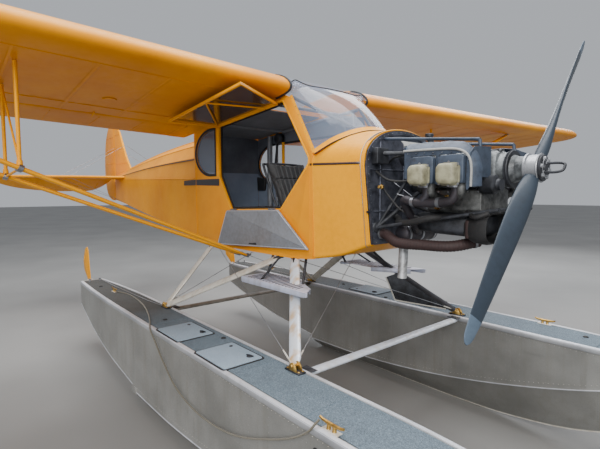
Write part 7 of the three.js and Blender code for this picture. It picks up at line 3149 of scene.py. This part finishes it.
    def plumbing(self) -> None:
        """Red ducts, dark oil and fuel hoses, control rods and firewall fittings."""
        path = smooth_path(
            [
                at(0.6215, -0.215, 1.392), at(0.66, -0.215, 1.390), at(0.76, -0.236, 1.352),
                at(0.90, -0.220, 1.350), at(1.05, -0.170, 1.352), at(1.14, -0.060, 1.378)],
            120)
        hose = Shape().tube(path, lambda t: 0.0285 + 0.0013 * math.sin(t * 230), 20)
        hose.piece("air_duct", HOSE_RED, Edge.ROUND, replaces=["air_hose"])
        clamps = Shape()
        for i in (3, 114):
            clamps.turned(
                path[i], np.subtract(path[i + 2], path[i]),
                [(-0.006, 0.0295), (-0.006, 0.0312), (0.006, 0.0312), (0.006, 0.0295)], 24)
        clamps.piece("duct_clamps", BARE_STEEL, Edge.SOFT)
        second = smooth_path(
            [
                at(0.622, -0.10, 1.50), at(0.68, -0.12, 1.47), at(0.74, -0.20, 1.46), at(0.86, -0.25, 1.47),
                at(0.98, -0.24, 1.50), at(1.04, -0.13, 1.50)],
            80)
        dark = Shape().tube(second, lambda t: 0.018 + 0.001 * math.sin(t * 200), 14)
        for points, r in (
            (((0.622, -0.06, 1.62), (0.70, -0.08, 1.60), (0.78, -0.16, 1.58), (0.88, -0.15, 1.57)), 0.009),
            (((0.622, 0.08, 1.55), (0.72, 0.10, 1.52), (0.86, 0.10, 1.48), (0.98, 0.06, 1.46)), 0.009),
            (((0.622, -0.26, 1.75), (0.70, -0.25, 1.70), (0.78, -0.20, 1.69), (0.86, -0.10, 1.70)), 0.007),
            (((0.622, -0.20, 1.66), (0.69, -0.22, 1.60), (0.80, -0.23, 1.52), (0.95, -0.16, 1.47)), 0.006),
            (((0.622, -0.15, 1.80), (0.68, -0.16, 1.83), (0.76, -0.12, 1.84), (0.83, -0.05, 1.80)), 0.006)
        ):
            dark.tube(smooth_path([at(*p) for p in points], 30), r, 10)
        for y in (-0.30, 0.22):
            dark.tube(
                smooth_path([at(1.12, y * 0.5, 1.53), at(1.20, y * 0.75, 1.51), at(1.26, y * 0.7, 1.53)], 14),
                0.012, 12)
        dark.piece("engine_hoses", BLACK_RUBBER, Edge.ROUND)
        scoop = Shape()
        rings = []
        for x, wide, low, high in (
            (1.10, 0.07, 1.40, 1.50), (1.16, 0.11, 1.375, 1.515), (1.22, 0.13, 1.37, 1.53),
            (1.25, 0.125, 1.38, 1.525)
        ):
            rings.append(boxy_ring((x, -0.09, (low + high) / 2), wide, (high - low) / 2, 0.6, 28))
        scoop.loft(rings, caps=False)
        obj = scoop.object("air_scoop", Edge.SOFT)
        shade(thickened(obj, 0.003).data, Edge.SOFT)
        dress(obj, BLACK_RUBBER)
        rings = []
        for x, wide, low, high in (
            (0.790, 0.09, 1.44, 1.50), (0.815, 0.125, 1.415, 1.518), (0.93, 0.150, 1.405, 1.524),
            (1.09, 0.145, 1.400, 1.524), (1.175, 0.12, 1.410, 1.520), (1.195, 0.09, 1.43, 1.505)
        ):
            rings.append(boxy_ring((x, -0.03, (low + high) / 2), wide, (high - low) / 2, 0.5, 32))
        Shape().loft(rings).piece("carburettor_shroud", DARK_STEEL_AND_SHADE, Edge.SOFT)
        filter_box = Shape().box(at(1.13, -0.19, 1.40), at(1.15, 0.01, 1.49))
        filter_box.piece("air_filter", HOSE_RED, Edge.CRISP, bevel=0.004)
        gold = Shape()
        for x, y, z in (
            (0.90, -0.17, 1.60), (1.02, -0.17, 1.605), (0.96, -0.155, 1.55), (0.86, -0.16, 1.72),
            (0.70, -0.30, 1.66)
        ):
            gold.turned(
                at(x, y, z), (0, -1, 0),
                [(0, 0.013), (0.012, 0.013), (0.014, 0.009), (0.03, 0.009), (0.032, TIP)], 6)
        gold.piece("engine_fittings", BRASS, Edge.SOFT)
        rods = Shape()
        rods.rod(at(0.622, -0.12, 1.70), at(0.99, -0.09, 1.45), 0.003, 8)
        rods.rod(at(0.622, 0.12, 1.72), at(0.99, 0.08, 1.46), 0.003, 8)
        rods.rod(at(0.80, -0.30, 1.62), at(1.02, -0.28, 1.56), 0.003, 8)
        rods.piece("engine_control_rods", BARE_STEEL, Edge.ROUND)

    def firewall(self, frame: dict) -> None:
        """The firewall's flange, ribs, box and grommets.

        Args:
            frame: the loaded frame.
        """
        dress_node(frame, FIREWALL_FINISH, "firewall")
        ribs, rim = Shape(), Shape()
        for y in (-0.22, 0.0, 0.22):
            ribs.tube([at(self.face, y, 1.36), at(self.face, y, 1.93)], 0.006, 8)
        for z in (1.52, 1.76):
            ribs.tube([at(self.face, -0.335, z), at(self.face, 0.335, z)], 0.006, 8)
        ribs.piece("firewall_ribs", FIREWALL_FINISH, Edge.ROUND)
        cowl = BootCowl()
        row = cowl.sections[2]
        outer, inner = cowl.ring(row, 0.004), cowl.ring(row, 0.030)
        x = self.face + STATION_ZERO
        rim.loft(
            [
                [(x, p[1], p[2]) for p in outer], [(x + 0.006, p[1], p[2]) for p in outer],
                [(x + 0.006, p[1], p[2]) for p in inner], [(x, p[1], p[2]) for p in inner]],
            caps=False)
        rim.piece("firewall_flange", FIREWALL_FINISH, Edge.CRISP)
        edge = cowl.ring(spread(cowl.sections, [0.600])[0], -0.0015)
        lace = Shape().box((-0.012, -0.0035, -0.002), (0.012, 0.0035, 0.002))
        copies_along("cowl_lacing", [edge[10:39]], 0.016, lace, CAST_PALE, turned=True, edge=Edge.CRISP)
        mid = [[(x + 0.007, p[1], p[2]) for p in cowl.ring(row, 0.016)]]
        copies_along("firewall_rivets", mid, 0.04, dome(0.0034, 0.5), BARE_STEEL)
        box = Shape().box(at(self.face, 0.08, 1.63), at(0.70, 0.24, 1.74))
        box.box(at(self.face, -0.30, 1.79), at(0.665, -0.20, 1.88))
        box.turned(
            at(self.face, 0.0, 1.84), FORE, [(0, TIP), (0, 0.05), (0.07, 0.05), (0.076, 0.044), (0.077, TIP)],
            24)
        box.piece("firewall_boxes", DARK_STEEL_AND_SHADE, Edge.CRISP, bevel=0.004)

    def build(self, frame: dict) -> None:
        """Makes all that stands ahead of the cabin, apart from the propeller.

        Args:
            frame: the loaded frame.
        """
        for side in Side:
            self.cylinders(side)
        self.crankcase()
        self.baffles()
        self.exhaust()
        self.mount()
        self.plumbing()
        self.firewall(frame)


@dataclass
class Propeller:
    """Two-blade metal propeller with its hub, crush plate, bolts and lock."""

    station: float = 1.374
    height: float = 1.742
    radius: float = 0.94
    angle: float = -40.3
    # share of radius, chord, thickness, pitch in degrees
    blade: tuple[tuple[float, float, float, float], ...] = (
        (0.04, 0.058, 0.052, 45), (0.12, 0.084, 0.054, 44), (0.22, 0.101, 0.042, 38),
        (0.38, 0.109, 0.029, 29), (0.58, 0.102, 0.020, 22), (0.78, 0.086, 0.013, 17),
        (0.92, 0.067, 0.009, 14), (0.985, 0.040, 0.006, 13), (1.0, 0.017, 0.004, 13))

    def place(self, x: float, y: float, z: float) -> Point:
        """The frame point of a point in the propeller's own axes."""
        p = Matrix.Rotation(math.radians(self.angle), 4, "X") @ Vector((x, y, z))
        return at(self.station + p.x, p.y, self.height + p.z)

    def half(self, shape: Shape, sign: int, start: float, stop: float, count: int, grow: float) -> None:
        """One blade, or a stretch of it.

        Args:
            shape: the shape that it is added to.
            sign: 1 or -1, the blade's direction.
            start: the first radius.
            stop: the last radius.
            count: how many sections.
            grow: how far it stands proud of the blade's own skin.
        """
        rings = []
        proud = 0.0003 if grow else 0
        for share, chord, thick, pitch in spread(self.blade, np.linspace(start, stop, count)):
            if share > 0.93:
                chord = 0.0655 * math.sqrt(max(0.05, 1 - ((share - 0.93) / 0.0705) ** 2)) * 0.98
            twist = math.radians(pitch)
            ring = []
            for i in range(28):
                turn = 2 * math.pi * i / 28
                u = -chord / 2 * math.cos(turn)
                v = thick / 2 * math.sin(turn) * (1 + 0.25 * math.cos(turn))
                u, v = u * (1 + grow), v * (1 + grow) + proud * math.copysign(1, math.sin(turn))
                x, y = -u * math.sin(twist) + v * math.cos(twist), u * math.cos(twist) + v * math.sin(twist)
                ring.append(self.place(x, sign * y, sign * self.radius * share))
            rings.append(ring)
        shape.loft(rings)

    def build(self) -> None:
        """Makes the propeller."""
        blades, tips, hub, bolts = Shape(), Shape(), Shape(), Shape()
        for sign in (1, -1):
            self.half(blades, sign, 0.04, 1.0, 64, 0)
            self.half(tips, sign, 0.875, 0.9985, 16, 0.006)
        blades.piece("propeller_blades", BLADE, Edge.ROUND, "propeller", ["propeller"])
        tips.piece("propeller_tips", BLADE_TIP, Edge.ROUND, "propeller")
        x = self.station
        hub.turned(
            at(x - 0.0357, 0, self.height), FORE,
            [
                (0, TIP), (0, 0.066), (0.004, 0.072), (0.012, 0.0722), (0.016, 0.064), (0.058, 0.064),
                (0.064, 0.070), (0.067, 0.068), (0.068, TIP)],
            44)
        hub.piece("propeller_hub", BARE_STEEL, Edge.CRISP, "propeller")
        plate = Shape().turned(
            at(x + 0.0315, 0, self.height), FORE,
            [
                (0, TIP), (0, 0.060), (0.002, 0.062), (0.009, 0.062), (0.0125, 0.058), (0.0127, 0.022),
                (0.02, 0.018), (0.021, TIP)],
            40)
        plate.piece("propeller_plate", DARK_STEEL_AND_SHADE, Edge.CRISP, "propeller")
        for k in range(6):
            t = math.radians(30 + 60 * k)
            foot = self.place(0.043, 0.046 * math.cos(t), 0.046 * math.sin(t))
            bolts.turned(
                foot, FORE, [(0, 0.0115), (0.002, 0.0115), (0.0022, 0.0085), (0.010, 0.0085), (0.0108, TIP)],
                6)
        wire = [
            self.place(0.050, 0.046 * math.cos(t), 0.046 * math.sin(t))
            for t in np.linspace(0, 2 * math.pi, 37)]
        bolts.tube(wire, 0.0012, 6)
        for z in (0.028, -0.028):
            bolts.turned(self.place(0.0405, 0, z), FORE, [(0, 0.011), (0.008, 0.011), (0.0085, TIP)], 6)
        loop = [
            self.place(*p)
            for p in (
                (0.040, 0, 0.028), (0.095, 0, 0.029), (0.122, 0, 0.020), (0.127, 0, 0), (0.122, 0, -0.020),
                (0.095, 0, -0.029), (0.040, 0, -0.028))]
        lock = Shape().tube(smooth_path(loop, 40), 0.0065, 12)
        lock.piece("propeller_lock", DARK_STEEL_AND_SHADE, Edge.ROUND, "propeller")
        bolts.piece("propeller_bolts", BARE_STEEL, Edge.SOFT, "propeller")


# ---- doors and seats ----------------------------------------------------


@dataclass
class Doors:
    """The two doors in the right side: the upper one swung up under the wing, the lower one let down."""

    upper_hinge: tuple[tuple[float, float], ...] = ((-0.973, 2.185), (-0.150, 2.245))
    lower_hinge: tuple[tuple[float, float], ...] = ((-0.790, 1.497), (-0.140, 1.519))
    # the upper door's folded rim: share of the way in, height off the hinge's plane
    fold: tuple[tuple[float, float], ...] = (
        (0.0, -0.0065), (0.0, -0.022), (0.1, -0.0238), (0.38, -0.0238), (0.5, -0.021), (0.52, -0.010),
        (0.94, -0.009), (1.0, -0.0075), (1.0, -0.0062), (0.1, -0.0060))

    def spot(self, hinge: Sequence[tuple[float, float]], y: float, u: float, v: float, h: float) -> Point:
        """The frame point of a place along a hinge, to port of it and up from it.

        Args:
            hinge: the hinge line's two ends: station and height.
            y: the hinge line's place to port.
            u: the distance along the hinge.
            v: the distance to port of it.
            h: the height off it.

        Returns:
            The point.
        """
        (x0, z0), (x1, z1) = hinge
        a = math.atan2(z1 - z0, x1 - x0)
        return at(x0 + u * math.cos(a) - h * math.sin(a), y + v, z0 + u * math.sin(a) + h * math.cos(a))

    def upper(self) -> None:
        """The glazed upper door: folded rim, two stiffening bars, pane, hinge knuckles and latch."""
        length = math.dist(*self.upper_hinge)

        def put(u: float, out: float, h: float) -> Point:
            """A point of the open door: along the hinge, out from the cabin, and up from it."""
            return self.spot(self.upper_hinge, -0.366, u, -out, h)

        outline = [
            (0.014, 0.008), (length + 0.006, 0.010), (length + 0.262, 0.462), (length + 0.264, 0.470),
            (0.034, 0.442)]
        inner = [(0.044, 0.036), (length - 0.010, 0.036), (length + 0.215, 0.432), (0.062, 0.410)]
        rim = Shape()
        corners = [outline[0], outline[1], outline[3], outline[4]]
        rings = []
        for (ou, ov), (iu, iv) in zip(corners, inner):
            rings.append([put(ou + (iu - ou) * t, ov + (iv - ov) * t, h) for t, h in self.fold])
        rim.loft([*rings, rings[0]], caps=False)
        rim.piece("upper_door_rim", YELLOW_METAL, Edge.CRISP, "upper_door", ["upper_door"], merge=1e-6)
        bars = Shape()
        for end in (0.050, length - 0.120):
            bars.tube([put(0.630, 0.446, -0.0175), put(end, 0.030, -0.0175)], 0.0062, 12)
        for u in (0.09, length - 0.09):
            bars.rod(put(u - 0.030, 0, 0), put(u + 0.030, 0, 0), 0.0057, 14)
            bars.plate(
                [
                    put(u - 0.012, 0.0035, -0.004), put(u + 0.012, 0.0035, -0.004),
                    put(u + 0.012, 0.012, -0.0075), put(u - 0.012, 0.012, -0.0075)],
                np.subtract(put(0, 0, -0.004), put(0, 0, 0)))
        bars.piece("upper_door_bars", YELLOW_METAL, Edge.ROUND, "upper_door")
        pane = Shape().plate(
            [put(u, v, -0.0058) for u, v in inset(inner, -0.008)],
            np.subtract(put(0, 0, 0.0024), put(0, 0, 0)))
        pane.piece("upper_door_sheet", TINTED, Edge.CRISP, "upper_door", ["upper_door_pane"])
        latch = Shape()
        latch.turned(
            put(0.52, 0.436, -0.024), (0, 0, -1),
            [(0, TIP), (0, 0.014), (0.006, 0.013), (0.009, 0.008), (0.010, TIP)], 16)
        latch.rod(put(0.50, 0.436, -0.0285), put(0.56, 0.436, -0.0285), 0.004, 10)
        for u in (0.10, 0.30, 0.70, 0.90):
            latch.turned(
                put(u, 0.018, -0.0238), (0, 0, -1), [(-0.001, 0.004), (0.0008, 0.0035), (0.001, TIP)], 8)
        latch.piece("upper_door_latch", DARK_STEEL_AND_SHADE, Edge.SOFT, "upper_door")
        seal = Shape()
        path = [put(u, v, -0.0062) for u, v in [*inset(corners, 0.010), inset(corners, 0.010)[0]]]
        seal.tube(path, 0.0022, 6)
        seal.piece("upper_door_seal", BLACK_RUBBER, Edge.ROUND, "upper_door")
        heads = [[put(*p, -0.0240) for p in inset(corners, 0.008)]]
        heads[0].append(heads[0][0])
        copies_along("upper_door_rivets", heads, 0.06, dome(0.0026, 0.5), YELLOW_METAL, "upper_door")

    def lower(self) -> None:
        """The lower door, its grey inner side outwards: folded leaf, flange, latch slot and hinge."""
        length = math.dist(*self.lower_hinge)

        def put(u: float, v: float, h: float) -> Point:
            """A point of the open door: along the hinge, to port of it, and up from it."""
            return self.spot(self.lower_hinge, -0.383, u, v, h)

        leaf = [(-0.014, -0.005), (length + 0.014, -0.005), (length + 0.328, -0.264), (-0.178, -0.290)]
        shape = pillow(Shape(), rounded(leaf, 0.014), 0.0055, lambda u, v, h: put(u, -0.0098 - h, v), 0.004)
        shape.piece("lower_door_leaf", DOOR_GREY, Edge.CRISP, "lower_door", ["lower_door"])
        fold = Shape()
        line = inset(rounded(leaf, 0.014), 0.007)
        fold.tube([put(u, -0.0155, v) for u, v in [*line, line[0], line[1]]], 0.0026, 8)
        fold.piece("lower_door_fold", RUB_METAL, Edge.ROUND, "lower_door")
        skin = Shape().plate(
            [put(u, -0.0028, v) for u, v in inset(leaf, 0.006)],
            np.subtract(put(0, -0.0032, 0), put(0, -0.0042, 0)))
        skin.piece("lower_door_outer_skin", YELLOW_METAL, Edge.CRISP, "lower_door")
        hinge = Shape()
        for x in (0.070, 0.580):
            hinge.rod(put(x - 0.040, 0, 0), put(x + 0.040, 0, 0), 0.0057, 14)
            hinge.plate(
                [
                    put(x - 0.014, -0.0058, 0), put(x + 0.014, -0.0058, 0), put(x + 0.012, -0.0158, -0.045),
                    put(x - 0.012, -0.0158, -0.045)],
                (0, -0.0014, 0))
        hinge.piece("lower_door_hinge_straps", BARE_STEEL, Edge.CRISP, "lower_door")
        slot = Shape()
        slot.plate(
            [
                put(u, -0.0150, v)
                for u, v in rounded([(0.30, -0.262), (0.40, -0.262), (0.40, -0.252), (0.30, -0.252)], 0.004)],
            (0, -0.0014, 0))
        slot.rod(put(0.335, -0.0180, -0.257), put(0.392, -0.0180, -0.250), 0.0035, 10)
        slot.piece("lower_door_latch", BLACK_RUBBER, Edge.CRISP, "lower_door")
        lines = [[put(u, -0.0156, v) for u, v in inset(leaf, 0.020)]]
        lines[0].append(lines[0][0])
        copies_along("lower_door_rivets", lines, 0.055, dome(0.0026, 0.45), DOOR_GREY, "lower_door")

    def build(self) -> None:
        """Makes both doors."""
        self.upper()
        self.lower()


@dataclass
class Seat:
    """One seat: padded back and cushion with sewn channels, over a tube frame."""

    name: str
    node: str
    half_top: float
    half_low: float
    # the back's foot, its lean and height
    foot: tuple[float, float]
    lean: float
    height: float
    # the cushion's rear and front lower edges
    base: tuple[tuple[float, float], tuple[float, float]]
    # the swelling: its limit, the remeshing's grain, the pressure and the frames; the channels' depth
    cap: float = 0.022
    voxel: float = 0.006
    pressure: float = 4
    frames: int = 20
    sunk: float = 0.0075

    def swell(self, obj: bpy.types.Object) -> None:
        """Fills a pad by a short cloth simulation whose movement is capped, then smooths it.

        Args:
            obj: the pad.
        """
        even = obj.modifiers.new("even", "REMESH")
        even.mode = "VOXEL"
        even.voxel_size = self.voxel
        apply_modifiers(obj)
        count = len(obj.data.vertices)
        start, end = np.empty(count * 3), np.empty(count * 3)
        obj.data.vertices.foreach_get("co", start)
        cloth = obj.modifiers.new("swell", "CLOTH")
        cloth.settings.use_pressure = True
        cloth.settings.uniform_pressure_force = self.pressure
        cloth.settings.effector_weights.gravity = 0
        cloth.point_cache.frame_start, cloth.point_cache.frame_end = 1, self.frames
        for step in range(1, self.frames + 1):
            bpy.context.scene.frame_set(step)
        result = obj.evaluated_get(bpy.context.evaluated_depsgraph_get())
        result.data.vertices.foreach_get("co", end)
        obj.modifiers.remove(cloth)
        bpy.context.scene.frame_set(1)
        move = (end - start).reshape(-1, 3)
        far = np.linalg.norm(move, axis=1, keepdims=True)
        move *= np.minimum(1, self.cap / np.maximum(far, 1e-9))
        obj.data.vertices.foreach_set("co", (start.reshape(-1, 3) + move).ravel())
        smooth = obj.modifiers.new("finer", "SUBSURF")
        smooth.levels = smooth.render_levels = 1
        apply_modifiers(obj)

    def channels(
        self, obj: bpy.types.Object, face: Vector, across: Sequence[float], bands: Sequence[float],
        foot: Point, up: Vector
    ) -> None:
        """Sinks sewn channels into a pad's face: lines along it and lines across it.

        Args:
            obj: the pad.
            face: the face's outward direction.
            across: where lines run down the face.
            bands: where lines run across it.
            foot: a point at the face's lower edge.
            up: the direction up the face.
        """
        count = len(obj.data.vertices)
        flat, normals = np.empty(count * 3), np.empty(count * 3)
        obj.data.vertices.foreach_get("co", flat)
        obj.data.vertices.foreach_get("normal", normals)
        points = flat.reshape(-1, 3)
        towards = normals.reshape(-1, 3) @ np.array(face)
        height = (points - np.array(foot)) @ np.array(up)
        widen = 0.78 + 0.22 * np.clip(height / 0.45, 0, 1)
        deep = np.zeros(count)
        for line in across:
            deep = np.maximum(deep, np.exp(-(((points[:, 1] - line * widen) / 0.0045) ** 2)))
        for band in bands:
            deep = np.maximum(deep, np.exp(-(((height - band) / 0.005) ** 2)))
        deep *= np.where(towards < 0.2, 0, np.minimum(1, towards * 1.3)) * self.sunk
        obj.data.vertices.foreach_set("co", (points - deep[:, None] * np.array(face)).ravel())
        obj.data.update()

    def pad(self, name: str, low: Sequence[Point], high: Sequence[Point]) -> bpy.types.Object:
        """A closed block between a lower and an upper outline, a little small, ready to swell.

        Args:
            name: the pad's name.
            low: the lower outline.
            high: the upper outline.

        Returns:
            The pad.
        """
        rings = []
        for t, grow in ((0, 0.95), (0.15, 0.985), (0.5, 1.0), (0.85, 0.985), (1, 0.95)):
            ring = [np.array(a) * (1 - t) + np.array(b) * t for a, b in zip(low, high)]
            middle = np.mean(ring, axis=0)
            rings.append([tuple(middle + (p - middle) * grow) for p in ring])
        return Shape().loft(rings).object(name, Edge.ROUND)

    def outline(self, off: Vector) -> list[Point]:
        """The back's outline, set off from the frame.

        Args:
            off: how far and which way it is set off.

        Returns:
            The outline's points.
        """
        rows = ((0.0, self.half_low), (0.5, (self.half_low + self.half_top) / 2), (0.985, self.half_top))
        half = [(half * 0.97, share) for share, half in rows]
        base = Vector(at(self.foot[0], 0, self.foot[1])) + off
        return [
            tuple(base + Vector((-self.lean * s, h, self.height * s)))
            for h, s in half + [(-h, s) for h, s in half[::-1]]]

    def build(self) -> None:
        """Makes the two pads and the frame."""
        x, z = self.foot
        up = Vector((-self.lean, 0, self.height)).normalized()
        ahead = Vector((self.height, 0, self.lean)).normalized()
        back = self.pad(self.name + "_back_pad", self.outline(ahead * 0.0), self.outline(ahead * 0.040))
        self.swell(back)
        lines = [self.half_top * 0.93 * (k / 4) for k in range(-3, 4)]
        foot = at(x, 0, z)
        self.channels(back, ahead, lines, (self.height * 0.74,), foot, up)
        self.channels(back, -ahead, lines, (self.height * 0.74,), foot, up)
        shade(back.data, Edge.ROUND)
        dress(back, SEAT_BLACK)
        (ax, az), (bx, bz) = self.base
        half = self.half_top - 0.012
        low = [
            at(ax + 0.012, -half, az + 0.012), at(bx - 0.012, -half, bz + 0.012),
            at(bx - 0.012, half, bz + 0.012), at(ax + 0.012, half, az + 0.012)]
        high = [(p[0], p[1], p[2] + 0.044) for p in low]
        cushion = self.pad(self.name + "_cushion_pad", low, high)
        self.swell(cushion)
        slope = Vector((az - bz, 0, bx - ax)).normalized()
        self.channels(cushion, slope, lines, (), at(ax, 0, az), Vector((1, 0, 0)))
        shade(cushion.data, Edge.ROUND)
        dress(cushion, SEAT_BLACK)
        tubes = Shape()
        rear = [
            tuple(Vector(at(x, 0, z)) - 0.006 * ahead + Vector((-self.lean * s, h, self.height * s)))
            for h, s in (
                (self.half_low, 0), (self.half_top, 0.92), (self.half_top * 0.9, 0.985),
                (-self.half_top * 0.9, 0.985), (-self.half_top, 0.92), (-self.half_low, 0))]
        tubes.tube(smooth_path(rear, 60), 0.009, 12)
        seat = [at(ax, -half, az), at(bx, -half, bz), at(bx, half, bz), at(ax, half, az)]
        tubes.tube([*seat, seat[0], seat[1]], 0.009, 12)
        for s in (1, -1):
            tubes.rod(at(ax, s * half, az), at(x - 0.006, s * self.half_low, z + 0.01), 0.009, 12)
        tubes.piece(self.name + "_frame", DARK_STEEL_AND_SHADE, Edge.ROUND, replaces=[self.node])


def main() -> None:
    """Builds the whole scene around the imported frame."""
    logging.basicConfig(level=logging.INFO, format="%(message)s")
    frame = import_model()
    Studio().build()
    MooringLine().build()
    RearFuselage().build()
    BootCowl().build()
    Cabin().build(frame)
    Windshield().build()
    for side in Side:
        Wing(side).build()
        LiftStruts(side).build()
        FloatHull(side).build()
    Tail().build()
    FloatRigging().build()
    Engine().build(frame)
    Propeller().build()
    Doors().build()
    Seat(
        "front_seat", "seat_front", 0.200, 0.165, (-0.372, 1.400), 0.190, 0.465,
        ((-0.330, 1.352), (0.060, 1.372))).build()
    Seat(
        "rear_seat", "seat_rear", 0.250, 0.235, (-1.325, 1.462), -0.395, 0.030,
        ((-1.300, 1.332), (-0.930, 1.352))).build()


if __name__ == "__main__":
    main()
